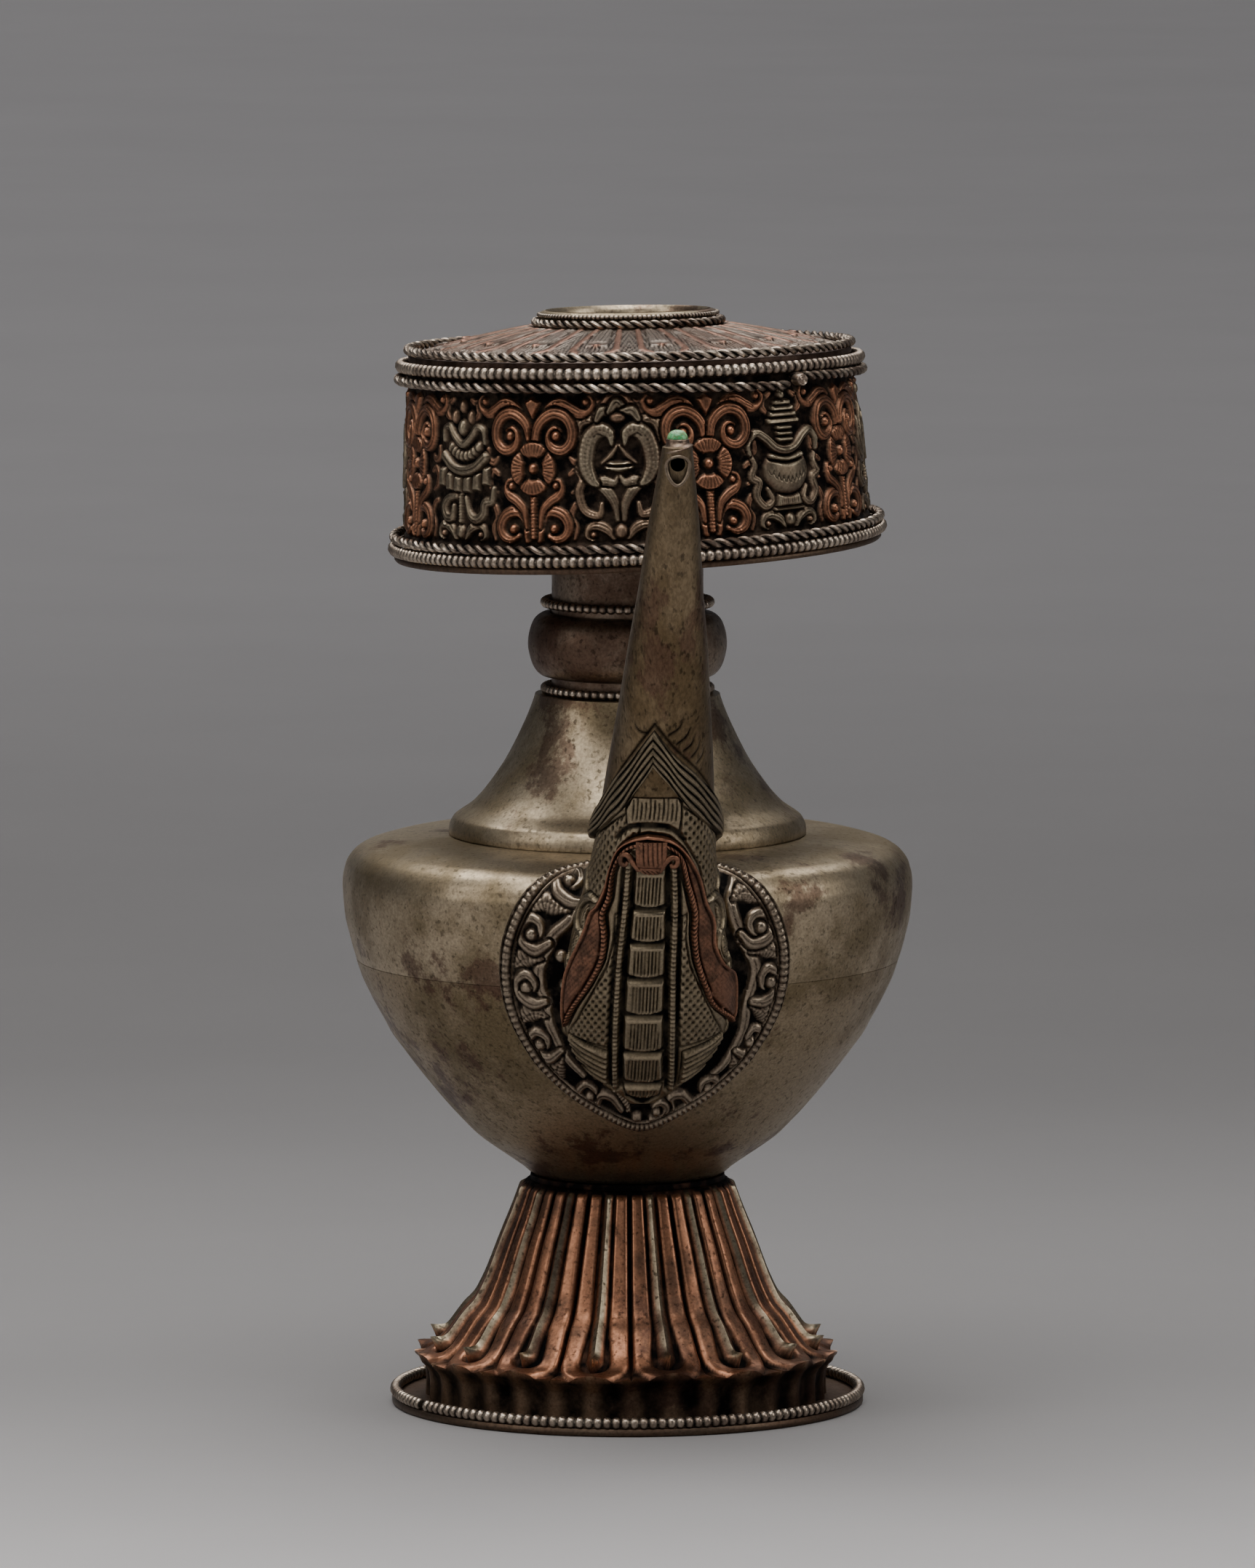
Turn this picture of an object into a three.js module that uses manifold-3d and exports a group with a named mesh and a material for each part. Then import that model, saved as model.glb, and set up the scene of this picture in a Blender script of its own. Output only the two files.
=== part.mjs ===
// Bumpa vase: a chased and part-silvered copper ritual vase with a makara spout.
// Millimetres, +Z up. The origin is the middle of the underside of the base, and the spout points along -Y.
import * as THREE from "three";
import { mergeVertices } from "three/addons/utils/BufferGeometryUtils.js";
import Module from "manifold-3d";

const wasm = await Module();
wasm.setup();

// Shared sizes: sheet metal, wires and the gaps that solder fills.
const sheet = 1.0;
const base_sheet = 1.4;
const fit_gap = 0.3;
const solder_gap = 0.1;
const cut_overrun = 2.0;

// Base and lotus foot.
const base_radius = 43.1;
const base_wire_radius = 1.05;
const foot_height = 41.0;
const foot_skirt_radius = 37.0;
const foot_skirt_height = 7.6;
const foot_top_radius = 17.9;
const foot_opening_radius = 14.5;
const petal_count = 16;
const petal_relief = 1.1;

// Bowl, shoulder and the flared cone that stands on the shoulder.
const bowl_height = 39.6;
const bowl_bottom_radius = 18.0;
const bowl_rim_radius = 49.5;
const shoulder_height = 22.6;
const belly_radius = 51.9;
const cone_foot_radius = 32.5;
const cone_height = 25.8;
const cone_top_radius = 17.0;
const cone_rim_height = 2.3;

// Neck tube with its bulb and the two beaded rings.
const neck_radius = 13.8;
const neck_height = 28.8;
const neck_bore_radius = 12.6;
const neck_wire_radius = 0.9;
const bulb_radius = 18.1;
const bulb_height = 12.0;
const bulb_lift = 2.8;
const upper_ring_lift = 16.6;

// Drum head: floor, ornamented band, crown and the wires around them.
const floor_radius = 44.2;
const floor_lift = 26.4;
const band_bottom_radius = 43.0;
const band_top_radius = 40.9;
const band_height = 31.9;
const band_ledge_height = 1.9;
const band_ledge_depth = 1.0;
const bead_wire_radius = 1.05;
const top_bead_wire_radius = 1.1;
const twist_wire_radius = 0.85;
const crown_radius = 40.2;
const crown_rise = 5.6;
const crown_opening_radius = 15.8;
const mouth_radius = 15.5;
const mouth_bore_radius = 14.3;
const mouth_height = 5.5;
const mouth_drop = 2.9;
const mouth_twist_radius = 0.8;
const mouth_bead_radius = 0.4;
const wire_end_radius = 1.3;
const wire_end_azimuth = 42.7;

// The head was set by hand: it leans, noses up and sits off the middle, more at its floor than at its crown.
const floor_lean = 2.8;
const crown_lean = 1.0;
const floor_nod = 0.0;
const crown_nod = 1.9;
const floor_shift = 1.85;
const crown_shift = 0.2;

// Spout, its makara head and the teardrop plate behind it.
const spout_azimuth = 4.0;
const spout_wall = 1.2;
const spout_reach = 92.4;
const spout_bottom = 60.0;
const spout_height = 123.6;
const spout_drift = 2.6;
const makara_width = 30.0;
const joint_height = 60.0;
const pour_hole_radius = 5.0;
const pour_hole_height = 91.0;
const plate_width = 56.6;
const plate_length = 63.5;
const plate_sheet = 1.0;
const plate_clearance = 0.2;
const applied_sheet = 0.9;
const mouth_slot_width = 4.4;
const mouth_slot_length = 6.4;
const mouth_slot_drop = 1.0;
const bezel_radius = 3.1;
const bezel_height = 1.5;
const stone_radius = 2.0;
const stone_height = 2.1;

// Facets: steps around a turned piece, around a wire, around a petal, around a spout slice and round the plate.
const turn_steps = 40;
const wire_sides = 6;
const slice_sides = 20;
const plate_sides = 28;
const plate_rings = 6;

// Heights that follow from the sizes above.
const foot_top = base_sheet + foot_height;
const bowl_rim = foot_top + bowl_height;
const shoulder_top = bowl_rim + shoulder_height;
const cone_top = shoulder_top + cone_height;
const floor_bottom = cone_top + floor_lift;
const floor_top = floor_bottom + sheet;
const band_bottom = floor_top + solder_gap;
const band_top = band_bottom + band_height + band_ledge_height;
const crown_bottom = band_top + solder_gap;

// Finishes.
const silvered = new THREE.MeshStandardMaterial({ color: 0x8c8270, roughness: 0.38, metalness: 0.9 });
const beaded = new THREE.MeshStandardMaterial({ color: 0x9a8f7e, roughness: 0.36, metalness: 0.9 });
const copper = new THREE.MeshStandardMaterial({ color: 0xa2694f, roughness: 0.36, metalness: 0.95 });
const patinated = new THREE.MeshStandardMaterial({ color: 0x5c4a3e, roughness: 0.45, metalness: 0.85 });
const turquoise = new THREE.MeshStandardMaterial({ color: 0x4f9c6b, roughness: 0.35, metalness: 0.0 });

const radians = THREE.MathUtils.degToRad;
const between = THREE.MathUtils.lerp;

// Turns an outline of [radius, height] pairs about the Z axis.
function turned(outline) {
  const points = outline.map(([radius, height]) => new THREE.Vector2(radius, height));
  return new THREE.LatheGeometry(points, turn_steps).rotateX(Math.PI / 2);
}

// The outline of one side of a wall, moved along its own normals by a distance, outwards where it is positive.
function movedOutline(outline, distance) {
  return outline.map(([radius, height], index) => {
    const before = outline[Math.max(index - 1, 0)];
    const after = outline[Math.min(index + 1, outline.length - 1)];
    const run = after[0] - before[0];
    const rise = after[1] - before[1];
    const length = Math.hypot(run, rise);
    return [radius + (distance * rise) / length, height - (distance * run) / length];
  });
}

// Every second point of an outline, which is enough for the unseen side of a wall.
function thinned(outline) {
  return outline.filter((point, index) => index % 2 === 0);
}

// A turned wall: an outer outline, then the inner one back down, closed on itself.
function turnedWall(outer, inner) {
  return turned([...outer, ...inner.slice().reverse(), outer[0]]);
}

// A wire ring about the Z axis, with flats above and below so that it can rest on a face.
function wireRing(radius, height, wire) {
  const outline = [];
  for (let side = 0; side <= wire_sides; side += 1) {
    const angle = -Math.PI / 2 - Math.PI / wire_sides + (2 * Math.PI * side) / wire_sides;
    const reach = wire / Math.cos(Math.PI / wire_sides);
    outline.push([radius + reach * Math.cos(angle), height + reach * Math.sin(angle)]);
  }
  return turned(outline);
}

// A closed body through rings of points, each ring counted anticlockwise seen from its last end.
function lofted(rings) {
  const sides = rings[0].length;
  const positions = rings.flat().flatMap((point) => [point.x, point.y, point.z]);
  const faces = [];
  for (let ring = 0; ring + 1 < rings.length; ring += 1) {
    for (let side = 0; side < sides; side += 1) {
      const a = ring * sides + side;
      const b = ring * sides + ((side + 1) % sides);
      faces.push(a, b, b + sides, a, b + sides, a + sides);
    }
  }
  const ends = [0, rings.length - 1];
  for (const end of ends) {
    const middle = new THREE.Vector3();
    rings[end].forEach((point) => middle.addScaledVector(point, 1 / sides));
    const centre = positions.length / 3;
    positions.push(middle.x, middle.y, middle.z);
    for (let side = 0; side < sides; side += 1) {
      const a = end * sides + side;
      const b = end * sides + ((side + 1) % sides);
      if (end === 0) faces.push(centre, b, a);
      else faces.push(centre, a, b);
    }
  }
  return meshData(positions, faces);
}

// A closed body through rings of points that itself closes on itself, such as a shell with an opening at each end.
function loopLofted(rings) {
  const sides = rings[0].length;
  const positions = rings.flat().flatMap((point) => [point.x, point.y, point.z]);
  const faces = [];
  for (let ring = 0; ring < rings.length; ring += 1) {
    const next = (ring + 1) % rings.length;
    for (let side = 0; side < sides; side += 1) {
      const step = (side + 1) % sides;
      const a = ring * sides + side;
      const b = ring * sides + step;
      const c = next * sides + step;
      const d = next * sides + side;
      faces.push(a, b, c, a, c, d);
    }
  }
  return meshData(positions, faces);
}

function meshData(positions, faces) {
  const geometry = new THREE.BufferGeometry();
  geometry.setAttribute("position", new THREE.Float32BufferAttribute(positions, 3));
  geometry.setIndex(faces);
  return geometry;
}

// Solids for joining and cutting, and back again.
function solidOf(geometry) {
  const bare = geometry.clone();
  bare.deleteAttribute("normal");
  bare.deleteAttribute("uv");
  const merged = mergeVertices(bare);
  return new wasm.Manifold(
    new wasm.Mesh({
      numProp: 3,
      vertProperties: merged.attributes.position.array,
      triVerts: new Uint32Array(merged.index.array),
    }),
  );
}

function geometryOf(solid) {
  const mesh = solid.getMesh();
  return meshData([...mesh.vertProperties], [...mesh.triVerts]);
}

const vase = new THREE.Group();
const spout = new THREE.Group();
spout.rotation.z = radians(spout_azimuth);
vase.add(spout);

function addPiece(group, name, geometry, material) {
  const mesh = new THREE.Mesh(geometry, material);
  mesh.name = name;
  group.add(mesh);
}

// Base: a round plate with a beaded wire on its edge.
const base_wire_centre = base_radius - base_wire_radius + fit_gap;
addPiece(vase, "base_plate", turned([[0, 0], [base_radius, 0], [base_radius, base_sheet], [0, base_sheet]]), patinated);
addPiece(
  vase,
  "base_beaded_wire",
  wireRing(base_wire_centre, base_sheet + base_wire_radius, base_wire_radius),
  beaded,
);

// Lotus foot: an upright corrugated skirt, then long fluted petals that sweep up to the bowl.
// Each row holds its height share, its radius share, and the relief of its petals as a share.
const foot_row_shares = [
  [0.0, 0.985, 0.45],
  [0.9, 0.985, 0.45],
  [1.0, 1.03, 0.9],
  [1.12, 0.99, 0.6],
];
const flute_row_shares = [
  [0.1, 0.78, 1.0],
  [0.22, 0.53, 1.0],
  [0.36, 0.36, 1.0],
  [0.56, 0.22, 0.9],
  [0.78, 0.105, 0.7],
  [0.96, 0.015, 0.45],
  [1.0, 0.0, 0.0],
];
// Six points to a petal: its silvered rib, a channel, a raised border, the groove between petals, and back.
const petal_point_shares = [1.0, -0.55, 0.55, -0.9, 0.55, -0.55];
const foot_steps = petal_count * petal_point_shares.length;

function footRing(radius, height, relief) {
  const ring = [];
  for (let step = 0; step < foot_steps; step += 1) {
    const angle = (2 * Math.PI * (step + petal_point_shares.length / 2)) / foot_steps - Math.PI / 2;
    const bump = relief * petal_point_shares[step % petal_point_shares.length];
    ring.push(new THREE.Vector3((radius + bump) * Math.cos(angle), (radius + bump) * Math.sin(angle), height));
  }
  return ring;
}

function footRows() {
  const skirt_top = foot_skirt_height * foot_row_shares[foot_row_shares.length - 1][0];
  const skirt = foot_row_shares.map(([rise, reach, relief]) => [
    foot_skirt_radius * reach,
    foot_skirt_height * rise,
    petal_relief * relief,
  ]);
  const flutes = flute_row_shares.map(([rise, reach, relief]) => [
    between(foot_top_radius, foot_skirt_radius, reach),
    between(skirt_top, foot_height, rise),
    petal_relief * relief,
  ]);
  return [...skirt, ...flutes];
}

function lotusFoot() {
  const rows = footRows();
  const wall = sheet + petal_relief;
  const outside = rows.map(([radius, height, relief]) => footRing(radius, base_sheet + height, relief));
  const inside_rows = [
    [foot_opening_radius, foot_height],
    [foot_opening_radius, foot_height - sheet],
    [foot_top_radius - wall, foot_height - wall],
    ...rows
      .slice(foot_row_shares.length, -2)
      .filter((row, index) => index % 2 === 1)
      .reverse()
      .map(([radius, height]) => [radius - wall, height - wall / 2]),
    [foot_skirt_radius - wall, foot_skirt_height],
    [foot_skirt_radius - wall, 0],
  ];
  const inside = inside_rows.map(([radius, height]) => footRing(radius, base_sheet + height, 0));
  return loopLofted([...outside, ...inside]);
}
addPiece(vase, "lotus_foot", lotusFoot(), copper);

// Body: a deep bowl and a rounded shoulder that meet at a seam, both turned from the same outline.
// Shares of the height of each half, and of the way from its lower radius to its widest.
const bowl_outline_shares = [
  [0.0, 0.0],
  [0.06, 0.035],
  [0.195, 0.12],
  [0.395, 0.26],
  [0.54, 0.395],
  [0.675, 0.525],
  [0.795, 0.655],
  [0.89, 0.79],
  [0.955, 0.895],
  [1.0, 1.0],
];
const shoulder_outline_shares = [
  [0.0, 0.0],
  [0.35, 0.11],
  [0.78, 0.32],
  [1.0, 0.59],
  [0.88, 0.74],
  [0.55, 0.825],
  [0.12, 0.885],
];
const shoulder_edge_shares = [
  [0.76, 0.94],
  [0.5, 0.985],
];

const bowl_outer = bowl_outline_shares.map(([out, up]) => [
  between(bowl_bottom_radius, bowl_rim_radius, out),
  foot_top + bowl_height * up,
]);
const shoulder_seat_radius = cone_foot_radius + sheet;
const shoulder_outer = [
  ...shoulder_outline_shares.map(([out, up]) => [
    between(bowl_rim_radius, belly_radius, out),
    bowl_rim + shoulder_height * up,
  ]),
  ...shoulder_edge_shares.map(([out, up]) => [
    between(shoulder_seat_radius, bowl_rim_radius, out),
    bowl_rim + shoulder_height * up,
  ]),
  [shoulder_seat_radius, shoulder_top],
];
const shoulder_opening_radius = cone_foot_radius - 3 * sheet;

function bowlWall() {
  const inner = thinned(movedOutline(bowl_outer, -sheet).slice(1, -1));
  const floor_height = foot_top + base_sheet;
  return turned([
    [0, foot_top],
    ...bowl_outer,
    [bowl_rim_radius - sheet, bowl_rim],
    ...inner.reverse(),
    [bowl_bottom_radius - sheet, floor_height],
    [0, floor_height],
  ]);
}
addPiece(vase, "bowl", bowlWall(), silvered);

// The hole in the shoulder and the plate that lets the vase pour into its spout.
function pourHole(radius) {
  const reach = belly_radius + spout_reach;
  const hole = new THREE.CylinderGeometry(radius, radius, reach, slice_sides);
  hole.translate(0, -reach / 2, 0);
  hole.translate(0, 0, pour_hole_height);
  hole.rotateZ(radians(spout_azimuth));
  return solidOf(hole);
}

function shoulderWall() {
  const inner = thinned(movedOutline(shoulder_outer, -sheet).slice(1, -1));
  const top_inner = [shoulder_opening_radius, shoulder_top - sheet];
  const whole = turned([
    [bowl_rim_radius - sheet, bowl_rim],
    ...shoulder_outer,
    [shoulder_opening_radius, shoulder_top],
    top_inner,
    ...inner.reverse(),
    [bowl_rim_radius - sheet, bowl_rim],
  ]);
  return geometryOf(solidOf(whole).subtract(pourHole(pour_hole_radius)));
}
addPiece(vase, "shoulder", shoulderWall(), silvered);

// Neck cone: an upright rim on the shoulder, a hollow sweep, and a flat top with the bore through it.
const cone_outline_shares = [
  [0.975, 0.0],
  [0.88, 0.07],
  [0.74, 0.145],
  [0.63, 0.225],
  [0.5, 0.34],
  [0.33, 0.5],
  [0.19, 0.68],
  [0.07, 0.88],
  [0.0, 1.0],
];
const cone_outer = [
  [cone_foot_radius, shoulder_top],
  [cone_foot_radius, shoulder_top + cone_rim_height],
  ...cone_outline_shares.map(([out, up]) => [
    between(cone_top_radius, cone_foot_radius, out),
    between(shoulder_top + cone_rim_height, cone_top, up),
  ]),
];

function coneWall() {
  const inner = thinned(movedOutline(cone_outer.slice(2), -sheet).slice(0, -1));
  return turnedWall(
    [...cone_outer, [neck_bore_radius, cone_top]],
    [[cone_foot_radius - sheet, shoulder_top], ...inner, [neck_bore_radius, cone_top - sheet]],
  );
}
addPiece(vase, "neck_cone", coneWall(), silvered);

// Neck: a plain tube that rises through the drum floor, with a ring, a hollow bulb and a second ring round it.
const neck_ring_radius = neck_radius + fit_gap + neck_wire_radius;
addPiece(
  vase,
  "neck_tube",
  turnedWall(
    [[neck_radius, cone_top], [neck_radius, cone_top + neck_height]],
    [[neck_bore_radius, cone_top], [neck_bore_radius, cone_top + neck_height]],
  ),
  silvered,
);
addPiece(
  vase,
  "neck_lower_beaded_ring",
  wireRing(neck_ring_radius, cone_top + neck_wire_radius, neck_wire_radius),
  beaded,
);
addPiece(
  vase,
  "neck_upper_beaded_ring",
  wireRing(neck_ring_radius, cone_top + upper_ring_lift, neck_wire_radius),
  beaded,
);

const bulb_outline_shares = [
  [0.0, 0.0],
  [0.45, 0.06],
  [0.78, 0.2],
  [0.96, 0.38],
  [1.0, 0.54],
  [0.93, 0.72],
  [0.72, 0.88],
  [0.4, 0.97],
  [0.0, 1.0],
];
function bulbWall() {
  const seat = neck_radius + fit_gap;
  const bottom = cone_top + bulb_lift;
  const outer = bulb_outline_shares.map(([out, up]) => [between(seat, bulb_radius, out), bottom + bulb_height * up]);
  const inner = movedOutline(outer, -sheet)
    .filter((point, index) => index > 1 && index < outer.length - 2 && index % 2 === 0)
    .map(([radius, height]) => [Math.max(radius, seat), height]);
  return turnedWall(outer, [[seat, bottom + sheet], ...inner, [seat, bottom + bulb_height - sheet]]);
}
addPiece(vase, "neck_bulb", bulbWall(), silvered);

// Sets a piece of the head a little askew, as the real one sits.
function setAskew(geometry) {
  const place = geometry.attributes.position;
  for (let index = 0; index < place.count; index += 1) {
    const x = place.getX(index);
    const y = place.getY(index);
    const z = place.getZ(index);
    const share = (z - floor_top) / (crown_bottom + crown_rise - floor_top);
    const lean = radians(between(floor_lean, crown_lean, share));
    const nod = radians(between(floor_nod, crown_nod, share));
    place.setX(index, x + between(floor_shift, crown_shift, share));
    place.setZ(index, z + x * Math.tan(lean) - y * Math.tan(nod));
  }
  return geometry;
}

function addHeadPiece(name, geometry, material) {
  addPiece(vase, name, setAskew(geometry), material);
}

// Drum floor: a disc with an off-centre hole for the neck tube.
function drumFloor() {
  const disc = turned([[0, floor_bottom], [floor_radius, floor_bottom], [floor_radius, floor_top], [0, floor_top]]);
  const hole = new THREE.CylinderGeometry(
    neck_radius + fit_gap,
    neck_radius + fit_gap,
    sheet + 2 * cut_overrun,
    turn_steps,
  );
  hole.rotateX(Math.PI / 2);
  hole.translate(-floor_shift, 0, (floor_bottom + floor_top) / 2);
  return geometryOf(solidOf(disc).subtract(solidOf(hole)));
}
addHeadPiece("drum_floor", drumFloor(), patinated);

// Drum band: a tapering wall with a ledge near its top that carries the beaded wire.
const ledge_height = band_bottom + band_height;
const ledge_radius = band_top_radius - band_ledge_depth;
const band_outer = [
  [band_bottom_radius, band_bottom],
  [band_top_radius, ledge_height],
  [ledge_radius, ledge_height],
  [ledge_radius, band_top],
];
const band_inner = [
  [band_bottom_radius - sheet, band_bottom],
  [band_top_radius - sheet, ledge_height - 2 * sheet],
  [ledge_radius - sheet, ledge_height - sheet],
  [ledge_radius - sheet, band_top],
];
addHeadPiece("drum_band", turnedWall(band_outer, band_inner), copper);

function bandRadiusAt(height) {
  return between(band_bottom_radius, band_top_radius, (height - band_bottom) / band_height);
}

// The least inner radius of a wire that lies round the band at a height.
function roundBand(height) {
  return Math.max(band_bottom_radius, bandRadiusAt(height)) + fit_gap;
}
const bottom_bead_height = floor_top + solder_gap + bead_wire_radius;
const bottom_twist_height = bottom_bead_height + bead_wire_radius + solder_gap + twist_wire_radius;
const lower_twist_height = ledge_height - fit_gap - twist_wire_radius;
const top_bead_height = ledge_height + solder_gap + top_bead_wire_radius;
const upper_twist_height = crown_bottom + sheet + solder_gap + twist_wire_radius;
const head_wires = [
  ["drum_bottom_beaded_wire", roundBand(bottom_bead_height + bead_wire_radius), bottom_bead_height, bead_wire_radius],
  [
    "drum_bottom_twisted_wire",
    roundBand(bottom_twist_height + twist_wire_radius),
    bottom_twist_height,
    twist_wire_radius,
  ],
  ["drum_lower_twisted_wire", bandRadiusAt(lower_twist_height) + fit_gap, lower_twist_height, twist_wire_radius],
  ["drum_top_beaded_wire", ledge_radius + 2 * fit_gap, top_bead_height, top_bead_wire_radius],
  ["drum_upper_twisted_wire", crown_radius - twist_wire_radius, upper_twist_height, twist_wire_radius],
];
for (const [name, inside, height, wire] of head_wires) {
  addHeadPiece(name, wireRing(inside + wire, height, wire), beaded);
}

// The ball where the two ends of the lower twisted wire meet.
function wireEnd() {
  const reach = bandRadiusAt(lower_twist_height) + 2 * fit_gap + 2 * twist_wire_radius + wire_end_radius;
  const ball = new THREE.SphereGeometry(wire_end_radius, 8, 6).rotateX(Math.PI / 2);
  ball.translate(0, -reach, lower_twist_height);
  ball.rotateZ(radians(wire_end_azimuth));
  return ball;
}
addHeadPiece("wire_end_ball", wireEnd(), beaded);

// Crown: a shallow cone of sheet, its edge on the band and its middle open for the mouth.
const crown_seat_radius = crown_radius - twist_wire_radius - fit_gap;
const crown_outer = [
  [crown_radius, crown_bottom],
  [crown_radius, crown_bottom + sheet],
  [crown_seat_radius, crown_bottom + sheet],
  [mouth_radius + 3 * mouth_twist_radius, crown_bottom + crown_rise],
  [crown_opening_radius, crown_bottom + crown_rise],
];
const crown_inner = [
  [ledge_radius - sheet, crown_bottom],
  [crown_seat_radius, crown_bottom],
  [mouth_radius + 3 * mouth_twist_radius, crown_bottom + crown_rise - sheet],
  [crown_opening_radius, crown_bottom + crown_rise - sheet],
];
addHeadPiece("crown_disc", turnedWall(crown_outer, crown_inner), copper);

// Mouth: a short collar through the crown, with a twisted wire at its foot and a fine beaded wire under its lip.
const crown_top = crown_bottom + crown_rise;
const mouth_bottom = crown_top - mouth_drop;
const mouth_top = mouth_bottom + mouth_height;
addHeadPiece(
  "mouth_collar",
  turnedWall(
    [[mouth_radius, mouth_bottom], [mouth_radius, mouth_top]],
    [[mouth_bore_radius, mouth_bottom], [mouth_bore_radius, mouth_top]],
  ),
  silvered,
);
const mouth_twist_centre = crown_opening_radius + fit_gap + mouth_twist_radius;
const mouth_twist_height = crown_top + solder_gap + mouth_twist_radius;
addHeadPiece("mouth_twisted_wire", wireRing(mouth_twist_centre, mouth_twist_height, mouth_twist_radius), beaded);
addHeadPiece(
  "mouth_beaded_wire",
  wireRing(mouth_radius + fit_gap + mouth_bead_radius, mouth_top - mouth_bead_radius, mouth_bead_radius),
  beaded,
);

// Spout: level slices from the tip of the makara's throat to the end of the tube.
// Each row holds its height share, how far its front and back stand out from the body as shares of the
// spout's reach beyond the belly, and its half width as a share of the makara's width.
const slice_shares = [
  [0.0, 0.049, -0.151, 0.11],
  [0.02, 0.07, -0.179, 0.22],
  [0.057, 0.097, -0.218, 0.35],
  [0.105, 0.144, -0.237, 0.465],
  [0.146, 0.182, -0.231, 0.5],
  [0.218, 0.261, -0.229, 0.49],
  [0.283, 0.348, -0.208, 0.445],
  [0.348, 0.446, -0.141, 0.393],
  [0.388, 0.521, -0.038, 0.367],
  [0.429, 0.576, 0.06, 0.35],
  [0.485, 0.653, 0.151, 0.33],
  [0.574, 0.767, 0.316, 0.29],
  [0.68, 0.852, 0.487, 0.245],
  [0.8, 0.909, 0.635, 0.193],
  [0.9, 0.954, 0.738, 0.15],
  [1.0, 1.0, 0.829, 0.115],
];
const joint_share = joint_height / spout_height;
const drift_start_share = 0.28;

// The body's outer face as one outline, its widest place, and its radius at any height below that.
const body_outer = [...bowl_outer, ...shoulder_outer.slice(1)];
const body_widest = Math.max(...body_outer.map(([radius]) => radius));
const body_lower = body_outer.slice(0, 1 + body_outer.findIndex(([radius]) => radius >= body_widest));
function bodyReachAt(height) {
  const above = body_lower.findIndex(([, level]) => level >= height);
  if (above < 0) return body_widest;
  const low = body_lower[Math.max(above - 1, 0)];
  const high = body_lower[Math.max(above, 1)];
  return between(low[0], high[0], (height - low[1]) / (high[1] - low[1]));
}

// How far one side of the spout lies from the vase's middle at the height of a row.
function rowReach(row, column) {
  const spout_out = spout_reach - body_widest;
  return bodyReachAt(spout_bottom + spout_height * row[0]) + spout_out * row[column];
}

// A slice at any height, drawn between the rows and made larger or smaller by a margin all round.
function sliceAt(share, margin) {
  const row = Math.max(slice_shares.findIndex(([height]) => height >= share), 1);
  const low = slice_shares[row - 1];
  const high = slice_shares[row];
  const way = (share - low[0]) / (high[0] - low[0]);
  const [front, back] = [1, 2].map((column) => between(rowReach(low, column), rowReach(high, column), way));
  const middle = (front + back) / 2;
  const depth = (front - back) / 2 + margin;
  const width = makara_width * between(low[3], high[3], way) + margin;
  const drift = spout_drift * Math.max((share - drift_start_share) / (1 - drift_start_share), 0);
  const ring = [];
  for (let side = 0; side < slice_sides; side += 1) {
    const angle = (2 * Math.PI * side) / slice_sides;
    const x = drift + width * Math.cos(angle);
    ring.push(new THREE.Vector3(x, depth * Math.sin(angle) - middle, spout_bottom + spout_height * share));
  }
  return ring;
}

function spoutBetween(from, to, margin) {
  const steps = slice_shares.map(([height]) => height).filter((height) => height > from && height < to);
  return lofted([from, ...steps, to].map((share) => sliceAt(share, margin)));
}

// A solid that follows the body's outer face at a distance.
function bodyGrown(distance) {
  const grown = movedOutline(body_outer, distance);
  const first = grown[0];
  const last = grown[grown.length - 1];
  return solidOf(turned([[0, first[1] - cut_overrun], [first[0], first[1] - cut_overrun], ...grown, [0, last[1]]]));
}

// Makara head: a hollow casing, open to the body behind it and to the tube above it.
const cavity_start_share = 0.05;
const cavity_overrun_share = cut_overrun / spout_height;
function makaraHead() {
  const outside = solidOf(spoutBetween(0, joint_share, 0));
  const inside = solidOf(spoutBetween(cavity_start_share, joint_share + cavity_overrun_share, -spout_wall));
  const seat = bodyGrown(fit_gap + plate_sheet + fit_gap);
  return geometryOf(outside.subtract(inside).subtract(seat));
}
addPiece(spout, "makara_head", makaraHead(), silvered);

// Spout tube: tapering and hollow, closed at its end, with a teardrop mouth cut through its front.
const spout_end_share = 1.0;
const bore_end_share = spout_end_share - sheet / spout_height;
function mouthSlot() {
  const half = mouth_slot_width / 2;
  const centre = spout_bottom + spout_height - sheet - mouth_slot_drop - half;
  const outline = new THREE.Shape();
  outline.absarc(spout_drift, centre, half, 0, Math.PI, false);
  outline.quadraticCurveTo(
    spout_drift - half,
    centre - half,
    spout_drift,
    centre + half - mouth_slot_length,
  );
  outline.quadraticCurveTo(spout_drift + half, centre - half, spout_drift + half, centre);
  const slot = new THREE.ExtrudeGeometry(outline, { depth: spout_reach, bevelEnabled: false, curveSegments: 6 });
  return solidOf(slot.rotateX(Math.PI / 2).translate(0, -spoutEndReach(), 0));
}

function spoutEndReach() {
  const last = slice_shares[slice_shares.length - 1];
  return (rowReach(last, 1) + rowReach(last, 2)) / 2;
}

function spoutTube() {
  const outside = solidOf(spoutBetween(joint_share, spout_end_share, 0));
  const inside = solidOf(spoutBetween(joint_share - cavity_overrun_share, bore_end_share, -spout_wall));
  return geometryOf(outside.subtract(inside).subtract(mouthSlot()));
}
addPiece(spout, "spout_tube", spoutTube(), silvered);

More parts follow.
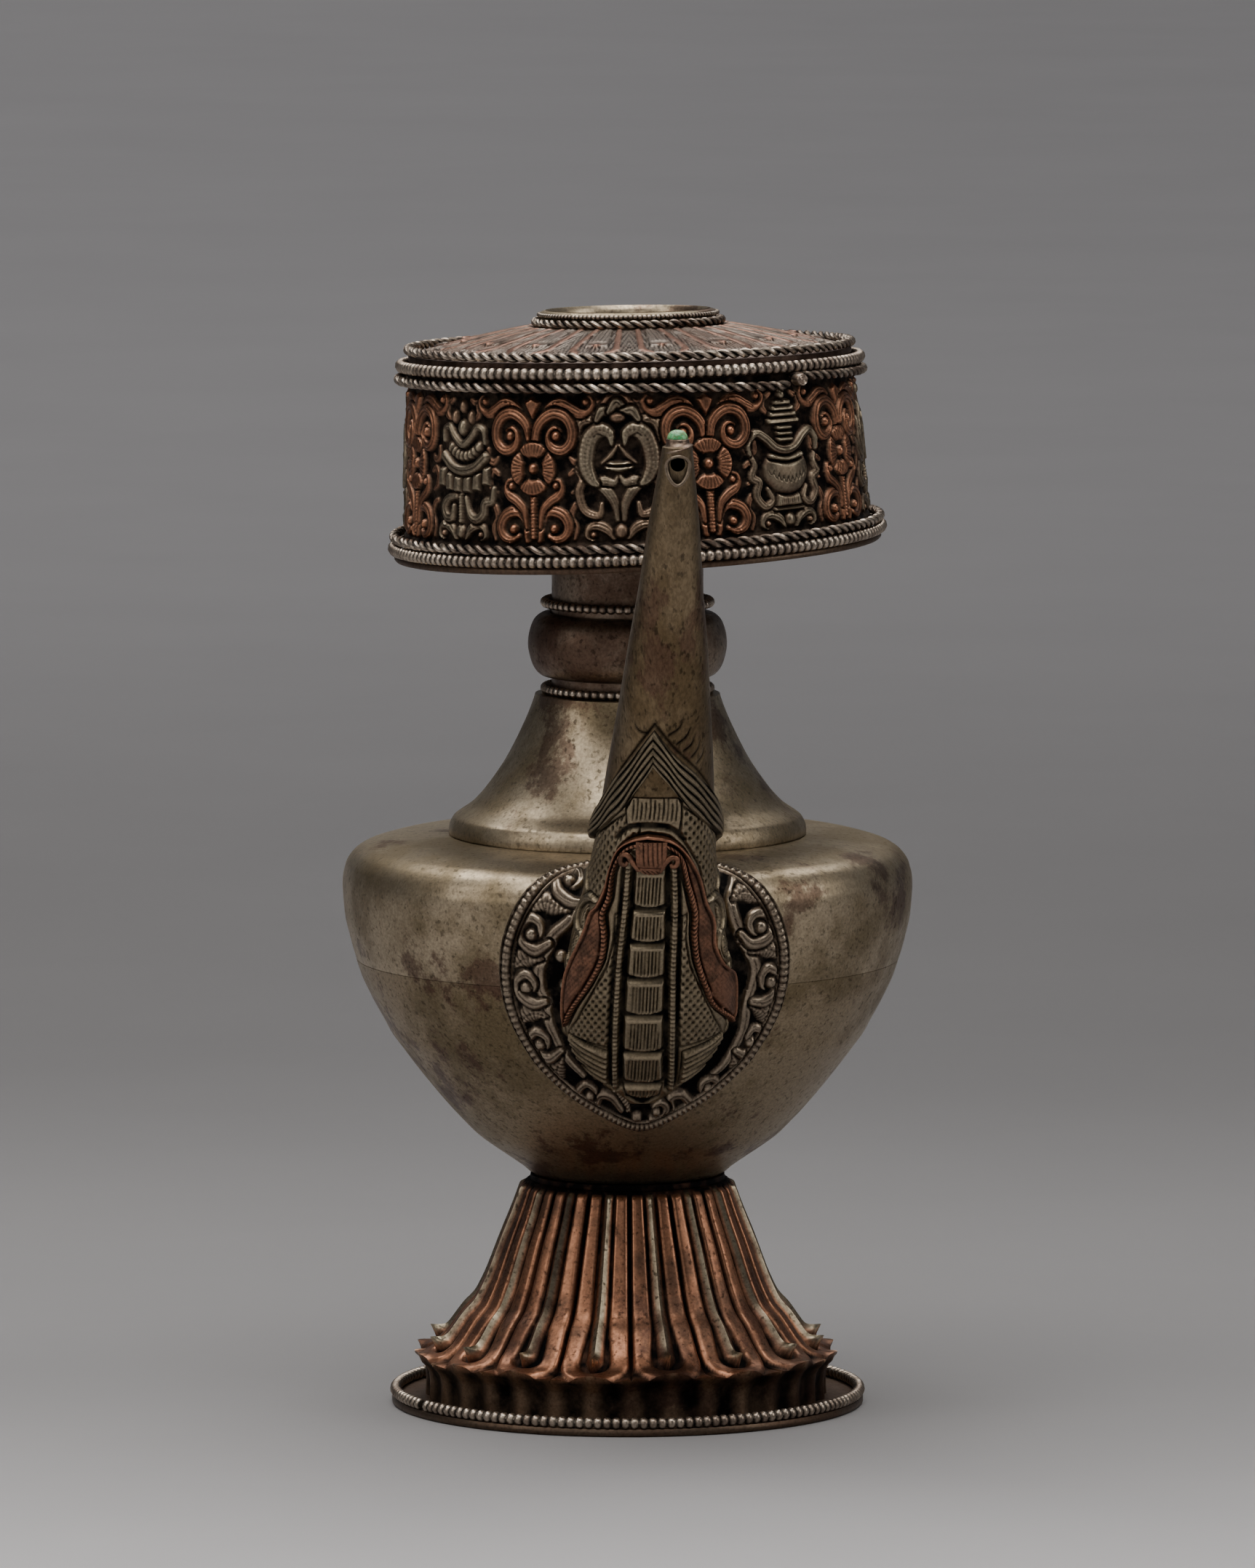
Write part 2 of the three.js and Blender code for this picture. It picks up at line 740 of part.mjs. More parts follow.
// Sheets laid on the spout: the copper lips of the makara and the plaited collar at the foot of the tube.
// Their outlines are seen from the front, as shares of the makara's width and of the spout's height.
const lip_outline_shares = [
  [0.0, 0.435],
  [0.2, 0.425],
  [0.33, 0.385],
  [0.42, 0.3],
  [0.6, 0.19],
  [0.6, 0.12],
  [0.42, 0.075],
  [0.31, 0.13],
  [0.21, 0.25],
  [0.2, 0.33],
  [0.14, 0.37],
  [0.0, 0.375],
];
const collar_outline_shares = [
  [0.0, 0.585],
  [0.16, 0.52],
  [0.36, 0.47],
  [0.45, 0.425],
  [0.36, 0.4],
  [0.24, 0.435],
  [0.12, 0.485],
  [0.0, 0.545],
];

function mirroredOutline(outline_shares, drift) {
  const right = outline_shares.map(([out, up]) => [makara_width * out, spout_bottom + spout_height * up]);
  const left = right.slice(1, -1).reverse().map(([x, z]) => [-x, z]);
  const outline = new THREE.Shape();
  [...right, ...left].forEach(([x, z], index) => {
    if (index === 0) outline.moveTo(x + drift, z);
    else outline.lineTo(x + drift, z);
  });
  return outline;
}

function laidSheet(outline_shares, from, to, drift) {
  const cutter = new THREE.ExtrudeGeometry(mirroredOutline(outline_shares, drift), {
    depth: spout_reach + cut_overrun,
    bevelEnabled: false,
  });
  const over = solidOf(spoutBetween(from, to, fit_gap + applied_sheet));
  const under = solidOf(spoutBetween(from - cavity_overrun_share, to + cavity_overrun_share, fit_gap));
  const seat = bodyGrown(fit_gap + plate_sheet + fit_gap);
  return geometryOf(over.subtract(under).intersect(solidOf(cutter.rotateX(Math.PI / 2))).subtract(seat));
}
const lips_span_shares = [0.05, 0.46];
const collar_span_shares = [0.38, 0.62];
const collar_drift = spout_drift * (joint_share - drift_start_share);
addPiece(spout, "copper_lips", laidSheet(lip_outline_shares, ...lips_span_shares, 0), copper);
addPiece(spout, "plaited_collar", laidSheet(collar_outline_shares, ...collar_span_shares, collar_drift), silvered);

// Teardrop plate: chased sheet bent to the body, laid out round the pouring hole.
const body_lengths = body_outer.map(() => 0);
for (let index = 1; index < body_outer.length; index += 1) {
  const run = body_outer[index][0] - body_outer[index - 1][0];
  const rise = body_outer[index][1] - body_outer[index - 1][1];
  body_lengths[index] = body_lengths[index - 1] + Math.hypot(run, rise);
}

function bodyLengthAt(height) {
  const index = Math.max(body_outer.findIndex(([, z]) => z >= height), 1);
  const [low, high] = [body_outer[index - 1], body_outer[index]];
  return between(body_lengths[index - 1], body_lengths[index], (height - low[1]) / (high[1] - low[1]));
}

// A point on the body at an arc across and a length along its outline, lifted off it by a distance.
function onBody(across, along, lift) {
  const found = body_lengths.findIndex((length) => length >= along);
  const index = found < 1 ? body_outer.length - 1 : found;
  const way = (along - body_lengths[index - 1]) / (body_lengths[index] - body_lengths[index - 1]);
  const outer = movedOutline(body_outer, lift);
  const radius = between(outer[index - 1][0], outer[index][0], way);
  const height = between(outer[index - 1][1], outer[index][1], way);
  const angle = across / belly_radius - Math.PI / 2;
  return new THREE.Vector3(radius * Math.cos(angle), radius * Math.sin(angle), height);
}

// The plate's edge about the pouring hole: a full oval that hangs below the hole, drawn to a small point.
const plate_drop_share = 0.154;
const plate_point_share = 0.03;
const plate_point_sharpness = 24;
function plateEdge(angle) {
  const half = (plate_length * (1 - plate_point_share)) / 2;
  const down = Math.max(-Math.sin(angle), 0);
  const point = plate_length * plate_point_share * Math.pow(down, plate_point_sharpness);
  return [
    (plate_width / 2) * Math.cos(angle),
    half * Math.sin(angle) - plate_length * plate_drop_share - point,
  ];
}

function spoutPlate() {
  const middle = bodyLengthAt(pour_hole_height);
  const rows = [];
  const row = (share, lift) => {
    const ring = [];
    for (let side = 0; side < plate_sides; side += 1) {
      const angle = (2 * Math.PI * side) / plate_sides;
      const [across, up] = plateEdge(angle);
      ring.push(
        onBody(
          between(pour_hole_radius * Math.cos(angle), across, share),
          middle + between(pour_hole_radius * Math.sin(angle), up, share),
          lift,
        ),
      );
    }
    return ring;
  };
  for (let ring = 0; ring <= plate_rings; ring += 1) rows.push(row(ring / plate_rings, fit_gap));
  for (let ring = plate_rings; ring >= 0; ring -= 1) rows.push(row(ring / plate_rings, fit_gap + plate_sheet));
  return geometryOf(solidOf(loopLofted(rows)).subtract(bodyGrown(plate_clearance)));
}
addPiece(spout, "spout_plate", spoutPlate(), silvered);

// A turquoise cabochon in a small flared bezel on the end of the spout.
const stone_reach = spoutEndReach();
const spout_end = spout_bottom + spout_height;
const bezel_outline_shares = [
  [0.0, 0.0],
  [1.0, 0.25],
  [0.86, 0.5],
  [0.76, 1.0],
  [0.0, 1.0],
];
const bezel_outline = bezel_outline_shares.map(([out, up]) => [
  bezel_radius * out,
  spout_end + solder_gap + bezel_height * up,
]);
const stone_outline_shares = [
  [0.0, 0.0],
  [1.0, 0.0],
  [0.96, 0.35],
  [0.8, 0.65],
  [0.45, 0.92],
  [0.0, 1.0],
];
const stone_bottom = spout_end + 2 * solder_gap + bezel_height;
const stone_outline = stone_outline_shares.map(([out, up]) => [
  stone_radius * out,
  stone_bottom + stone_height * up,
]);

function turnedSmall(outline) {
  const points = outline.map(([radius, height]) => new THREE.Vector2(radius, height));
  return new THREE.LatheGeometry(points, slice_sides).rotateX(Math.PI / 2);
}
addPiece(spout, "stone_bezel", turnedSmall(bezel_outline).translate(spout_drift, -stone_reach, 0), beaded);
addPiece(spout, "turquoise_stone", turnedSmall(stone_outline).translate(spout_drift, -stone_reach, 0), turquoise);

export default vase;
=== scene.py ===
# %% [markdown]
# # A chased bumpa vase in Blender
# The real vase is silvered copper sheet: a lotus foot, a deep bowl, a flared neck cone, a drum-shaped head
# with a band of raised ornament, and a long spout that rises out of a makara's mouth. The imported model
# gives every solid at its real size. This lesson dresses each of them with a finer mesh and with a metal
# that has aged.

# %% Load the frame and keep its box
import math

import bmesh
import bpy
import numpy as np
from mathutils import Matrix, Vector


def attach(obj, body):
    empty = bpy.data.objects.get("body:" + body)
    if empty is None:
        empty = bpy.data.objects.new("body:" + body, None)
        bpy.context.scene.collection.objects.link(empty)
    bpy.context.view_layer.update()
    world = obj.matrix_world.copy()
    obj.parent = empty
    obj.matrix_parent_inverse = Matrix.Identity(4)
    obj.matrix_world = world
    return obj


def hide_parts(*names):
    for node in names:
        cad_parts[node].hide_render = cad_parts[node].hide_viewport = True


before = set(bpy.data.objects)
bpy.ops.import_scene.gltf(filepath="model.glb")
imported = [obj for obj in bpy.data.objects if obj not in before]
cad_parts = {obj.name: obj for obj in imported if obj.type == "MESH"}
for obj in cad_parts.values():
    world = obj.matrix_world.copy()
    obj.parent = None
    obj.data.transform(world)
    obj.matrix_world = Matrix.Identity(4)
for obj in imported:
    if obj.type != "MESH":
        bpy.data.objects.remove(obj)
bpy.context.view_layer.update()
MM = 0.001
BODY = "root"
print("solids loaded:", len(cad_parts))

# %% [markdown]
# ## Camera, light and floor
# The ellipses of the wires give the camera: 2.73 m away, looking down by about six and a half degrees, with
# a long lens, so that upright lines stay upright. The photograph was taken on a grey sheet between two
# large soft lights, with others overhead. Here the sheet is a wide flat floor, which leaves the view open
# from every side. Four wide lamps with a narrow spread light its outer parts and don't reach the vase.

# %% Camera
CAMERA_DISTANCE = 2.717
CAMERA_HEIGHT = 0.423
AIM_HEIGHT = 0.1136
LONG_SIDE_MM = 36.0
LENS_MM = 344.7


def point_at(thing, target):
    """Turns a camera or a light so that it looks at a point."""
    direction = Vector(target) - thing.location
    thing.rotation_euler = direction.to_track_quat("-Z", "Y").to_euler()


camera_data = bpy.data.cameras.new("camera")
camera_data.sensor_width = LONG_SIDE_MM
camera_data.lens = LENS_MM
camera = bpy.data.objects.new("camera", camera_data)
bpy.context.scene.collection.objects.link(camera)
camera.location = (0.0, -CAMERA_DISTANCE, CAMERA_HEIGHT)
point_at(camera, (0.0, 0.0, AIM_HEIGHT))
bpy.context.scene.camera = camera
print("camera lens", LENS_MM, "mm")


# %% Lights and world
VASE_MIDDLE = (0.0, 0.0, 0.11)


def soft_light(name, place, size, power, colour):
    """A rectangular area light that looks at the middle of the vase."""
    light = bpy.data.lights.new(name, "AREA")
    light.shape = "RECTANGLE"
    light.size, light.size_y = size
    light.energy = power
    light.color = colour
    lamp = bpy.data.objects.new(name, light)
    bpy.context.scene.collection.objects.link(lamp)
    lamp.location = place
    point_at(lamp, VASE_MIDDLE)
    return lamp


soft_light("left_softbox", (-1.05, -0.55, 0.75), (0.6, 0.9), 3.4, (1.0, 0.96, 0.92))
soft_light("right_softbox", (1.1, -0.3, 0.7), (0.5, 0.9), 3.6, (1.0, 0.97, 0.94))
soft_light("overhead", (-0.05, -0.45, 1.3), (1.2, 0.8), 14.0, (1.0, 0.98, 0.96))
soft_light("back_overhead", (-0.1, 0.5, 1.15), (1.5, 0.6), 14.0, (1.0, 0.98, 0.96))
soft_light("front_fill", (-0.35, -1.9, 0.8), (0.7, 0.6), 2.4, (1.0, 0.97, 0.94))

FLOOR_LAMP_SIZE = (10.0, 8.0)
FLOOR_LAMP_X, FLOOR_LAMP_Y, FLOOR_LAMP_HEIGHT = -4.0, 5.0, 1.8
FLOOR_LAMP_WATTS = 181.0
FLOOR_LAMP_SPREAD = math.radians(50.0)
for quarter in range(4):
    turn = math.radians(90.0 * quarter)
    x = FLOOR_LAMP_X * math.cos(turn) - FLOOR_LAMP_Y * math.sin(turn)
    y = FLOOR_LAMP_Y * math.cos(turn) + FLOOR_LAMP_X * math.sin(turn)
    size = FLOOR_LAMP_SIZE if quarter % 2 == 0 else FLOOR_LAMP_SIZE[::-1]
    place = (x, y, FLOOR_LAMP_HEIGHT)
    wide_light = soft_light(f"floor_light_{quarter}", place, size, FLOOR_LAMP_WATTS, (1.0, 0.98, 0.98))
    wide_light.rotation_euler = (0.0, 0.0, 0.0)
    wide_light.data.spread = FLOOR_LAMP_SPREAD

world = bpy.data.worlds.new("studio")
world.use_nodes = True
world.node_tree.nodes["Background"].inputs["Color"].default_value = (0.52, 0.54, 0.58, 1.0)
world.node_tree.nodes["Background"].inputs["Strength"].default_value = 0.17
bpy.context.scene.world = world


# %% [markdown]
# ## Meshes from rings of points
# Almost every piece of this vase is a skin through rings of points: a turned wall, a bent sheet or a
# tapering tube. One helper makes such a skin with NumPy, closes its ends, and stores numbers on its points
# that the materials read later: how deep a point lies, how exposed it is, and whether the metal there is
# copper or silver.

# %% Skins and outlines
pieces = {}


def skin(name, rings, closed=False, numbers=None, sharp=50.0, whole=True):
    """A mesh through rings of points; closed joins the last ring to the first, else both get a cap.

    Where whole is false, the rings are open lines, as in one sector of a turned piece.
    """
    rings = np.asarray(rings, dtype=float) * MM
    count, around = rings.shape[:2]
    points = rings.reshape(-1, 3)
    row = np.arange(count if closed else count - 1)[:, None]
    column = np.arange(around if whole else around - 1)[None, :]
    beside, after = (column + 1) % around, (row + 1) % count
    a, b = (row * around + column).ravel(), (row * around + beside).ravel()
    c, d = (after * around + beside).ravel(), (after * around + column).ravel()
    faces = np.stack([a, b, c, d], axis=1)
    volume = np.einsum("ij,ij->i", points[a], np.cross(points[b], points[c])).sum()
    volume += np.einsum("ij,ij->i", points[a], np.cross(points[c], points[d])).sum()
    caps = []
    if whole and not closed:
        caps = [list(range(around))[::-1], list(range((count - 1) * around, count * around))]
        for cap in caps:
            for one, two in zip(cap[1:-1], cap[2:]):
                volume += np.dot(points[cap[0]], np.cross(points[one], points[two]))
    if volume < 0:
        faces = faces[:, ::-1]
        caps = [cap[::-1] for cap in caps]
    mesh = bpy.data.meshes.new(name)
    mesh.from_pydata(points.tolist(), [], faces.tolist() + caps)
    return finish_mesh(mesh, numbers, sharp)


def finish_mesh(mesh, numbers=None, sharp=50.0):
    """Stores numbers on the points, merges points that lie together and shades the mesh smooth."""
    for label, values in (numbers or {}).items():
        layer = mesh.attributes.new(label, "FLOAT", "POINT")
        layer.data.foreach_set("value", np.asarray(values, dtype=np.float32).ravel())
    work = bmesh.new()
    work.from_mesh(mesh)
    bmesh.ops.remove_doubles(work, verts=work.verts, dist=1e-6)
    bmesh.ops.dissolve_degenerate(work, edges=work.edges, dist=1e-7)
    work.to_mesh(mesh)
    work.free()
    mesh.polygons.foreach_set("use_smooth", [True] * len(mesh.polygons))
    mesh.set_sharp_from_angle(angle=math.radians(sharp))
    mesh.update()
    return mesh


def stand_in(name, mesh, material, *nodes):
    """Puts a finished mesh in the scene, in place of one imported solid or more."""
    piece = bpy.data.objects.new(name, mesh)
    bpy.context.scene.collection.objects.link(piece)
    mesh.materials.clear()
    mesh.materials.append(material)
    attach(piece, BODY)
    if nodes:
        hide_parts(*nodes)
    pieces[name] = piece
    print(name, len(mesh.vertices), "points")
    return piece


def smooth_line(points, steps):
    """A Catmull-Rom curve through points, with an even number of steps for each span."""
    points = np.asarray(points, dtype=float)
    padded = np.vstack([2 * points[0] - points[1], points, 2 * points[-1] - points[-2]])
    line = []
    for start in range(len(points) - 1):
        p0, p1, p2, p3 = padded[start : start + 4]
        for way in np.arange(steps) / steps:
            line.append(
                0.5
                * (
                    2 * p1
                    + (p2 - p0) * way
                    + (2 * p0 - 5 * p1 + 4 * p2 - p3) * way**2
                    + (3 * p1 - p0 - 3 * p2 + p3) * way**3
                )
            )
    line.append(points[-1])
    return np.array(line)


def lengths(line):
    """The length along a line up to each of its points."""
    return np.concatenate([[0.0], np.cumsum(np.linalg.norm(np.diff(line, axis=0), axis=1))])


def evenly(line, count):
    """Points at even steps along a line, and the length along it up to each of them."""
    length = lengths(line)
    even = np.linspace(0.0, length[-1], count)
    return np.stack([np.interp(even, length, column) for column in line.T], axis=1), even


def swung(points, angle):
    """Points turned about Z by an angle in radians."""
    points = np.array(points, dtype=float)
    x, y = points[..., 0].copy(), points[..., 1].copy()
    points[..., 0] = x * math.cos(angle) - y * math.sin(angle)
    points[..., 1] = x * math.sin(angle) + y * math.cos(angle)
    return points


LOBES = (2, 3, 5)


def spun(outline, steps, wobble=0.0, seed=0):
    """Turns a closed outline of (radius, height) about Z; wobble is the unevenness of hand work, in mm."""
    outline = np.asarray(outline, dtype=float)
    turn = np.arange(steps) / steps * 2 * math.pi
    dents = np.random.default_rng(seed)
    uneven = np.zeros((steps, len(outline)))
    for lobe in LOBES:
        start, rise, swing = dents.uniform(0, 6.28), dents.uniform(0.02, 0.09), dents.uniform(0.5, 1.0)
        uneven += swing * np.sin(lobe * turn[:, None] + start + rise * outline[None, :, 1])
    radius = outline[None, :, 0] + wobble * uneven / len(LOBES)
    x = radius * np.sin(turn)[:, None]
    y = -radius * np.cos(turn)[:, None]
    z = np.broadcast_to(outline[None, :, 1], x.shape)
    return np.stack([x, y, z], axis=2)


def shell_outline(outer, wall, lip=0.3):
    """Closes an open outline from low to high: its outer side, a rounded lip, its inner side."""
    outer = np.asarray(outer, dtype=float)
    along = np.gradient(outer, axis=0)
    along /= np.linalg.norm(along, axis=1)[:, None]
    inward = np.stack([-along[:, 1], along[:, 0]], axis=1)
    inner = outer + inward * wall
    top = round_over(outer[-1], inner[-1], along[-1], lip)
    bottom = round_over(inner[0], outer[0], -along[0], lip)
    return np.vstack([outer[:-1], top, inner[::-1][1:-1], bottom])


def round_over(start, end, forward, lip):
    """A few points from one edge of a wall to the other, with rounded corners."""
    across = end - start
    turns = [(0.0, -lip), (0.08, -0.3 * lip), (0.25, 0.0), (0.75, 0.0), (0.92, -0.3 * lip), (1.0, -lip)]
    return np.array([start + across * way + forward * reach for way, reach in turns])


# %% [markdown]
# ## The head sits askew
# On the real vase the drum was soldered on by hand. Its floor leans to the left by almost three degrees and
# its crown by one, and the crown tips back by two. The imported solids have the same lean, so one helper
# bends every finer mesh of the head in the same way.

# %% The lean of the head
FLOOR_TOP, CROWN_TOP = 157.8, 197.4
FLOOR_LEAN, CROWN_LEAN = math.radians(2.8), math.radians(1.0)
FLOOR_NOD, CROWN_NOD = 0.0, math.radians(1.9)
FLOOR_SHIFT, CROWN_SHIFT = 1.85, 0.2


def askew(points):
    """Leans points of the head, given in mm, as the real head leans."""
    points = np.array(points, dtype=float)
    x, y, z = points[..., 0].copy(), points[..., 1].copy(), points[..., 2].copy()
    share = (z - FLOOR_TOP) / (CROWN_TOP - FLOOR_TOP)
    lean = FLOOR_LEAN + (CROWN_LEAN - FLOOR_LEAN) * share
    nod = FLOOR_NOD + (CROWN_NOD - FLOOR_NOD) * share
    points[..., 0] = x + FLOOR_SHIFT + (CROWN_SHIFT - FLOOR_SHIFT) * share
    points[..., 2] = z + x * np.tan(lean) - y * np.tan(nod)
    return points


def bend_mesh(mesh, bend):
    """Moves every point of a mesh by a function that works in millimetres."""
    places = np.empty(len(mesh.vertices) * 3)
    mesh.vertices.foreach_get("co", places)
    places = bend(places.reshape(-1, 3) / MM) * MM
    mesh.vertices.foreach_set("co", places.ravel())
    mesh.update()


print("the head leans", round(math.degrees(FLOOR_LEAN), 1), "degrees at its floor")

# %% [markdown]
# ## Shader groups for old metal
# Every part of the vase is copper, and some of it is silvered. All of it has aged in the same way: the high
# places are rubbed bright, a brown film lies on the rest, and soot and old polish fill the grooves. That
# makes the ageing a shader node group, built once and placed in each material with its own values. It reads
# two numbers from the mesh: recess, which says how deep a point lies, and crest, which says how exposed it
# is. The same dark that recess lays in the grooves is also painted shade inside the spout's mouth and tube,
# and painted shadow before the beaks of the crown's petals.

# %% A helper that wires shader nodes
class Wiring:
    """Adds nodes to a tree and joins them; a socket passes a link, and anything else passes a value."""

    def __init__(self, tree):
        self.tree = tree

    def feed(self, socket, value):
        if hasattr(value, "is_output"):
            self.tree.links.new(value, socket)
        else:
            socket.default_value = value

    def node(self, kind, settings=None, **values):
        made = self.tree.nodes.new(kind)
        for label, value in (settings or {}).items():
            setattr(made, label, value)
        for label, value in values.items():
            self.feed(made.inputs[label.replace("_", " ")], value)
        return made

    def math(self, operation, one, two=0.0, clamp=False):
        made = self.tree.nodes.new("ShaderNodeMath")
        made.operation = operation
        made.use_clamp = clamp
        self.feed(made.inputs[0], one)
        self.feed(made.inputs[1], two)
        return made.outputs[0]

    def mix(self, share, one, two, blend="MIX"):
        made = self.tree.nodes.new("ShaderNodeMix")
        made.data_type = "RGBA"
        made.blend_type = blend
        self.feed(made.inputs[0], share)
        self.feed(made.inputs[6], one)
        self.feed(made.inputs[7], two)
        return made.outputs[2]

    def noise(self, vector, scale, detail=3.0, roughness=0.55):
        cloud = self.node(
            "ShaderNodeTexNoise", Vector=vector, Scale=scale, Detail=detail, Roughness=roughness
        )
        return cloud.outputs["Fac"]

    def span(self, value, low, high, start=0.0, end=1.0):
        made = self.tree.nodes.new("ShaderNodeMapRange")
        made.interpolation_type = "SMOOTHSTEP"
        for index, amount in enumerate((value, low, high, start, end)):
            self.feed(made.inputs[index], amount)
        return made.outputs[0]

    def scaled(self, colour, factor):
        """A colour times a factor."""
        grey = self.node("ShaderNodeCombineXYZ", X=factor, Y=factor, Z=factor)
        return self.mix(1.0, colour, grey.outputs[0], "MULTIPLY")


def node_group(tree_kind, name, inputs, outputs):
    """An empty node group with named inputs and outputs."""
    tree = bpy.data.node_groups.new(name, tree_kind)
    for label, kind, value in inputs:
        socket = tree.interface.new_socket(name=label, in_out="INPUT", socket_type=kind)
        if value is not None:
            socket.default_value = value
    for label, kind in outputs:
        tree.interface.new_socket(name=label, in_out="OUTPUT", socket_type=kind)
    return tree, tree.nodes.new("NodeGroupInput"), tree.nodes.new("NodeGroupOutput")


# %% The ageing group
FLOAT, VECTOR, COLOUR = "NodeSocketFloat", "NodeSocketVector", "NodeSocketColor"


def build_ageing():
    tree, given, result = node_group(
        "ShaderNodeTree",
        "aged_metal",
        [
            ("Vector", VECTOR, None),
            ("Metal", COLOUR, (0.6, 0.54, 0.44, 1.0)),
            ("Film", COLOUR, (0.2, 0.14, 0.08, 1.0)),
            ("Soot And Painted Shade", COLOUR, (0.008, 0.007, 0.006, 1.0)),
            ("Recess", FLOAT, 0.0),
            ("Crest", FLOAT, 0.0),
            ("Patch Scale", FLOAT, 40.0),
            ("Film Amount", FLOAT, 0.6),
            ("Film Base", FLOAT, 0.0),
            ("Recess Darkening Amount", FLOAT, 1.0),
            ("Speck Amount", FLOAT, 0.25),
            ("Stain", COLOUR, (0.09, 0.046, 0.034, 1.0)),
            ("Stain Amount", FLOAT, 0.0),
            ("Grain Amount", FLOAT, 0.3),
            ("Roughness", FLOAT, 0.34),
        ],
        [("Color", COLOUR), ("Roughness", FLOAT)],
    )
    wire = Wiring(tree)
    place = given.outputs["Vector"]
    fine_scale = wire.math("MULTIPLY", given.outputs["Patch Scale"], 4.5)
    patches = wire.noise(place, given.outputs["Patch Scale"], 4.0, 0.6)
    blotches = wire.noise(place, fine_scale, 4.0, 0.65)
    specks = wire.noise(place, 1100.0, 2.0, 0.5)
    both = wire.math("ADD", wire.math("MULTIPLY", patches, 0.6), wire.math("MULTIPLY", blotches, 0.4))
    laid = wire.math("MAXIMUM", wire.span(both, 0.4, 0.6), given.outputs["Film Base"])
    film = wire.math("MULTIPLY", laid, given.outputs["Film Amount"])
    bared = wire.math("SUBTRACT", 1.0, given.outputs["Crest"], clamp=True)
    film = wire.math("MULTIPLY", film, bared, clamp=True)
    colour = wire.mix(film, given.outputs["Metal"], given.outputs["Film"])
    uneven = wire.span(blotches, 0.3, 0.7, 0.82, 1.12)
    torn = wire.noise(place, wire.math("MULTIPLY", given.outputs["Patch Scale"], 1.7), 7.0, 0.72)
    stain = wire.math("MULTIPLY", wire.span(torn, 0.53, 0.6), given.outputs["Stain Amount"])
    colour = wire.mix(wire.math("MULTIPLY", stain, bared, clamp=True), colour, given.outputs["Stain"])
    grain = wire.span(wire.noise(place, 1900.0, 2.0, 0.6), 0.35, 0.65, -0.5, 0.5)
    grain = wire.math("ADD", 1.0, wire.math("MULTIPLY", grain, given.outputs["Grain Amount"]))
    colour = wire.scaled(colour, grain)
    deep = wire.math(
        "MULTIPLY", wire.math("MULTIPLY", given.outputs["Recess"], given.outputs["Recess Darkening Amount"]), uneven
    )
    dirt = wire.math("MULTIPLY", wire.span(specks, 0.56, 0.7), given.outputs["Speck Amount"])
    # This dark is soot in the grooves, and painted shade where recess marks the spout's mouth and tube and
    # the hollows before the crown's beaks.
    soot_and_shade = wire.math("MAXIMUM", deep, dirt, clamp=True)
    colour = wire.mix(soot_and_shade, colour, given.outputs["Soot And Painted Shade"])
    rough = wire.math("ADD", given.outputs["Roughness"], wire.math("MULTIPLY", film, 0.14))
    rough = wire.math("ADD", rough, wire.math("MULTIPLY", soot_and_shade, 0.3))
    rough = wire.math("SUBTRACT", rough, wire.math("MULTIPLY", given.outputs["Crest"], 0.06), clamp=True)
    tree.links.new(colour, result.inputs["Color"])
    tree.links.new(rough, result.inputs["Roughness"])
    return tree


ageing = build_ageing()
print("ageing group:", len(ageing.nodes), "nodes")


# %% The handwork group
def build_handwork():
    tree, given, result = node_group(
        "ShaderNodeTree",
        "hand_surface",
        [
            ("Vector", VECTOR, None),
            ("Dent Scale", FLOAT, 150.0),
            ("Dent Depth", FLOAT, 0.5),
            ("Grain Scale", FLOAT, 1400.0),
            ("Grain Depth", FLOAT, 0.15),
        ],
        [("Height", FLOAT)],
    )
    wire = Wiring(tree)
    place = given.outputs["Vector"]
    dents = wire.node(
        "ShaderNodeTexVoronoi",
        {"feature": "SMOOTH_F1"},
        Vector=place,
        Scale=given.outputs["Dent Scale"],
        Smoothness=0.7,
    ).outputs["Distance"]
    grain = wire.noise(place, given.outputs["Grain Scale"], 3.0, 0.6)
    height = wire.math(
        "ADD",
        wire.math("MULTIPLY", dents, given.outputs["Dent Depth"]),
        wire.math("MULTIPLY", grain, given.outputs["Grain Depth"]),
    )
    tree.links.new(height, result.inputs["Height"])
    return tree


handwork = build_handwork()
print("handwork group:", len(handwork.nodes), "nodes")

# %% [markdown]
# ## Metals
# One function makes a metal from the two groups. Where a piece is partly silvered, the number tone on its
# points mixes copper with silver before the ageing is laid over it. The shader is a plain Principled BSDF
# with Metallic at 1, because bare metal has no layer of its own: its colour is the colour of its
# reflections.

# %% Metals
COPPER = (0.42, 0.195, 0.11, 1.0)
SILVER = (0.44, 0.36, 0.25, 1.0)
BRIGHT_SILVER = (0.56, 0.47, 0.375, 1.0)
DULL_SILVER = (0.33, 0.28, 0.195, 1.0)
BROWN_FILM = (0.098, 0.058, 0.04, 1.0)
OLIVE_FILM = (0.16, 0.12, 0.065, 1.0)
SOOT_AND_PAINTED_SHADE = (0.0065, 0.006, 0.0062, 1.0)


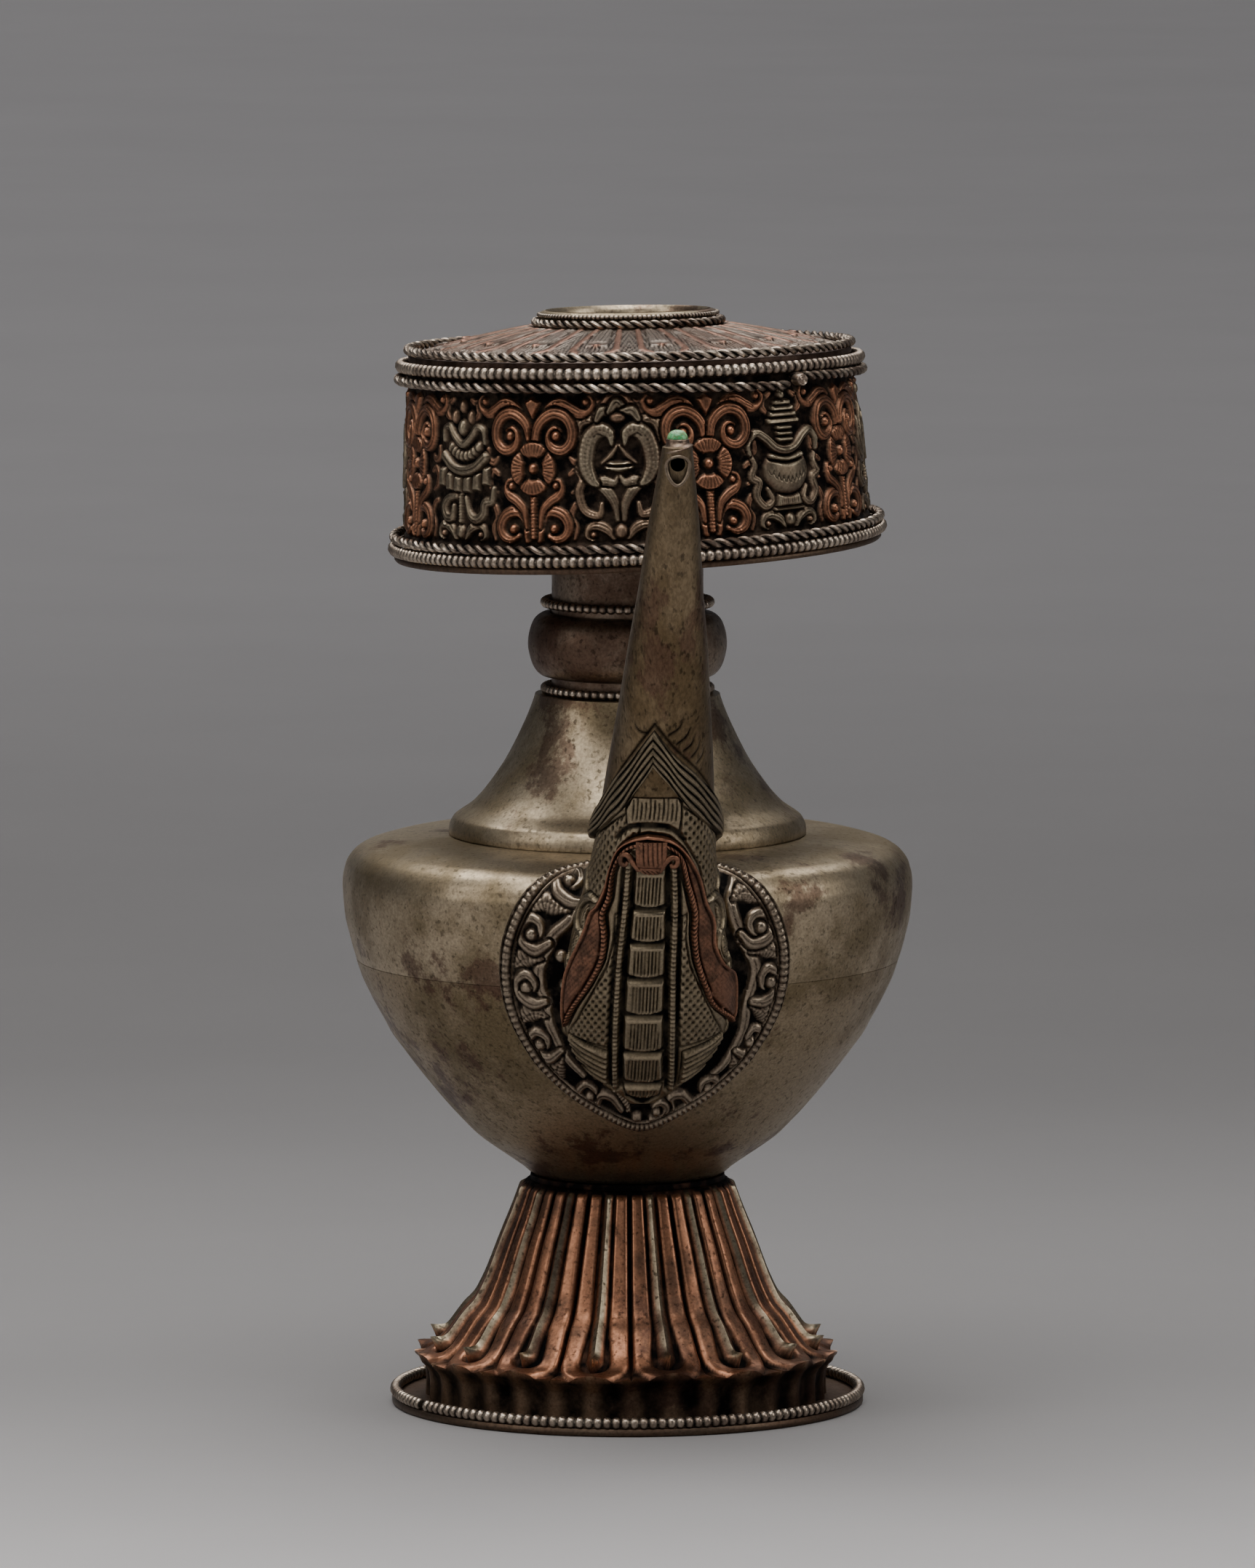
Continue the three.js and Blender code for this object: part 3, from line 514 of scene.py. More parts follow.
def metal(name, colour, film=BROWN_FILM, two_tone=None, bump=0.35, upright=1.0, **values):
    """An aged metal; two_tone is the second metal, and a small upright draws its marks out in height."""
    made = bpy.data.materials.new(name)
    made.use_nodes = True
    wire = Wiring(made.node_tree)
    shader = made.node_tree.nodes["Principled BSDF"]
    place = wire.node("ShaderNodeTexCoord").outputs["Object"]
    place = wire.node("ShaderNodeMapping", Vector=place, Scale=(1.0, 1.0, upright)).outputs[0]
    aged = wire.node("ShaderNodeGroup", {"node_tree": ageing})
    worked = wire.node("ShaderNodeGroup", {"node_tree": handwork})
    if two_tone:
        tone = wire.node("ShaderNodeAttribute", {"attribute_name": "tone"}).outputs["Fac"]
        colour = wire.mix(tone, colour, two_tone)
    given = {"Vector": place, "Metal": colour, "Film": film, "Soot And Painted Shade": SOOT_AND_PAINTED_SHADE}
    for label in ("Recess", "Crest"):
        given[label] = wire.node("ShaderNodeAttribute", {"attribute_name": label.lower()}).outputs["Fac"]
    given.update({label.replace("_", " "): value for label, value in values.items()})
    for group in (aged, worked):
        for socket in group.inputs:
            if socket.name in given:
                wire.feed(socket, given[socket.name])
    dents = wire.node("ShaderNodeBump", Strength=bump, Distance=0.0004, Height=worked.outputs["Height"])
    shader.inputs["Metallic"].default_value = 1.0
    made.node_tree.links.new(aged.outputs["Color"], shader.inputs["Base Color"])
    made.node_tree.links.new(aged.outputs["Roughness"], shader.inputs["Roughness"])
    made.node_tree.links.new(dents.outputs["Normal"], shader.inputs["Normal"])
    return made


silvered_sheet = metal(
    "silvered sheet", SILVER, OLIVE_FILM, Film_Amount=0.8, Patch_Scale=26.0, Speck_Amount=0.4,
    Stain_Amount=0.7
)
# Painted shade: the bowl is the shoulder's silvered sheet given a darker colour and more film, so that it
# shows less of the bright floor it reflects.
bowl_silver_painted_shade = metal(
    "bowl silver with painted shade", (0.36, 0.285, 0.19, 1.0), OLIVE_FILM, Film_Amount=0.9, Film_Base=0.25,
    Patch_Scale=26.0, Speck_Amount=0.4, Stain_Amount=0.8
)
neck_silver = metal(
    "neck silver", (0.28, 0.22, 0.165, 1.0), Film_Amount=0.9, Patch_Scale=34.0, Speck_Amount=0.4,
    Stain_Amount=0.5
)
chased_silver = metal(
    "chased silver", (0.3, 0.245, 0.165, 1.0), OLIVE_FILM, bump=0.2, Film_Amount=0.7, Film_Base=0.5,
    Patch_Scale=60.0
)
spout_silver = metal(
    "spout silver",
    (0.23, 0.172, 0.105, 1.0),
    (0.112, 0.077, 0.04, 1.0),
    upright=0.55,
    Film_Amount=0.88,
    Patch_Scale=44.0,
    Speck_Amount=0.5,
    Stain_Amount=0.6,
    Grain_Amount=0.35,
)
plate_silver = metal(
    "scrolled silver", (0.3, 0.245, 0.18, 1.0), bump=0.2, Film_Amount=0.8, Film_Base=0.45,
    Patch_Scale=60.0, Stain_Amount=0.3
)
bead_silver = metal(
    "beaded silver", BRIGHT_SILVER, bump=0.2, Film_Amount=0.65, Patch_Scale=70.0, Stain_Amount=0.3,
    Roughness=0.28
)
twist_silver = metal(
    "twisted silver", BRIGHT_SILVER, bump=0.2, Film_Amount=0.8, Patch_Scale=70.0, Stain_Amount=0.3,
    Roughness=0.28
)
lotus_copper = metal(
    "lotus copper", COPPER, BROWN_FILM, DULL_SILVER, Film_Amount=0.9, Film_Base=0.3, Patch_Scale=45.0,
    Stain_Amount=0.6, Speck_Amount=0.5
)
# Painted shade: the crown's copper and its silver are darker than the other metals, to hold back the grazing
# light from above and behind.
crown_copper_painted_shade = metal(
    "crown copper with painted shade", (0.28, 0.142, 0.095, 1.0), BROWN_FILM, (0.2, 0.17, 0.14, 1.0), Film_Amount=0.85,
    Film_Base=0.35, Patch_Scale=60.0, Stain_Amount=0.4
)
band_copper = metal(
    "band copper", COPPER, BROWN_FILM, DULL_SILVER, bump=0.2, Film_Amount=0.9, Film_Base=0.65,
    Patch_Scale=80.0, Stain_Amount=0.3
)
lip_copper = metal(
    "lip copper", (0.37, 0.18, 0.11, 1.0), BROWN_FILM, bump=0.2, Film_Amount=0.9, Film_Base=0.5,
    Patch_Scale=90.0, Stain_Amount=0.4
)
dark_base = metal("dark base", (0.12, 0.085, 0.06, 1.0), BROWN_FILM, Film_Amount=0.6, Roughness=0.42)
print("metals:", len(bpy.data.materials))

# %% [markdown]
# ## Turquoise and the studio floor
# The stone is green turquoise, cut as a small dome and rubbed by use. Thin dark veins run through it, which a
# Voronoi texture gives as the distance to its cell edges. The floor is a matt grey sheet, a little mottled,
# with painted light and shade in its colour: it is painted darker right behind the vase than before it and
# far off, and a little darker on the right.

# %% Stone and floor
turquoise = bpy.data.materials.new("green turquoise")
turquoise.use_nodes = True
wire = Wiring(turquoise.node_tree)
place = wire.node("ShaderNodeTexCoord").outputs["Object"]
veins = wire.node(
    "ShaderNodeTexVoronoi", {"feature": "DISTANCE_TO_EDGE"}, Vector=place, Scale=900.0
).outputs["Distance"]
clouds = wire.noise(place, 700.0, 3.0, 0.6)
green = wire.mix(wire.span(clouds, 0.35, 0.65), (0.06, 0.3, 0.11, 1.0), (0.22, 0.5, 0.24, 1.0))
green = wire.mix(wire.span(veins, 0.0, 0.09, 0.65, 0.0), green, (0.12, 0.09, 0.02, 1.0))
shader = turquoise.node_tree.nodes["Principled BSDF"]
turquoise.node_tree.links.new(green, shader.inputs["Base Color"])
turquoise.node_tree.links.new(wire.span(clouds, 0.2, 0.8, 0.22, 0.42), shader.inputs["Roughness"])

floor_paper = bpy.data.materials.new("grey floor")
floor_paper.use_nodes = True
wire = Wiring(floor_paper.node_tree)
place = wire.node("ShaderNodeTexCoord").outputs["Object"]
mottle = wire.mix(wire.noise(place, 9.0, 5.0, 0.6), (0.375, 0.366, 0.37, 1.0), (0.425, 0.415, 0.418, 1.0))
spot = wire.node("ShaderNodeSeparateXYZ", Vector=place)
# Painted light and shade: the floor's colour is scaled lighter in front and far off, darker right behind the
# vase, and a little darker on the right.
painted_light_falloff = 1.0
for axis, low, high, start, end in (
    ("Y", -0.25, 0.05, 1.12, 0.53),
    ("Y", 0.1, 0.5, 0.95, 0.61),
    ("Y", 0.5, 2.4, 1.0, 1.7),
    ("X", -0.3, 0.3, 1.05, 0.92),
):
    painted_light_falloff = wire.math("MULTIPLY", painted_light_falloff, wire.span(spot.outputs[axis], low, high, start, end))
mottle = wire.scaled(mottle, painted_light_falloff)
shader = floor_paper.node_tree.nodes["Principled BSDF"]
floor_paper.node_tree.links.new(mottle, shader.inputs["Base Color"])
shader.inputs["Roughness"].default_value = 0.8
shader.inputs["Specular IOR Level"].default_value = 0.25

FLOOR_REACH = 14.0
corners = [(x * FLOOR_REACH, y * FLOOR_REACH, 0.0) for x, y in ((-1, -1), (1, -1), (1, 1), (-1, 1))]
floor_mesh = bpy.data.meshes.new("studio_floor")
floor_mesh.from_pydata(corners, [], [(0, 1, 2, 3)])
floor_mesh.materials.append(floor_paper)
studio_floor = bpy.data.objects.new("studio_floor", floor_mesh)
bpy.context.scene.collection.objects.link(studio_floor)
print("floor:", 2 * FLOOR_REACH, "m square")

# %% [markdown]
# ## Beaded wire
# Beaded wire is round wire rolled between grooved plates, so it is a row of barrels on a thin core. A row
# along a path is work for Geometry Nodes: an arc becomes evenly spaced points, a barrel with a few dozen
# faces is instanced on each, and the core follows the same arc. How far a point lies from the middle of the
# wire gives its recess, so the dirt gathers between the barrels by itself.

# %% A helper for geometry trees
GEOMETRY, WHOLE_NUMBER = "NodeSocketGeometry", "NodeSocketInt"


def geometry_tree(name, inputs):
    """An empty geometry tree that takes a geometry, named inputs and a material."""
    inputs = [("Geometry", GEOMETRY, None), *inputs, ("Material", "NodeSocketMaterial", None)]
    return node_group("GeometryNodeTree", name, inputs, [("Geometry", GEOMETRY)])


def grown(tree, start_mesh=None, **values):
    """Runs a geometry tree with the given inputs and returns the result as a plain mesh."""
    seed_mesh = start_mesh or bpy.data.meshes.new("seed")
    holder = bpy.data.objects.new("holder", seed_mesh)
    bpy.context.scene.collection.objects.link(holder)
    grower = holder.modifiers.new("grow", "NODES")
    grower.node_group = tree
    sockets = {item.name: item.identifier for item in tree.interface.items_tree if item.in_out == "INPUT"}
    for label, value in values.items():
        grower[sockets[label.replace("_", " ")]] = value
    bpy.context.view_layer.update()
    graph = bpy.context.evaluated_depsgraph_get()
    mesh = bpy.data.meshes.new_from_object(holder.evaluated_get(graph), depsgraph=graph)
    holder.modifiers.clear()
    bpy.data.objects.remove(holder)
    mesh.set_sharp_from_angle(angle=math.radians(50.0))
    return mesh


class Growing(Wiring):
    """Wiring for geometry trees, with the few node patterns that the trees share."""

    def circle_point(self, radius, angle, height=0.0):
        """A point on a ring: the angle is counted from the front, towards the right."""
        x = self.math("MULTIPLY", radius, self.math("SINE", angle))
        y = self.math("MULTIPLY", self.math("MULTIPLY", radius, self.math("COSINE", angle)), -1.0)
        return self.node("ShaderNodeCombineXYZ", X=x, Y=y, Z=height).outputs[0]

    def ring_recess(self, geometry, ring_radius, wire_radius, core_share):
        """Stores how deep each point lies: 0 at the wire's outside, 1 at the given share of its radius."""
        place = self.node("GeometryNodeInputPosition").outputs[0]
        x, y, z = self.node("ShaderNodeSeparateXYZ", Vector=place).outputs
        flat = self.math("ADD", self.math("MULTIPLY", x, x), self.math("MULTIPLY", y, y))
        out = self.math("SUBTRACT", self.math("SQRT", flat), ring_radius)
        depth = self.math("ADD", self.math("MULTIPLY", out, out), self.math("MULTIPLY", z, z))
        share = self.math("DIVIDE", self.math("SQRT", depth), wire_radius)
        recess = self.tree.nodes.new("ShaderNodeMapRange")
        for index, amount in enumerate((share, core_share, 0.98, 1.0, 0.0)):
            self.feed(recess.inputs[index], amount)
        stored = self.node("GeometryNodeStoreNamedAttribute", {"data_type": "FLOAT", "domain": "POINT"})
        self.feed(stored.inputs["Geometry"], geometry)
        stored.inputs["Name"].default_value = "recess"
        self.feed(stored.inputs["Value"], recess.outputs[0])
        return stored.outputs[0]

    def arc(self, given, count):
        """A line of points to bend, the share of the way along it, and the angle round the ring there."""
        line = self.node("GeometryNodeCurvePrimitiveLine")
        path = self.node("GeometryNodeResampleCurve", Curve=line.outputs[0], Count=count)
        way = self.node("GeometryNodeSplineParameter").outputs["Factor"]
        turned = self.math("MULTIPLY", way, given.outputs["Sweep Angle"])
        return path.outputs[0], way, self.math("ADD", given.outputs["Start Angle"], turned)

    def rod(self, path, place, radius):
        """A seven-sided rod along a path, after its points are moved to their place."""
        bent = self.node("GeometryNodeSetPosition", Geometry=path, Position=place).outputs[0]
        section = self.node("GeometryNodeCurvePrimitiveCircle", Resolution=7, Radius=radius).outputs[0]
        return self.node(
            "GeometryNodeCurveToMesh", Curve=bent, Profile_Curve=section, Fill_Caps=True
        ).outputs[0]

    def close(self, geometry, given, result):
        """Makes instances real, gives the geometry its material, and ends the tree."""
        real = self.node("GeometryNodeRealizeInstances", Geometry=geometry).outputs[0]
        dressed = self.node("GeometryNodeSetMaterial", Geometry=real, Material=given.outputs["Material"])
        self.tree.links.new(dressed.outputs[0], result.inputs[0])


RING_INPUTS = [
    ("Ring Radius", FLOAT, 0.044),
    ("Wire Radius", FLOAT, 0.001),
    ("Start Angle", FLOAT, 0.0),
    ("Sweep Angle", FLOAT, 2.0 * math.pi),
]


# %% The beaded wire tree
BARREL_TAPER = 0.26
CORE_SHARE = 0.7


def build_beaded_wire():
    inputs = [*RING_INPUTS, ("Beads", WHOLE_NUMBER, 160), ("Bead Length", FLOAT, 0.0009)]
    tree, given, result = geometry_tree("beaded_wire", inputs)
    grow = Growing(tree)
    count, radius, thick = given.outputs["Beads"], given.outputs["Ring Radius"], given.outputs["Wire Radius"]
    index = grow.node("GeometryNodeInputIndex").outputs[0]
    share = grow.math("DIVIDE", grow.math("ADD", index, 0.5), count)
    angle = grow.math(
        "ADD", given.outputs["Start Angle"], grow.math("MULTIPLY", share, given.outputs["Sweep Angle"])
    )
    points = grow.node("GeometryNodePoints", Count=count, Position=grow.circle_point(radius, angle))
    turn = grow.node("ShaderNodeCombineXYZ", Z=angle)
    cylinder = grow.node("GeometryNodeMeshCylinder", Vertices=9, Side_Segments=4, Radius=1.0, Depth=2.0)
    spot = grow.node("GeometryNodeInputPosition").outputs[0]
    end = grow.math(
        "POWER", grow.math("ABSOLUTE", grow.node("ShaderNodeSeparateXYZ", Vector=spot).outputs["Z"]),
        3.0
    )
    waist = grow.math("SUBTRACT", 1.0, grow.math("MULTIPLY", end, BARREL_TAPER))
    narrow = grow.node("ShaderNodeCombineXYZ", X=waist, Y=waist, Z=1.0)
    barrel = grow.node("ShaderNodeVectorMath", {"operation": "MULTIPLY"})
    grow.feed(barrel.inputs[0], spot)
    grow.feed(barrel.inputs[1], narrow.outputs[0])
    bead = grow.node("GeometryNodeSetPosition", Geometry=cylinder.outputs[0], Position=barrel.outputs[0])
    along = grow.node(
        "GeometryNodeTransform", Geometry=bead.outputs[0], Rotation=(0.0, math.radians(90.0), 0.0)
    )
    size = grow.node("ShaderNodeCombineXYZ", X=given.outputs["Bead Length"], Y=thick, Z=thick)
    beads = grow.node(
        "GeometryNodeInstanceOnPoints",
        Points=points.outputs[0],
        Instance=along.outputs[0],
        Rotation=turn.outputs[0],
        Scale=size.outputs[0],
    )
    path, _, core_angle = grow.arc(given, grow.math("MULTIPLY", count, 2.0))
    core = grow.rod(path, grow.circle_point(radius, core_angle), grow.math("MULTIPLY", thick, CORE_SHARE))
    real_beads = grow.node("GeometryNodeRealizeInstances", Geometry=beads.outputs[0])
    joined = tree.nodes.new("GeometryNodeJoinGeometry")
    tree.links.new(core, joined.inputs[0])
    tree.links.new(real_beads.outputs[0], joined.inputs[0])
    marked = grow.ring_recess(joined.outputs[0], radius, thick, 0.66)
    grow.close(grow.node("GeometryNodeSetShadeSmooth", Geometry=marked).outputs[0], given, result)
    return tree


beaded_tree = build_beaded_wire()
print("beaded wire tree:", len(beaded_tree.nodes), "nodes")

# %% [markdown]
# ## Twisted wire
# Two round wires twisted together make the rope that edges the band. Each strand is a helix wound round the
# ring: a Set Position node places its points by their share of the way round. The second strand starts half
# a turn later.

# %% The twisted wire tree
STRAND_SHARE = 0.54


def build_twisted_wire():
    inputs = [*RING_INPUTS, ("Turns", WHOLE_NUMBER, 60), ("Steps", WHOLE_NUMBER, 900)]
    tree, given, result = geometry_tree("twisted_wire", inputs)
    grow = Growing(tree)
    radius, thick = given.outputs["Ring Radius"], given.outputs["Wire Radius"]
    strand = grow.math("MULTIPLY", thick, STRAND_SHARE)
    offset = grow.math("SUBTRACT", thick, strand)
    joined = tree.nodes.new("GeometryNodeJoinGeometry")
    for phase in (0.0, math.pi):
        path, way, angle = grow.arc(given, given.outputs["Steps"])
        wind = grow.math("MULTIPLY", grow.math("MULTIPLY", way, given.outputs["Turns"]), 2.0 * math.pi)
        wind = grow.math("ADD", wind, phase)
        out = grow.math("ADD", radius, grow.math("MULTIPLY", offset, grow.math("COSINE", wind)))
        up = grow.math("MULTIPLY", offset, grow.math("SINE", grow.math("MULTIPLY", wind, -1.0)))
        tube = grow.rod(path, grow.circle_point(out, angle, up), strand)
        tree.links.new(tube, joined.inputs[0])
    marked = grow.ring_recess(joined.outputs[0], radius, thick, 0.6)
    grow.close(grow.node("GeometryNodeSetShadeSmooth", Geometry=marked).outputs[0], given, result)
    return tree


twisted_tree = build_twisted_wire()
print("twisted wire tree:", len(twisted_tree.nodes), "nodes")

# %% [markdown]
# ## The wires of the vase
# The base has a heavy beaded wire whose two ends don't quite meet at the front left. The neck has two
# beaded wires, the drum two beaded and three twisted ones, and the mouth one of each. The wires of the drum
# and of the mouth are bent with the head.

# %% Beaded wires
def rising(height, bend=None):
    """A move up by a height in mm, with a bend after it where there is one."""

    def move(points):
        points = points + np.array([0.0, 0.0, height])
        return bend(points) if bend else points

    return move


def wire_ring(tree, material, node, ring, height, wire, bend, start, gap, **values):
    """A wire in place of a packed ring; sizes in mm, and where its gap lies and how wide it is in degrees."""
    mesh = grown(
        tree,
        Ring_Radius=ring * MM,
        Wire_Radius=wire * MM,
        Start_Angle=math.radians(start + gap / 2),
        Sweep_Angle=math.radians(360.0 - gap),
        Material=material,
        **values,
    )
    bend_mesh(mesh, rising(height, bend))
    stand_in(f"{node}_fine", mesh, material, node)


BEAD_SHARE = 0.4


def beaded_ring(node, ring, height, wire, pitch, bend=None, start=180.0, gap=0.0):
    """A beaded wire; pitch is the way from one bead to the next, in mm."""
    values = {
        "Beads": round(ring * math.radians(360.0 - gap) / pitch), "Bead_Length": pitch * BEAD_SHARE * MM
    }
    wire_ring(beaded_tree, bead_silver, node, ring, height, wire, bend, start, gap, **values)


beaded_ring("base_beaded_wire", 42.35, 2.45, 1.08, 1.65, None, -60.8, 2.0)
beaded_ring("neck_lower_beaded_ring", 15.0, 131.3, 0.9, 1.5)
beaded_ring("neck_upper_beaded_ring", 15.0, 147.0, 0.9, 1.5)
beaded_ring("drum_bottom_beaded_wire", 44.35, 158.95, 1.05, 1.55, askew)
beaded_ring("drum_top_beaded_wire", 41.6, 191.0, 1.12, 1.7, askew)
beaded_ring("mouth_beaded_wire", 16.2, 199.6, 0.42, 0.85, askew)


# %% Twisted wires
WIRE_JOINT = 42.7


def dipped(points):
    """The lower twisted wire sags towards its joint from the left and starts high on its right."""
    turn = np.degrees(np.arctan2(points[:, 0], -points[:, 1]))
    before = (WIRE_JOINT - turn) % 360.0
    after = (turn - WIRE_JOINT) % 360.0
    sag = -0.85 * np.exp(-((before / 30.0) ** 2)) + 0.55 * np.exp(-((after / 24.0) ** 2))
    points = points.copy()
    points[:, 2] += sag
    return points


def twisted_ring(node, ring, height, wire, pitch, bend=None, start=180.0, gap=0.0):
    """A twisted wire; pitch is the way from one strand to the next, in mm."""
    turns = round(ring * math.radians(360.0 - gap) / (2.0 * pitch))
    values = {"Turns": turns, "Steps": turns * 15 + 1}
    wire_ring(twisted_tree, twist_silver, node, ring, height, wire, bend, start, gap, **values)


twisted_ring("drum_bottom_twisted_wire", 44.15, 160.95, 0.9, 2.3, askew)
twisted_ring(
    "drum_lower_twisted_wire", 42.13, 188.65, 0.9, 2.3, lambda points: askew(dipped(points)),
    WIRE_JOINT, 1.6
)
twisted_ring("drum_upper_twisted_wire", 40.2, 193.8, 0.88, 2.3, askew)
twisted_ring("mouth_twisted_wire", 16.9, 198.3, 0.8, 1.9, askew)

# %% [markdown]
# ## Turned sheet: bowl, shoulder, cone and neck
# These pieces were raised with a hammer and then turned smooth, so their outlines are clean and their
# rounds are a little uneven. Each is a wall spun from the outline read off the photograph: an outer side, a
# rounded lip, an inner side. The lips leave the fine seam that shows where two sheets meet.

# %% Body outlines
BOWL_SIDE = [
    (18.2, 43.0), (19.9, 44.4), (24.1, 47.3), (27.5, 49.8), (30.2, 52.5), (32.6, 55.1), (34.9, 57.8)
]
BOWL_SIDE += [
    (37.0, 60.4), (39.1, 63.1), (41.1, 65.8), (43.0, 68.4), (44.4, 71.0), (45.9, 73.7), (47.2, 76.3)
]
BOWL_SIDE += [(48.4, 78.9), (49.42, 81.99)]
SHOULDER_SIDE = [
    (49.45, 82.01), (50.1, 84.1), (50.8, 86.8), (51.4, 89.4), (51.7, 92.1), (51.9, 95.3), (51.8, 97.2)
]
SHOULDER_SIDE += [(51.5, 98.4), (51.2, 99.5), (50.6, 100.5), (49.7, 101.5), (48.5, 102.3), (47.0, 102.9)]
SHOULDER_SIDE += [(43.0, 103.9), (38.0, 104.35), (33.5, 104.55)]
CONE_SIDE = [
    (32.2, 106.9), (31.6, 107.9), (30.4, 108.8), (28.5, 110.1), (26.9, 111.7), (25.5, 113.4),
    (23.7, 115.9)
]
CONE_SIDE += [(22.1, 118.4), (20.6, 121.2), (19.3, 123.9), (18.1, 126.6), (17.2, 129.0), (16.8, 130.3)]
BULB_SIDE = [
    (14.1, 133.4), (15.9, 133.9), (17.2, 135.5), (17.9, 137.8), (18.1, 139.6), (17.8, 141.8),
    (17.0, 143.8)
]
BULB_SIDE += [(15.7, 144.9), (14.1, 145.2)]


# The body's outer face from the foot to the cone, in steps of about a third of a millimetre
BODY_SIDE, BODY_LENGTH = evenly(smooth_line(BOWL_SIDE + SHOULDER_SIDE, 8), 260)
print("body outline:", round(BODY_LENGTH[-1], 1), "mm long")

# %% Bowl and shoulder
def turned(node, outline, steps, wobble, seed, material, bend=None):
    """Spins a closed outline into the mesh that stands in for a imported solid."""
    mesh = skin(f"{node}_fine", spun(outline, steps, wobble, seed), closed=True)
    if bend:
        bend_mesh(mesh, bend)
    stand_in(f"{node}_fine", mesh, material, node)


bowl_side = [(0.3, 42.5), (8.0, 42.5), (17.4, 42.5)] + smooth_line(BOWL_SIDE, 4).tolist()
bowl_outline = shell_outline(bowl_side, 1.0, 0.05)
bowl_outline[:, 0] = np.maximum(bowl_outline[:, 0], 0.0)
turned("bowl", bowl_outline, 240, 0.12, 4, bowl_silver_painted_shade)

shoulder_side = smooth_line(SHOULDER_SIDE + [(29.6, 104.55)], 4)
turned("shoulder", shell_outline(shoulder_side, 1.0, 0.05), 240, 0.12, 9, silvered_sheet)

# %% Cone and neck
cone_side = [(32.5, 104.65), (32.55, 105.4), (32.45, 106.3)] + smooth_line(CONE_SIDE, 4).tolist()
cone_side += [(16.2, 130.4), (12.7, 130.4)]
turned("neck_cone", shell_outline(cone_side, 1.0, 0.2), 200, 0.08, 12, silvered_sheet)

tube_side = [(13.8, height) for height in np.linspace(130.45, 159.1, 12)]
turned("neck_tube", shell_outline(tube_side, 1.2, 0.2), 120, 0.03, 2, neck_silver)

turned("neck_bulb", shell_outline(smooth_line(BULB_SIDE, 4), 0.9, 0.1), 140, 0.08, 3, neck_silver)

# %% Base plate and mouth collar
plate_side = [(0.0, 0.0), (42.7, 0.0), (43.05, 0.3), (43.1, 0.9), (42.8, 1.4), (36.0, 1.4), (0.0, 1.4)]
turned("base_plate", plate_side, 200, 0.05, 1, dark_base)

collar_side = [(15.5, height) for height in np.linspace(194.5, 198.9, 7)]
collar_side += [(15.7, 199.4), (16.0, 199.75), (16.1, 200.0)]
turned("mouth_collar", shell_outline(collar_side, 1.2, 0.2), 140, 0.05, 5, silvered_sheet, askew)

# %% [markdown]
# ## Chased relief as a height field
# The lotus petals, the band and the plate are sheet pushed out from behind and chased from the front. A
# height field describes such work well: a number for each place on the flat sheet says how far the metal
# stands out. NumPy computes it, and the mesh follows it. The same field gives the numbers for the ageing: a
# place that lies below the average of its surroundings is a recess, and one that stands above it is a
# crest.

# %% Fields
def eased(value):
    """Zero below 0, one above 1, and a smooth rise between."""
    value = np.clip(value, 0.0, 1.0)
    return value * value * (3.0 - 2.0 * value)


def blurred(field, reach, wrap=False):
    """A Gaussian blur of a field by a number of cells, first along its columns and then along its rows."""
    cells = np.arange(-int(3 * reach) - 1, int(3 * reach) + 2)
    weights = np.exp(-0.5 * (cells / max(reach, 0.3)) ** 2)
    weights /= weights.sum()
    pad = len(cells) // 2
    tall = np.pad(field, ((pad, pad), (0, 0)), mode="edge")
    field = sum(weight * tall[start : start + field.shape[0]] for start, weight in enumerate(weights))
    wide = np.pad(field, ((0, 0), (pad, pad)), mode="wrap" if wrap else "edge")
    return sum(weight * wide[:, start : start + field.shape[1]] for start, weight in enumerate(weights))


def wear(field, step, reach=0.7, depth=0.35, wrap=False):
    """How deep and how exposed each place of a field is, from 0 to 1; fine grooves count as deep too."""
    apart = field - blurred(field, reach / step, wrap)
    groove = np.clip((blurred(field, 0.3 / step, wrap) - field) / (0.2 * depth) - 0.25, 0.0, 1.0)
    return np.maximum(np.clip(-apart / depth, 0.0, 1.0), 0.85 * groove), np.clip(apart / depth, 0.0, 1.0)


def around(radius, turn, height):
    """Points at a radius, a turn in radians from the front towards the right, and a height."""
    radius, turn, height = np.broadcast_arrays(radius, turn, height)
    return np.stack([radius * np.sin(turn), -radius * np.cos(turn), height], axis=-1)


print("a flat field has no wear:", float(wear(np.zeros((9, 9)), 0.2)[0].max()))

# %% [markdown]
# ## Lotus petals
# Sixteen petals make the foot, and sixteen flatter ones the crown. Each has a sharp silvered rib whose end
# is turned up into a point, a dark channel on both sides, and a copper border that runs round the rib's
# end. One petal is computed and Geometry Nodes turns it into a ring: the sector is instanced once for each
# petal, turned about the axis, and merged where the sectors touch.

# %% One petal
def petal(along, across, half, rib, rib_height, rib_end, point_rise, border, border_end, border_height):
    """Height and tone of a petal; along runs to its wide end and across from its rib, both in mm."""
    side = np.abs(across)
    end = 1.0 - eased((along - rib_end) / 0.5)
    rise = rib_height + point_rise * eased((along - rib_end + 5.0) / 5.0) ** 2.5
    rib = rib * (1.0 - 0.78 * eased((along - rib_end + 2.4) / 2.7))
    share = np.clip(1.0 - side / rib, 0.0, 1.0) ** 0.8 * end
    ridge = rise * share
    middle = half - border / 2 - 0.3
    bend = border_end - middle
    turned = np.hypot(side / middle, np.clip(along - bend, 0.0, None) / (border_end - bend))
    apart = np.abs(turned - 1.0) * middle
    hem = border_height * np.sqrt(np.clip(1.0 - (2.0 * apart / border) ** 4, 0.0, 1.0))
    groove = -0.6 * np.exp(-(((half - side) / 0.25) ** 2))
    height = np.maximum(ridge, hem) + groove
    tone = eased((share - 0.38) / 0.3)
    return height, tone


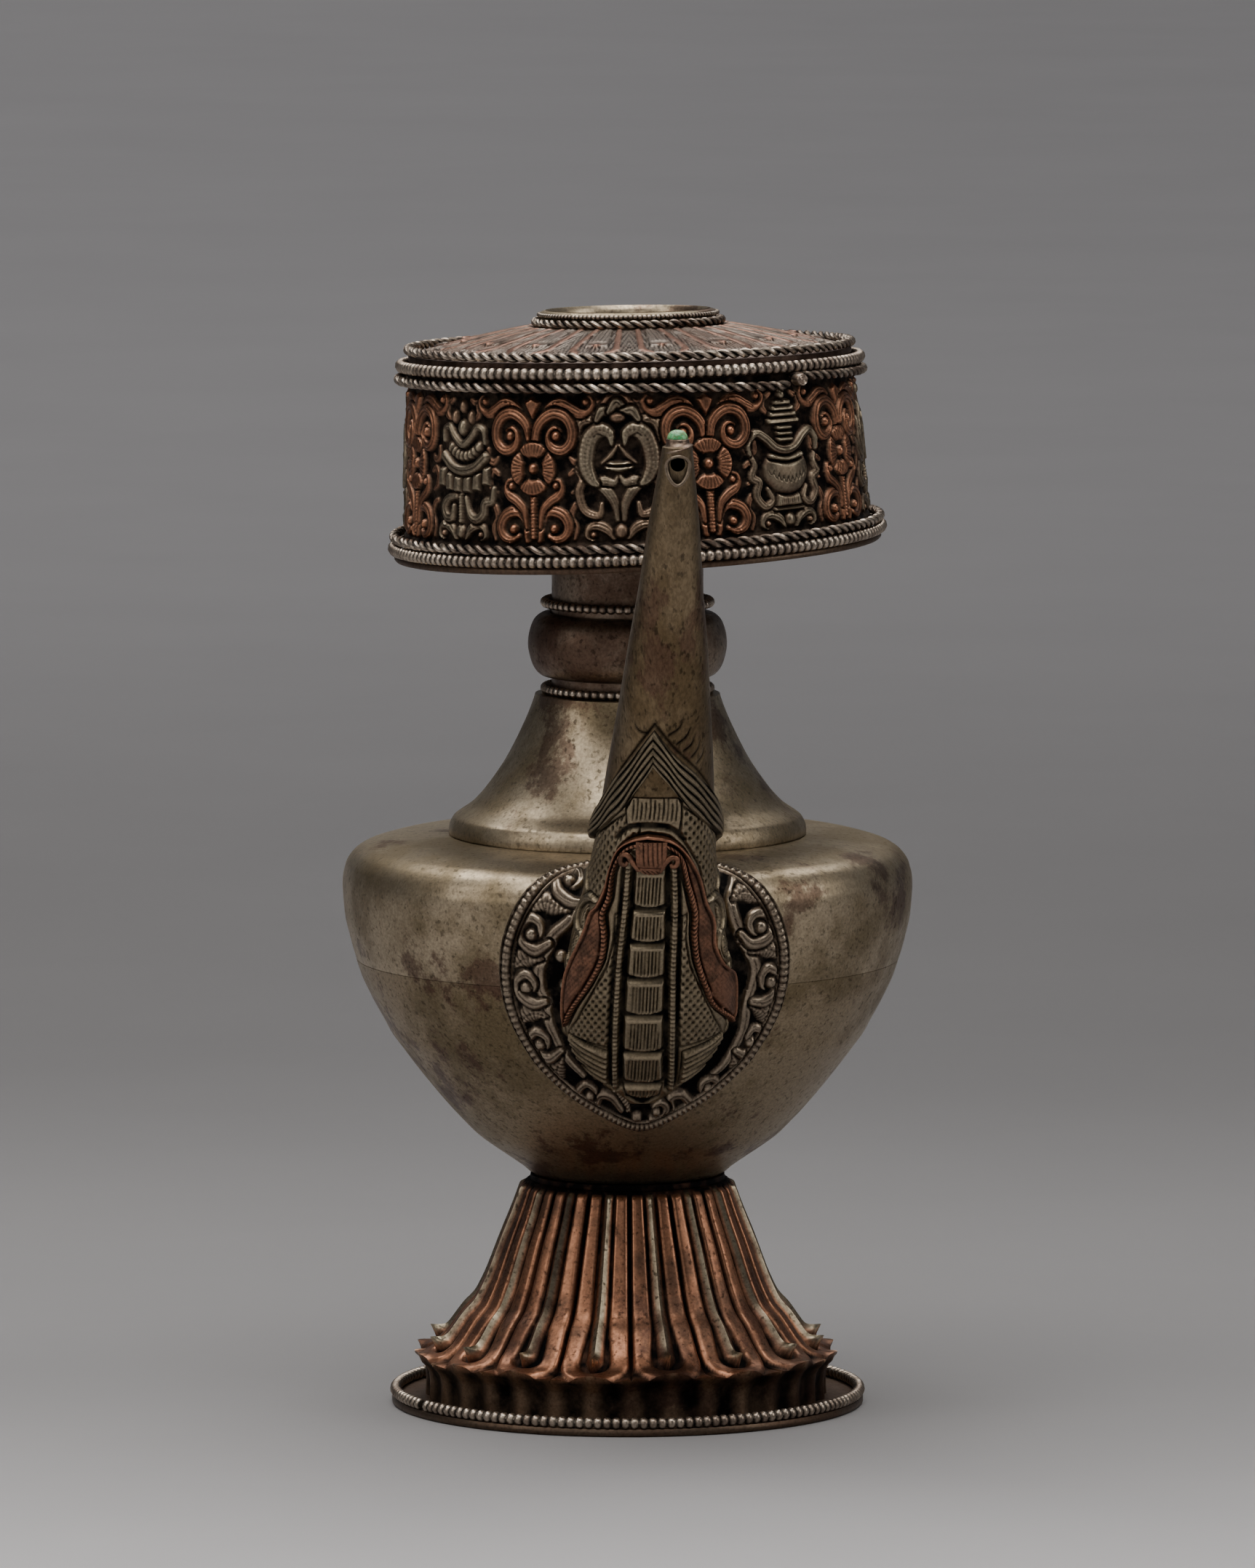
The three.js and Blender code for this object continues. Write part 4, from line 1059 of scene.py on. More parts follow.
# %% The petal ring tree
def build_petal_ring():
    inputs = [("Petals", WHOLE_NUMBER, 16), ("Merge Distance", FLOAT, 0.00002)]
    tree, given, result = geometry_tree("petal_ring", inputs)
    grow = Growing(tree)
    index = grow.node("GeometryNodeInputIndex").outputs[0]
    angle = grow.math("DIVIDE", grow.math("MULTIPLY", index, 2.0 * math.pi), given.outputs["Petals"])
    points = grow.node("GeometryNodePoints", Count=given.outputs["Petals"])
    turn = grow.node("ShaderNodeCombineXYZ", Z=angle)
    petals = grow.node(
        "GeometryNodeInstanceOnPoints",
        Points=points.outputs[0],
        Instance=given.outputs["Geometry"],
        Rotation=turn.outputs[0],
    )
    real = grow.node("GeometryNodeRealizeInstances", Geometry=petals.outputs[0])
    distance = given.outputs["Merge Distance"]
    merged = grow.node("GeometryNodeMergeByDistance", Geometry=real.outputs[0], Distance=distance)
    grow.close(merged.outputs[0], given, result)
    return tree


petal_tree = build_petal_ring()
print("petal ring tree:", len(petal_tree.nodes), "nodes")

# %% [markdown]
# ## Lotus foot
# The foot sweeps down from the bowl and ends in a corrugated skirt with thirty-two small points: one under
# each petal and one between every two. The skirt stands on the base plate.

# %% The foot's sector
FOOT_SIDE = [
    (18.4, 41.1), (20.3, 35.7), (22.4, 30.4), (24.4, 25.0), (25.5, 22.3), (26.9, 19.5), (28.0, 18.1)
]
FOOT_SIDE += [(29.4, 16.6), (32.0, 13.0), (33.5, 11.4), (35.0, 10.2), (36.5, 9.6), (38.0, 9.2)]
PETALS = 16
HALF_PETAL = math.pi / PETALS
FOOT_TURN = math.radians(12.3)


def lotus_foot():
    side, even = evenly(smooth_line(FOOT_SIDE, 12), 92)
    radius, level = side.T
    slope = np.gradient(side, axis=0)
    slope /= np.linalg.norm(slope, axis=1)[:, None]
    turn = np.linspace(-HALF_PETAL, HALF_PETAL, 47)
    along, spread = even[:, None], turn[None, :]
    across = radius[:, None] * spread
    half = radius[:, None] * HALF_PETAL
    way = along / even[-1]
    rib_end = np.interp(34.6, radius, even)
    height, tone = petal(
        along,
        across,
        half,
        0.9 + 0.95 * way**1.3,
        1.15 + 0.5 * way,
        rib_end,
        1.9,
        half - 1.5 - 0.75 * way**1.3 - 1.1 * eased((way - 0.62) / 0.3),
        np.interp(37.0, radius, even),
        0.7 + 0.15 * way,
    )
    height *= eased(along / 1.6)
    points = 0.5 + 0.5 * np.cos(spread * 2 * PETALS)
    edge = eased((along - even[-1] + 2.6) / 2.6)
    height += edge * (0.55 * points - 0.1)
    recess, crest = wear(height, even[1], 0.8, 0.45)
    channel = eased(1.0 - (height - 0.12) / 0.5) * 0.96
    recess = np.maximum(recess, channel * (1.0 - edge))
    crest = np.maximum(crest, edge * points**6)
    tone = np.maximum(tone, edge * 0.55 * points**8)
    reach = edge * 0.9 * (points**2 - 0.35)
    out = radius[:, None] + slope[:, 1][:, None] * -height + reach
    up = level[:, None] + slope[:, 0][:, None] * height
    outside = around(out, turn[None, :] + FOOT_TURN, up)
    fold = 0.75 * (points**1.5 - 0.4)
    wall_side = [
        (37.7, 8.7, 0.9), (36.9, 7.9, 0.8), (36.3, 6.8, 0.9), (36.1, 5.0, 1.0), (36.1, 3.2, 1.0),
        (36.2, 1.45, 1.0)
    ]
    wall = [around(r + share * fold[0], turn + FOOT_TURN, z)[None] for r, z, share in wall_side]
    hollow_side = [
        (35.0, 1.45), (34.9, 4.0), (34.7, 7.6), (31.5, 10.5), (27.0, 15.6), (23.0, 24.0), (19.5, 33.0)
    ]
    hollow_side += [(17.2, 39.5), (14.6, 41.2), (14.6, 42.3), (17.2, 42.35), (17.7, 42.2), (17.8, 41.3)]
    hollow = [around(r, turn + FOOT_TURN, z)[None] for r, z in hollow_side]
    rows = np.concatenate([outside, *wall, *hollow])
    bare = len(rows) - len(outside)
    dark = np.ones((bare, len(turn)))
    pleats = np.broadcast_to(points, (len(wall), len(turn)))
    dark[: len(wall)] = 0.93 - 0.6 * pleats**2
    recess = np.concatenate([recess, dark])
    crest = np.concatenate([crest, np.zeros((bare, len(turn)))])
    tone = np.concatenate([tone, np.zeros((bare, len(turn)))])
    tone[len(outside) : len(outside) + len(wall)] = 0.6
    numbers = {"recess": recess, "crest": crest, "tone": tone}
    return skin("lotus_sector", rows, closed=True, numbers=numbers, sharp=60.0, whole=False)


def hand_bent(points):
    """The foot isn't quite even: its skirt waves a little and its petals lean by turns."""
    turn = np.arctan2(points[:, 0], -points[:, 1])
    low = eased((32.0 - points[:, 2]) / 22.0)
    scale = 1.0 + low * (0.006 * np.sin(3 * turn + 0.6) + 0.005 * np.sin(5 * turn + 2.0))
    above = eased((points[:, 2] - 2.0) / 6.0)
    lifted = points[:, 2] + above * low * (0.3 * np.sin(2 * turn + 1.0) + 0.22 * np.sin(7 * turn))
    return np.stack([points[:, 0] * scale, points[:, 1] * scale, lifted], axis=1)


foot = grown(petal_tree, lotus_foot(), Petals=PETALS, Merge_Distance=0.00001, Material=lotus_copper)
bend_mesh(foot, hand_bent)
stand_in("lotus_foot_fine", foot, lotus_copper, "lotus_foot")

# %% [markdown]
# ## Laying strokes on a field
# The ornament of the band is a set of strokes, as a chaser would draw them: a curl is a curved ridge with a
# few grooves along it, a petal is a fan with ribs, a bead is a dome. Each stroke is laid over those before
# it, and the metal round it is sunk, as the tool leaves it. The distance from each place of the field to
# the stroke's middle line gives its rounded section, and the length along the line gives its hatching.

# %% The relief field
class Relief:
    """A height field on a flat sheet, in mm, with a tone that is 0 for copper and 1 for silver."""

    def __init__(self, low, high, step, wrap=False):
        self.low, self.step, self.wrap = np.array(low, float), step, wrap
        columns = round((high[0] - low[0]) / step)
        rows = round((high[1] - low[1]) / step) + 1
        self.columns = columns if wrap else columns + 1
        self.step_u = (high[0] - low[0]) / columns
        self.height = np.zeros((rows, self.columns))
        self.tone = np.zeros((rows, self.columns))

    def window(self, points, reach):
        """The cells near some points: their rows and columns, and their places."""
        low, high = np.min(points, axis=0) - reach - self.low, np.max(points, axis=0) + reach - self.low
        columns = np.arange(int(np.floor(low[0] / self.step_u)), int(np.ceil(high[0] / self.step_u)) + 1)
        rows = np.arange(
            max(int(low[1] / self.step), 0), min(int(high[1] / self.step) + 2, len(self.height))
        )
        if not self.wrap:
            columns = columns[(columns >= 0) & (columns < self.columns)]
        u = self.low[0] + columns * self.step_u
        v = self.low[1] + rows * self.step
        return np.ix_(rows, columns % self.columns), np.stack(np.meshgrid(u, v), axis=-1)

    def lay(self, where, inside, height, tone, margin=None, gap=0.45):
        """Lays a shape over the field; margin is the distance outside its edge."""
        old, hue = self.height[where], self.tone[where]
        if margin is not None:
            sink = np.clip(margin / gap, 0.0, 1.0)
            old = np.where(inside, old, old * np.where(margin < gap, eased(sink), 1.0))
        self.height[where] = np.where(inside, height, old)
        self.tone[where] = np.where(inside, tone, hue)

    def trace(self, points, width, steps=6):
        """For the cells near a curve: distance, signed distance, length along it and its half width there."""
        points = np.asarray(points, dtype=float)
        line = smooth_line(points, steps) if len(points) > 2 else points
        widths = np.interp(
            np.linspace(0, 1, len(line)), np.linspace(0, 1, np.size(width)), np.atleast_1d(width)
        )
        where, place = self.window(line, widths.max() / 2 + 0.6)
        start, run = line[:-1], np.diff(line, axis=0)
        size = np.maximum((run**2).sum(axis=1), 1e-9)
        apart = place[:, :, None, :] - start
        way = np.clip((apart * run).sum(axis=-1) / size, 0.0, 1.0)
        off = apart - way[..., None] * run
        reach = np.hypot(off[..., 0], off[..., 1])
        near = reach.argmin(axis=2)
        pick = near[..., None]
        reach = np.take_along_axis(reach, pick, 2)[..., 0]
        way = np.take_along_axis(way, pick, 2)[..., 0]
        length = np.concatenate([[0.0], np.cumsum(np.sqrt(size))])
        along = length[near] + way * (length[near + 1] - length[near])
        side = run[near, 0] * (place[..., 1] - start[near, 1]) - run[
            near, 1
        ] * (place[..., 0] - start[near, 0])
        return where, reach, np.sign(side) * reach, along, np.interp(along, length, widths) / 2

    def stroke(
        self, points, width, height=1.1, grooves=0, hatch=0.0, tone=0.0, sharp=2.0, notch=0.3, steps=6
    ):
        """A ridge along a curve; width is one number or one for each point, hatch a pitch in mm."""
        where, reach, signed, along, half = self.trace(points, width, steps)
        share = np.clip(reach / half, 0.0, 1.0)
        rise = height * np.clip(1.0 - share**sharp, 0.0, 1.0) ** 0.5
        for groove in range(grooves):
            line_at = ((groove + 1) / (grooves + 1) * 2.0 - 1.0) * half
            rise = rise - notch * np.exp(-(((signed - line_at) / 0.15) ** 2))
        if hatch:
            rise = rise - notch * 0.9 * (0.5 + 0.5 * np.cos(2 * math.pi * along / hatch)) ** 2
        self.lay(where, reach < half, np.maximum(rise, 0.02), tone, reach - half)

    def cut(self, points, width=0.3, depth=0.3):
        """A graver's line, deepest in its middle."""
        where, reach, _, _, half = self.trace(points, width)
        self.height[where] -= depth * np.exp(-((reach / np.maximum(half, 0.05)) ** 2))

    def dome(self, centre, radius, height=1.0, tone=0.0, power=2.0):
        """A bead or an oval; radius is one number or two."""
        wide, tall = np.atleast_1d(radius)[0], np.atleast_1d(radius)[-1]
        where, place = self.window(np.array([centre]), max(wide, tall) + 0.5)
        share = np.hypot((place[..., 0] - centre[0]) / wide, (place[..., 1] - centre[1]) / tall)
        rise = height * np.clip(1.0 - share**power, 0.0, 1.0) ** 0.5
        self.lay(where, share < 1.0, rise, tone, (share - 1.0) * min(wide, tall))

    def fan(self, centre, inner, outer, facing, spread, height=0.95, ribs=9, tone=0.0):
        """A petal between two radii about a centre, with ribs that spread from it; angles in degrees."""
        where, place = self.window(np.array([centre]), outer + 0.5)
        x, y = place[..., 0] - centre[0], place[..., 1] - centre[1]
        radius = np.hypot(x, y)
        turn = (np.degrees(np.arctan2(y, x)) - facing + 180.0) % 360.0 - 180.0
        share = np.clip((radius - inner) / (outer - inner), 0.0, 1.0)
        edge = spread * (0.7 + 0.36 * np.sin(0.75 * math.pi * share))
        top = outer - 0.35 * (1.0 - np.cos(np.radians(turn) * 180.0 / spread / 2.0))
        inside = (np.abs(turn) < edge) & (radius > inner) & (radius < top)
        bulge = np.clip(1.0 - np.abs(turn / edge) ** 3, 0.0, 1.0)
        bulge = bulge * np.clip(1.0 - np.abs(2 * share - 1.0) ** 4, 0.0, 1.0)
        rise = height * (0.45 + 0.55 * bulge**0.5)
        combs = (0.5 + 0.5 * np.cos(2 * math.pi * turn / (2 * spread) * ribs)) ** 2
        rise = rise - 0.26 * combs * (share < 0.85)
        outside = np.maximum(
            np.maximum(inner - radius, radius - top), (np.abs(turn) - edge) / 57.0 * radius
        )
        near = np.abs((turn + 180.0) % 360.0 - 180.0) < edge + 8.0
        self.lay(where, inside, rise, tone, np.where(near, outside, 9.0))

    def patch(
        self, corners, height=0.9, hatch=0.0, facing=90.0, tone=0.0, round_off=0.5, notch=0.15,
        bare=0.25, dots=0.0
    ):
        """A many-sided patch with softened edges, hatched across one direction or punched with dots."""
        corners = np.asarray(corners, dtype=float)
        where, place = self.window(corners, 0.6)
        nearest = np.full(place.shape[:2], 1e9)
        inside = np.zeros(place.shape[:2], dtype=bool)
        for one, two in zip(corners, np.roll(corners, -1, axis=0)):
            run = two - one
            way = np.clip(((place - one) @ run) / max(run @ run, 1e-9), 0.0, 1.0)
            nearest = np.minimum(nearest, np.linalg.norm(place - one - way[..., None] * run, axis=-1))
            crosses = (one[1] > place[..., 1]) != (two[1] > place[..., 1])
            with np.errstate(divide="ignore", invalid="ignore"):
                at = one[0] + (place[..., 1] - one[1]) / (two[1] - one[1] + 1e-12) * (two[0] - one[0])
            inside ^= crosses & (place[..., 0] < at)
        rise = height * (0.35 + 0.65 * eased(nearest / round_off) ** 0.7)
        if hatch:
            angle = math.radians(facing)
            count = place[..., 0] * math.cos(angle) + place[..., 1] * math.sin(angle)
            rise = rise - notch * (0.5 + 0.5 * np.cos(2 * math.pi * count / hatch)) ** 2 * (nearest > bare)
        if dots:
            punch = np.cos(math.pi * place[..., 0] / dots) * np.cos(math.pi * place[..., 1] / dots)
            rise = rise - notch * np.clip(1.6 * punch, 0.0, 1.0) ** 1.5 * (nearest > bare)
        self.lay(where, inside, rise, tone, nearest)

    def sample(self, u, v, field):
        """Reads a field at any places, in between its cells too."""
        across = (np.asarray(u) - self.low[0]) / self.step_u
        up = np.clip((np.asarray(v) - self.low[1]) / self.step, 0, len(field) - 1.001)
        if not self.wrap:
            across = np.clip(across, 0, self.columns - 1.001)
        column, row = np.floor(across).astype(int), np.floor(up).astype(int)
        right, above = across - column, up - row
        one, two = column % self.columns, (column + 1) % self.columns
        low = field[row, one] * (1 - right) + field[row, two] * right
        high = field[row + 1, one] * (1 - right) + field[row + 1, two] * right
        return low * (1 - above) + high * above


def moved(points, u, v=0.0, side=1.0):
    """Points moved across and up, and mirrored first where side is -1."""
    return [(side * x + u, y + v) for x, y in points]


print("relief field ready")

# %% [markdown]
# ## The band's ornament
# Eight copper flowers with curling leaves stand between the eight auspicious emblems, which are silvered:
# parasol, two fish, treasure vase, lotus, conch, endless knot, banner and wheel. The first three are read
# off the photograph. The other five are turned away from it, and follow the usual forms in the same hand.

# %% The flower
UPPER_CURL = [
    (-0.5, 17.4), (-1.1, 19.8), (-2.6, 21.4), (-4.6, 22.1), (-6.8, 21.3), (-7.9, 19.2), (-7.5, 16.9)
]
UPPER_CURL += [(-5.8, 15.7), (-3.9, 16.3), (-3.3, 18.0), (-4.2, 19.3), (-5.3, 19.0)]
UPPER_LEAF = [
    (-1.6, 20.6), (-3.6, 23.0), (-5.8, 23.6), (-8.0, 22.6), (-9.8, 21.9), (-11.4, 22.6), (-12.0, 23.9),
    (-11.3, 24.7)
]
LOWER_CURL = [
    (-1.2, 0.3), (-1.5, 3.2), (-2.4, 4.9), (-4.1, 5.3), (-6.0, 4.5), (-6.9, 2.7), (-6.2, 1.0),
    (-4.6, 0.4)
]
LOWER_CURL += [(-3.2, 1.0)]
LOWER_LEAF = [(-1.3, 2.6), (-1.9, 5.4), (-3.4, 7.0), (-4.9, 7.9), (-5.6, 9.1), (-5.3, 10.3), (-4.4, 10.6)]


def flower(field, at, tone=0.0):
    """One flower with its stem, four curls and four leaves."""
    for side in (1.0, -1.0):
        field.stroke(moved(UPPER_LEAF, at, 0, side), [1.0, 2.0, 2.5, 2.1, 1.2, 0.9, 0.8], 1.0, 3, tone=tone)
        field.dome((at - side * 10.6, 24.0), 0.75, 0.9, tone)
        field.stroke(
            moved(UPPER_CURL, at, 0, side), [1.7, 2.1, 2.2, 2.1, 1.9, 1.6, 1.1], 1.15, 2, tone=tone
        )
        field.dome((at - side * 4.7, 18.2), 0.95, 1.2, tone)
        field.stroke(moved(LOWER_CURL, at, 0, side), [1.3, 1.8, 2.1, 2.0, 1.7, 1.1], 1.05, 2, tone=tone)
        field.dome((at - side * 4.1, 2.3), 0.9, 1.15, tone)
        field.stroke(moved(LOWER_LEAF, at, 0, side), [1.0, 1.7, 1.8, 1.2, 0.8], 1.0, 2, tone=tone)
        field.dome((at - side * 4.5, 9.6), 0.7, 1.0, tone)
    field.patch(
        [(at - 1.7, 24.0), (at, 24.9), (at + 1.7, 24.0), (at + 1.2, 22.9), (at, 20.9), (at - 1.2, 22.9)],
        0.95, 0.42, 0.0, tone
    )
    field.stroke([(at, 8.0), (at, 0.9)], 1.5, 0.9, 0, 0.62, tone, notch=0.26)
    for facing in (90, 180, 270, 0):
        field.fan((at, 12.6), 1.95, 4.6, facing, 41.0, 1.0, 8, tone)
    field.dome((at, 12.6), 1.0, 1.15, tone)


print("flower strokes:", len(UPPER_CURL) + len(UPPER_LEAF) + len(LOWER_CURL) + len(LOWER_LEAF), "points")

# %% Parasol, fish and vase
FILLERS = [
    [(-8.9, 8.4), (-7.7, 9.2), (-7.2, 10.9), (-8.2, 12.2), (-9.3, 11.6)],
    [(-9.2, 14.4), (-8.2, 13.6), (-7.0, 14.2), (-6.9, 15.8)],
    [(-8.6, 0.4), (-8.2, 2.4), (-9.2, 4.2), (-8.4, 6.2), (-7.4, 6.6)],
    [(-5.4, 24.6), (-4.0, 23.6), (-2.6, 24.2)],
    [(-3.4, 20.6), (-4.6, 21.8), (-4.2, 23.2)],
]


def fillers(field, at, tone=0.2):
    """Low curls that fill the ground beside an emblem."""
    for side in (1.0, -1.0):
        for curl in FILLERS:
            field.stroke(moved(curl, at, 0, side), [0.6, 1.3, 1.2, 0.9], 0.62, 1, tone=tone)


def leaf_base(field, at, tone=1.0):
    """The small lotus that each emblem stands on."""
    for side in (1.0, -1.0):
        curl = [(-1.4, 0.6), (-2.6, 2.0), (-4.4, 2.7), (-5.9, 2.2), (-6.3, 0.9), (-5.2, 0.4)]
        field.stroke(moved(curl, at, 0, side), [1.2, 1.9, 1.5, 1.0, 0.8], 0.9, 2, tone=tone)
        field.dome((at - side * 5.1, 1.1), 0.6, 0.8, tone * 0.5)
    field.dome((at, 1.5), (1.25, 1.4), 0.95, tone)


def ribbon(field, points, at, side=1.0, tone=1.0, width=1.7):
    """A fluttering scarf with two grooves along it."""
    field.stroke(
        moved(points, at, 0, side), [width * 0.5, width, width * 1.1, width, width * 0.6], 0.95, 2,
        tone=tone
    )


def parasol(field, at):
    leaf_base(field, at)
    ribbon(field, [(-1.2, 7.6), (-3.6, 7.2), (-5.0, 5.8), (-4.2, 4.0), (-2.6, 4.0), (-2.2, 5.8)], at)
    ribbon(field, [(1.3, 7.4), (2.4, 4.6), (4.2, 3.7), (5.8, 4.9), (6.1, 6.6), (7.8, 7.0), (8.2, 9.0)], at)
    field.stroke([(at, 8.2), (at, 3.3)], 1.0, 0.9, 0, 0.5, 1.0)
    for place, lean in ((-5.6, 0.9), (-3.3, 0.2), (-0.9, 0.0), (1.6, 0.0), (4.1, 0.3), (6.5, 1.3)):
        corners = [(-1.05, 8.3), (1.05, 8.3), (0.9, 11.4), (-0.8, 11.4)]
        field.patch(moved(corners, at + place, lean), 1.0, 0.45, 0.0, 1.0, 0.45)
    field.stroke(
        moved([(-5.0, 14.4), (-2.4, 12.6), (0.5, 12.0), (3.6, 12.6), (6.2, 14.4)], at), 2.0, 1.05, 1,
        0.0, 1.0
    )
    field.stroke(
        moved([(-3.4, 16.2), (-1.4, 14.9), (0.6, 14.5), (2.6, 14.9), (4.6, 16.2)], at), 1.9, 0.95, 0,
        1.15, 1.0, notch=0.5
    )
    swag = [
        (-5.0, 17.2), (-4.9, 19.0), (-3.3, 19.5), (-2.0, 18.0), (0.4, 16.5), (2.8, 18.0), (4.2, 19.5),
        (5.8, 19.0), (6.2, 17.0)
    ]
    field.stroke(moved(swag, at), [1.1, 1.5, 1.5, 1.5, 1.1], 1.05, 2, tone=1.0)
    for place in ((-1.9, 21.2), (2.6, 21.2), (0.4, 23.0)):
        field.dome((at + place[0], place[1]), (0.9, 1.25), 0.9, 0.6)
    field.dome((at + 0.4, 19.4), (1.2, 1.5), 1.15, 1.0)


def two_fish(field, at):
    leaf_base(field, at, 0.7)
    for side in (1.0, -1.0):
        ribbon(
            field,
            [(-6.4, 14.6), (-7.6, 12.6), (-6.8, 10.8), (-7.6, 8.6), (-6.6, 5.4), (-4.0, 4.4), (-3.4, 6.3)],
            at, side, 0.7, 1.5
        )
        cloud = [(-3.6, 19.6), (-5.2, 20.9), (-7.0, 20.5), (-7.9, 18.6), (-7.0, 16.8)]
        field.stroke(moved(cloud, at, 0, side), [1.0, 1.9, 1.9, 1.3], 0.95, 2, tone=0.8)
        field.patch(
            moved([(-2.2, 25.2), (-0.6, 25.2), (-2.9, 22.4), (-3.9, 22.8)], at, 0, side), 0.7, 0, 0, 0.4
        )
        tail = [(-4.0, 9.8), (-2.2, 8.4), (-0.9, 6.2), (-0.6, 3.6)]
        field.stroke(moved(tail, at, 0, side), [1.5, 2.0, 1.7, 0.9], 0.95, 3, tone=1.0)
        fin = [(-4.6, 10.0), (-2.7, 10.3), (-1.0, 10.0), (-0.2, 11.2)]
        field.stroke(moved(fin, at, 0, side), [1.2, 1.8, 1.3, 0.6], 0.95, 3, tone=1.0)
        body = [
            (-1.2, 16.6), (-1.6, 18.5), (-3.4, 19.1), (-5.2, 17.8), (-6.1, 15.2), (-6.1, 12.6),
            (-5.1, 10.6), (-4.2, 9.8)
        ]
        field.stroke(
            moved(body, at, 0, side), [0.8, 2.2, 3.0, 3.3, 3.3, 3.0, 2.3, 1.4], 1.15, 1, 0.75, 1.0, 2.6,
            0.11
        )
        field.cut(moved([(-2.6, 17.9), (-3.6, 18.5), (-4.4, 18.0)], at, 0, side), 0.35, 0.3)
    for level in (13.5, 12.6):
        field.stroke(
            moved([(-2.4, level), (0.0, level - 0.35), (2.4, level)], at), [0.5, 1.0, 0.5], 0.95, 0,
            tone=1.0
        )
    for petal_line in (
        [(-3.9, 20.9), (-2.8, 22.4), (-0.9, 22.2)],
        [(-1.5, 22.2), (0.0, 23.9), (1.5, 22.2)],
        [(0.9, 22.2), (2.8, 22.4), (3.9, 20.9)],
    ):
        field.stroke(moved(petal_line, at), [1.2, 2.2, 1.2], 1.0, 1, tone=1.0)
    field.dome((at, 21.2), (1.5, 0.9), 0.8, 0.6)
    for side in (1.0, -1.0):
        field.stroke(
            moved([(-0.2, 16.4), (-1.6, 14.6), (-3.2, 13.4)], at, 0, side), [0.5, 0.9, 0.5], 0.6, 0,
            tone=0.8
        )


def treasure_vase(field, at):
    leaf_base(field, at)
    for side in (1.0, -1.0):
        scarf = [
            (-8.0, 13.6), (-7.2, 11.6), (-8.0, 9.6), (-6.6, 8.6), (-7.2, 6.2), (-5.6, 4.3), (-3.8, 5.2),
            (-4.6, 7.2)
        ]
        ribbon(field, scarf, at, side, 0.9, 1.6)
    field.patch(moved([(-2.5, 6.4), (2.5, 6.4), (3.4, 3.6), (-3.4, 3.6)], at), 1.0, 0.5, 0.0, 1.0)
    field.stroke(moved([(-3.4, 3.5), (3.4, 3.5)], at), 0.6, 1.05, 0, tone=1.0)
    field.dome((at, 10.4), (5.4, 4.4), 1.5, 1.0, 2.6)
    for place in np.arange(-4, 5):
        level = 8.3 + 0.09 * place**2
        field.cut(
            moved([(place - 0.5, level + 0.8), (place, level), (place + 0.5, level + 0.8)], at), 0.3,
            0.22
        )
    field.stroke(moved([(-3.6, 13.0), (0.0, 12.4), (3.6, 13.0)], at), 1.2, 1.3, 0, 0.36, 1.0)
    swag = [
        (-8.2, 13.6), (-8.4, 15.8), (-6.6, 17.3), (-4.6, 16.4), (-2.4, 14.6), (0.0, 14.0), (2.4, 14.6),
        (4.6, 16.4)
    ]
    swag += [(6.6, 17.3), (8.2, 15.8), (8.0, 13.8)]
    field.stroke(moved(swag, at), [0.9, 1.4, 1.8, 1.9, 1.9, 1.9, 1.8, 1.4, 0.9], 1.2, 2, tone=1.0)
    for level in (15.9, 17.0, 18.0):
        field.stroke(moved([(-1.5, level), (1.5, level)], at), 0.95, 1.15, 0, tone=1.0)
    for level, half in ((19.2, 3.5), (20.4, 2.9), (21.5, 2.3), (22.5, 1.6)):
        field.stroke(moved([(-half, level), (half, level)], at), 1.05, 1.1, 1, 0.0, 1.0)
    field.dome((at, 23.9), 0.9, 1.0, 1.0)


print("three emblems read off the photograph")

# %% Lotus, conch, knot, banner and wheel
MIDDLE = 12.8


def lotus_flower(field, at):
    leaf_base(field, at)
    field.stroke(moved([(0.0, 3.0), (0.3, 6.0), (0.0, 9.0)], at), 1.1, 0.9, 0, 0.6, 1.0)
    for side in (1.0, -1.0):
        ribbon(
            field, [(-0.6, 3.6), (-2.6, 5.6), (-5.2, 5.6), (-6.8, 7.4), (-5.6, 9.0), (-4.2, 8.0)], at,
            side
        )
        field.stroke(
            moved([(-1.0, 10.0), (-4.4, 11.2), (-6.9, 14.2)], at, 0, side), [2.2, 2.8, 0.5], 1.0, 3,
            tone=1.0
        )
        field.stroke(
            moved([(-0.8, 10.4), (-3.4, 13.6), (-4.3, 18.0)], at, 0, side), [2.2, 2.8, 0.5], 1.1, 3,
            tone=1.0
        )
        field.stroke(
            moved([(-5.4, 19.6), (-7.4, 21.0), (-7.0, 23.2), (-5.2, 22.8)], at, 0, side),
            [0.9, 1.6, 0.9], 0.9, 1, tone=0.8
        )
    field.stroke(moved([(0.0, 10.0), (0.0, 15.0), (0.0, 20.6)], at), [2.4, 3.6, 0.4], 1.2, 3, tone=1.0)
    field.dome((at, 22.9), (1.0, 1.2), 0.9, 1.0)


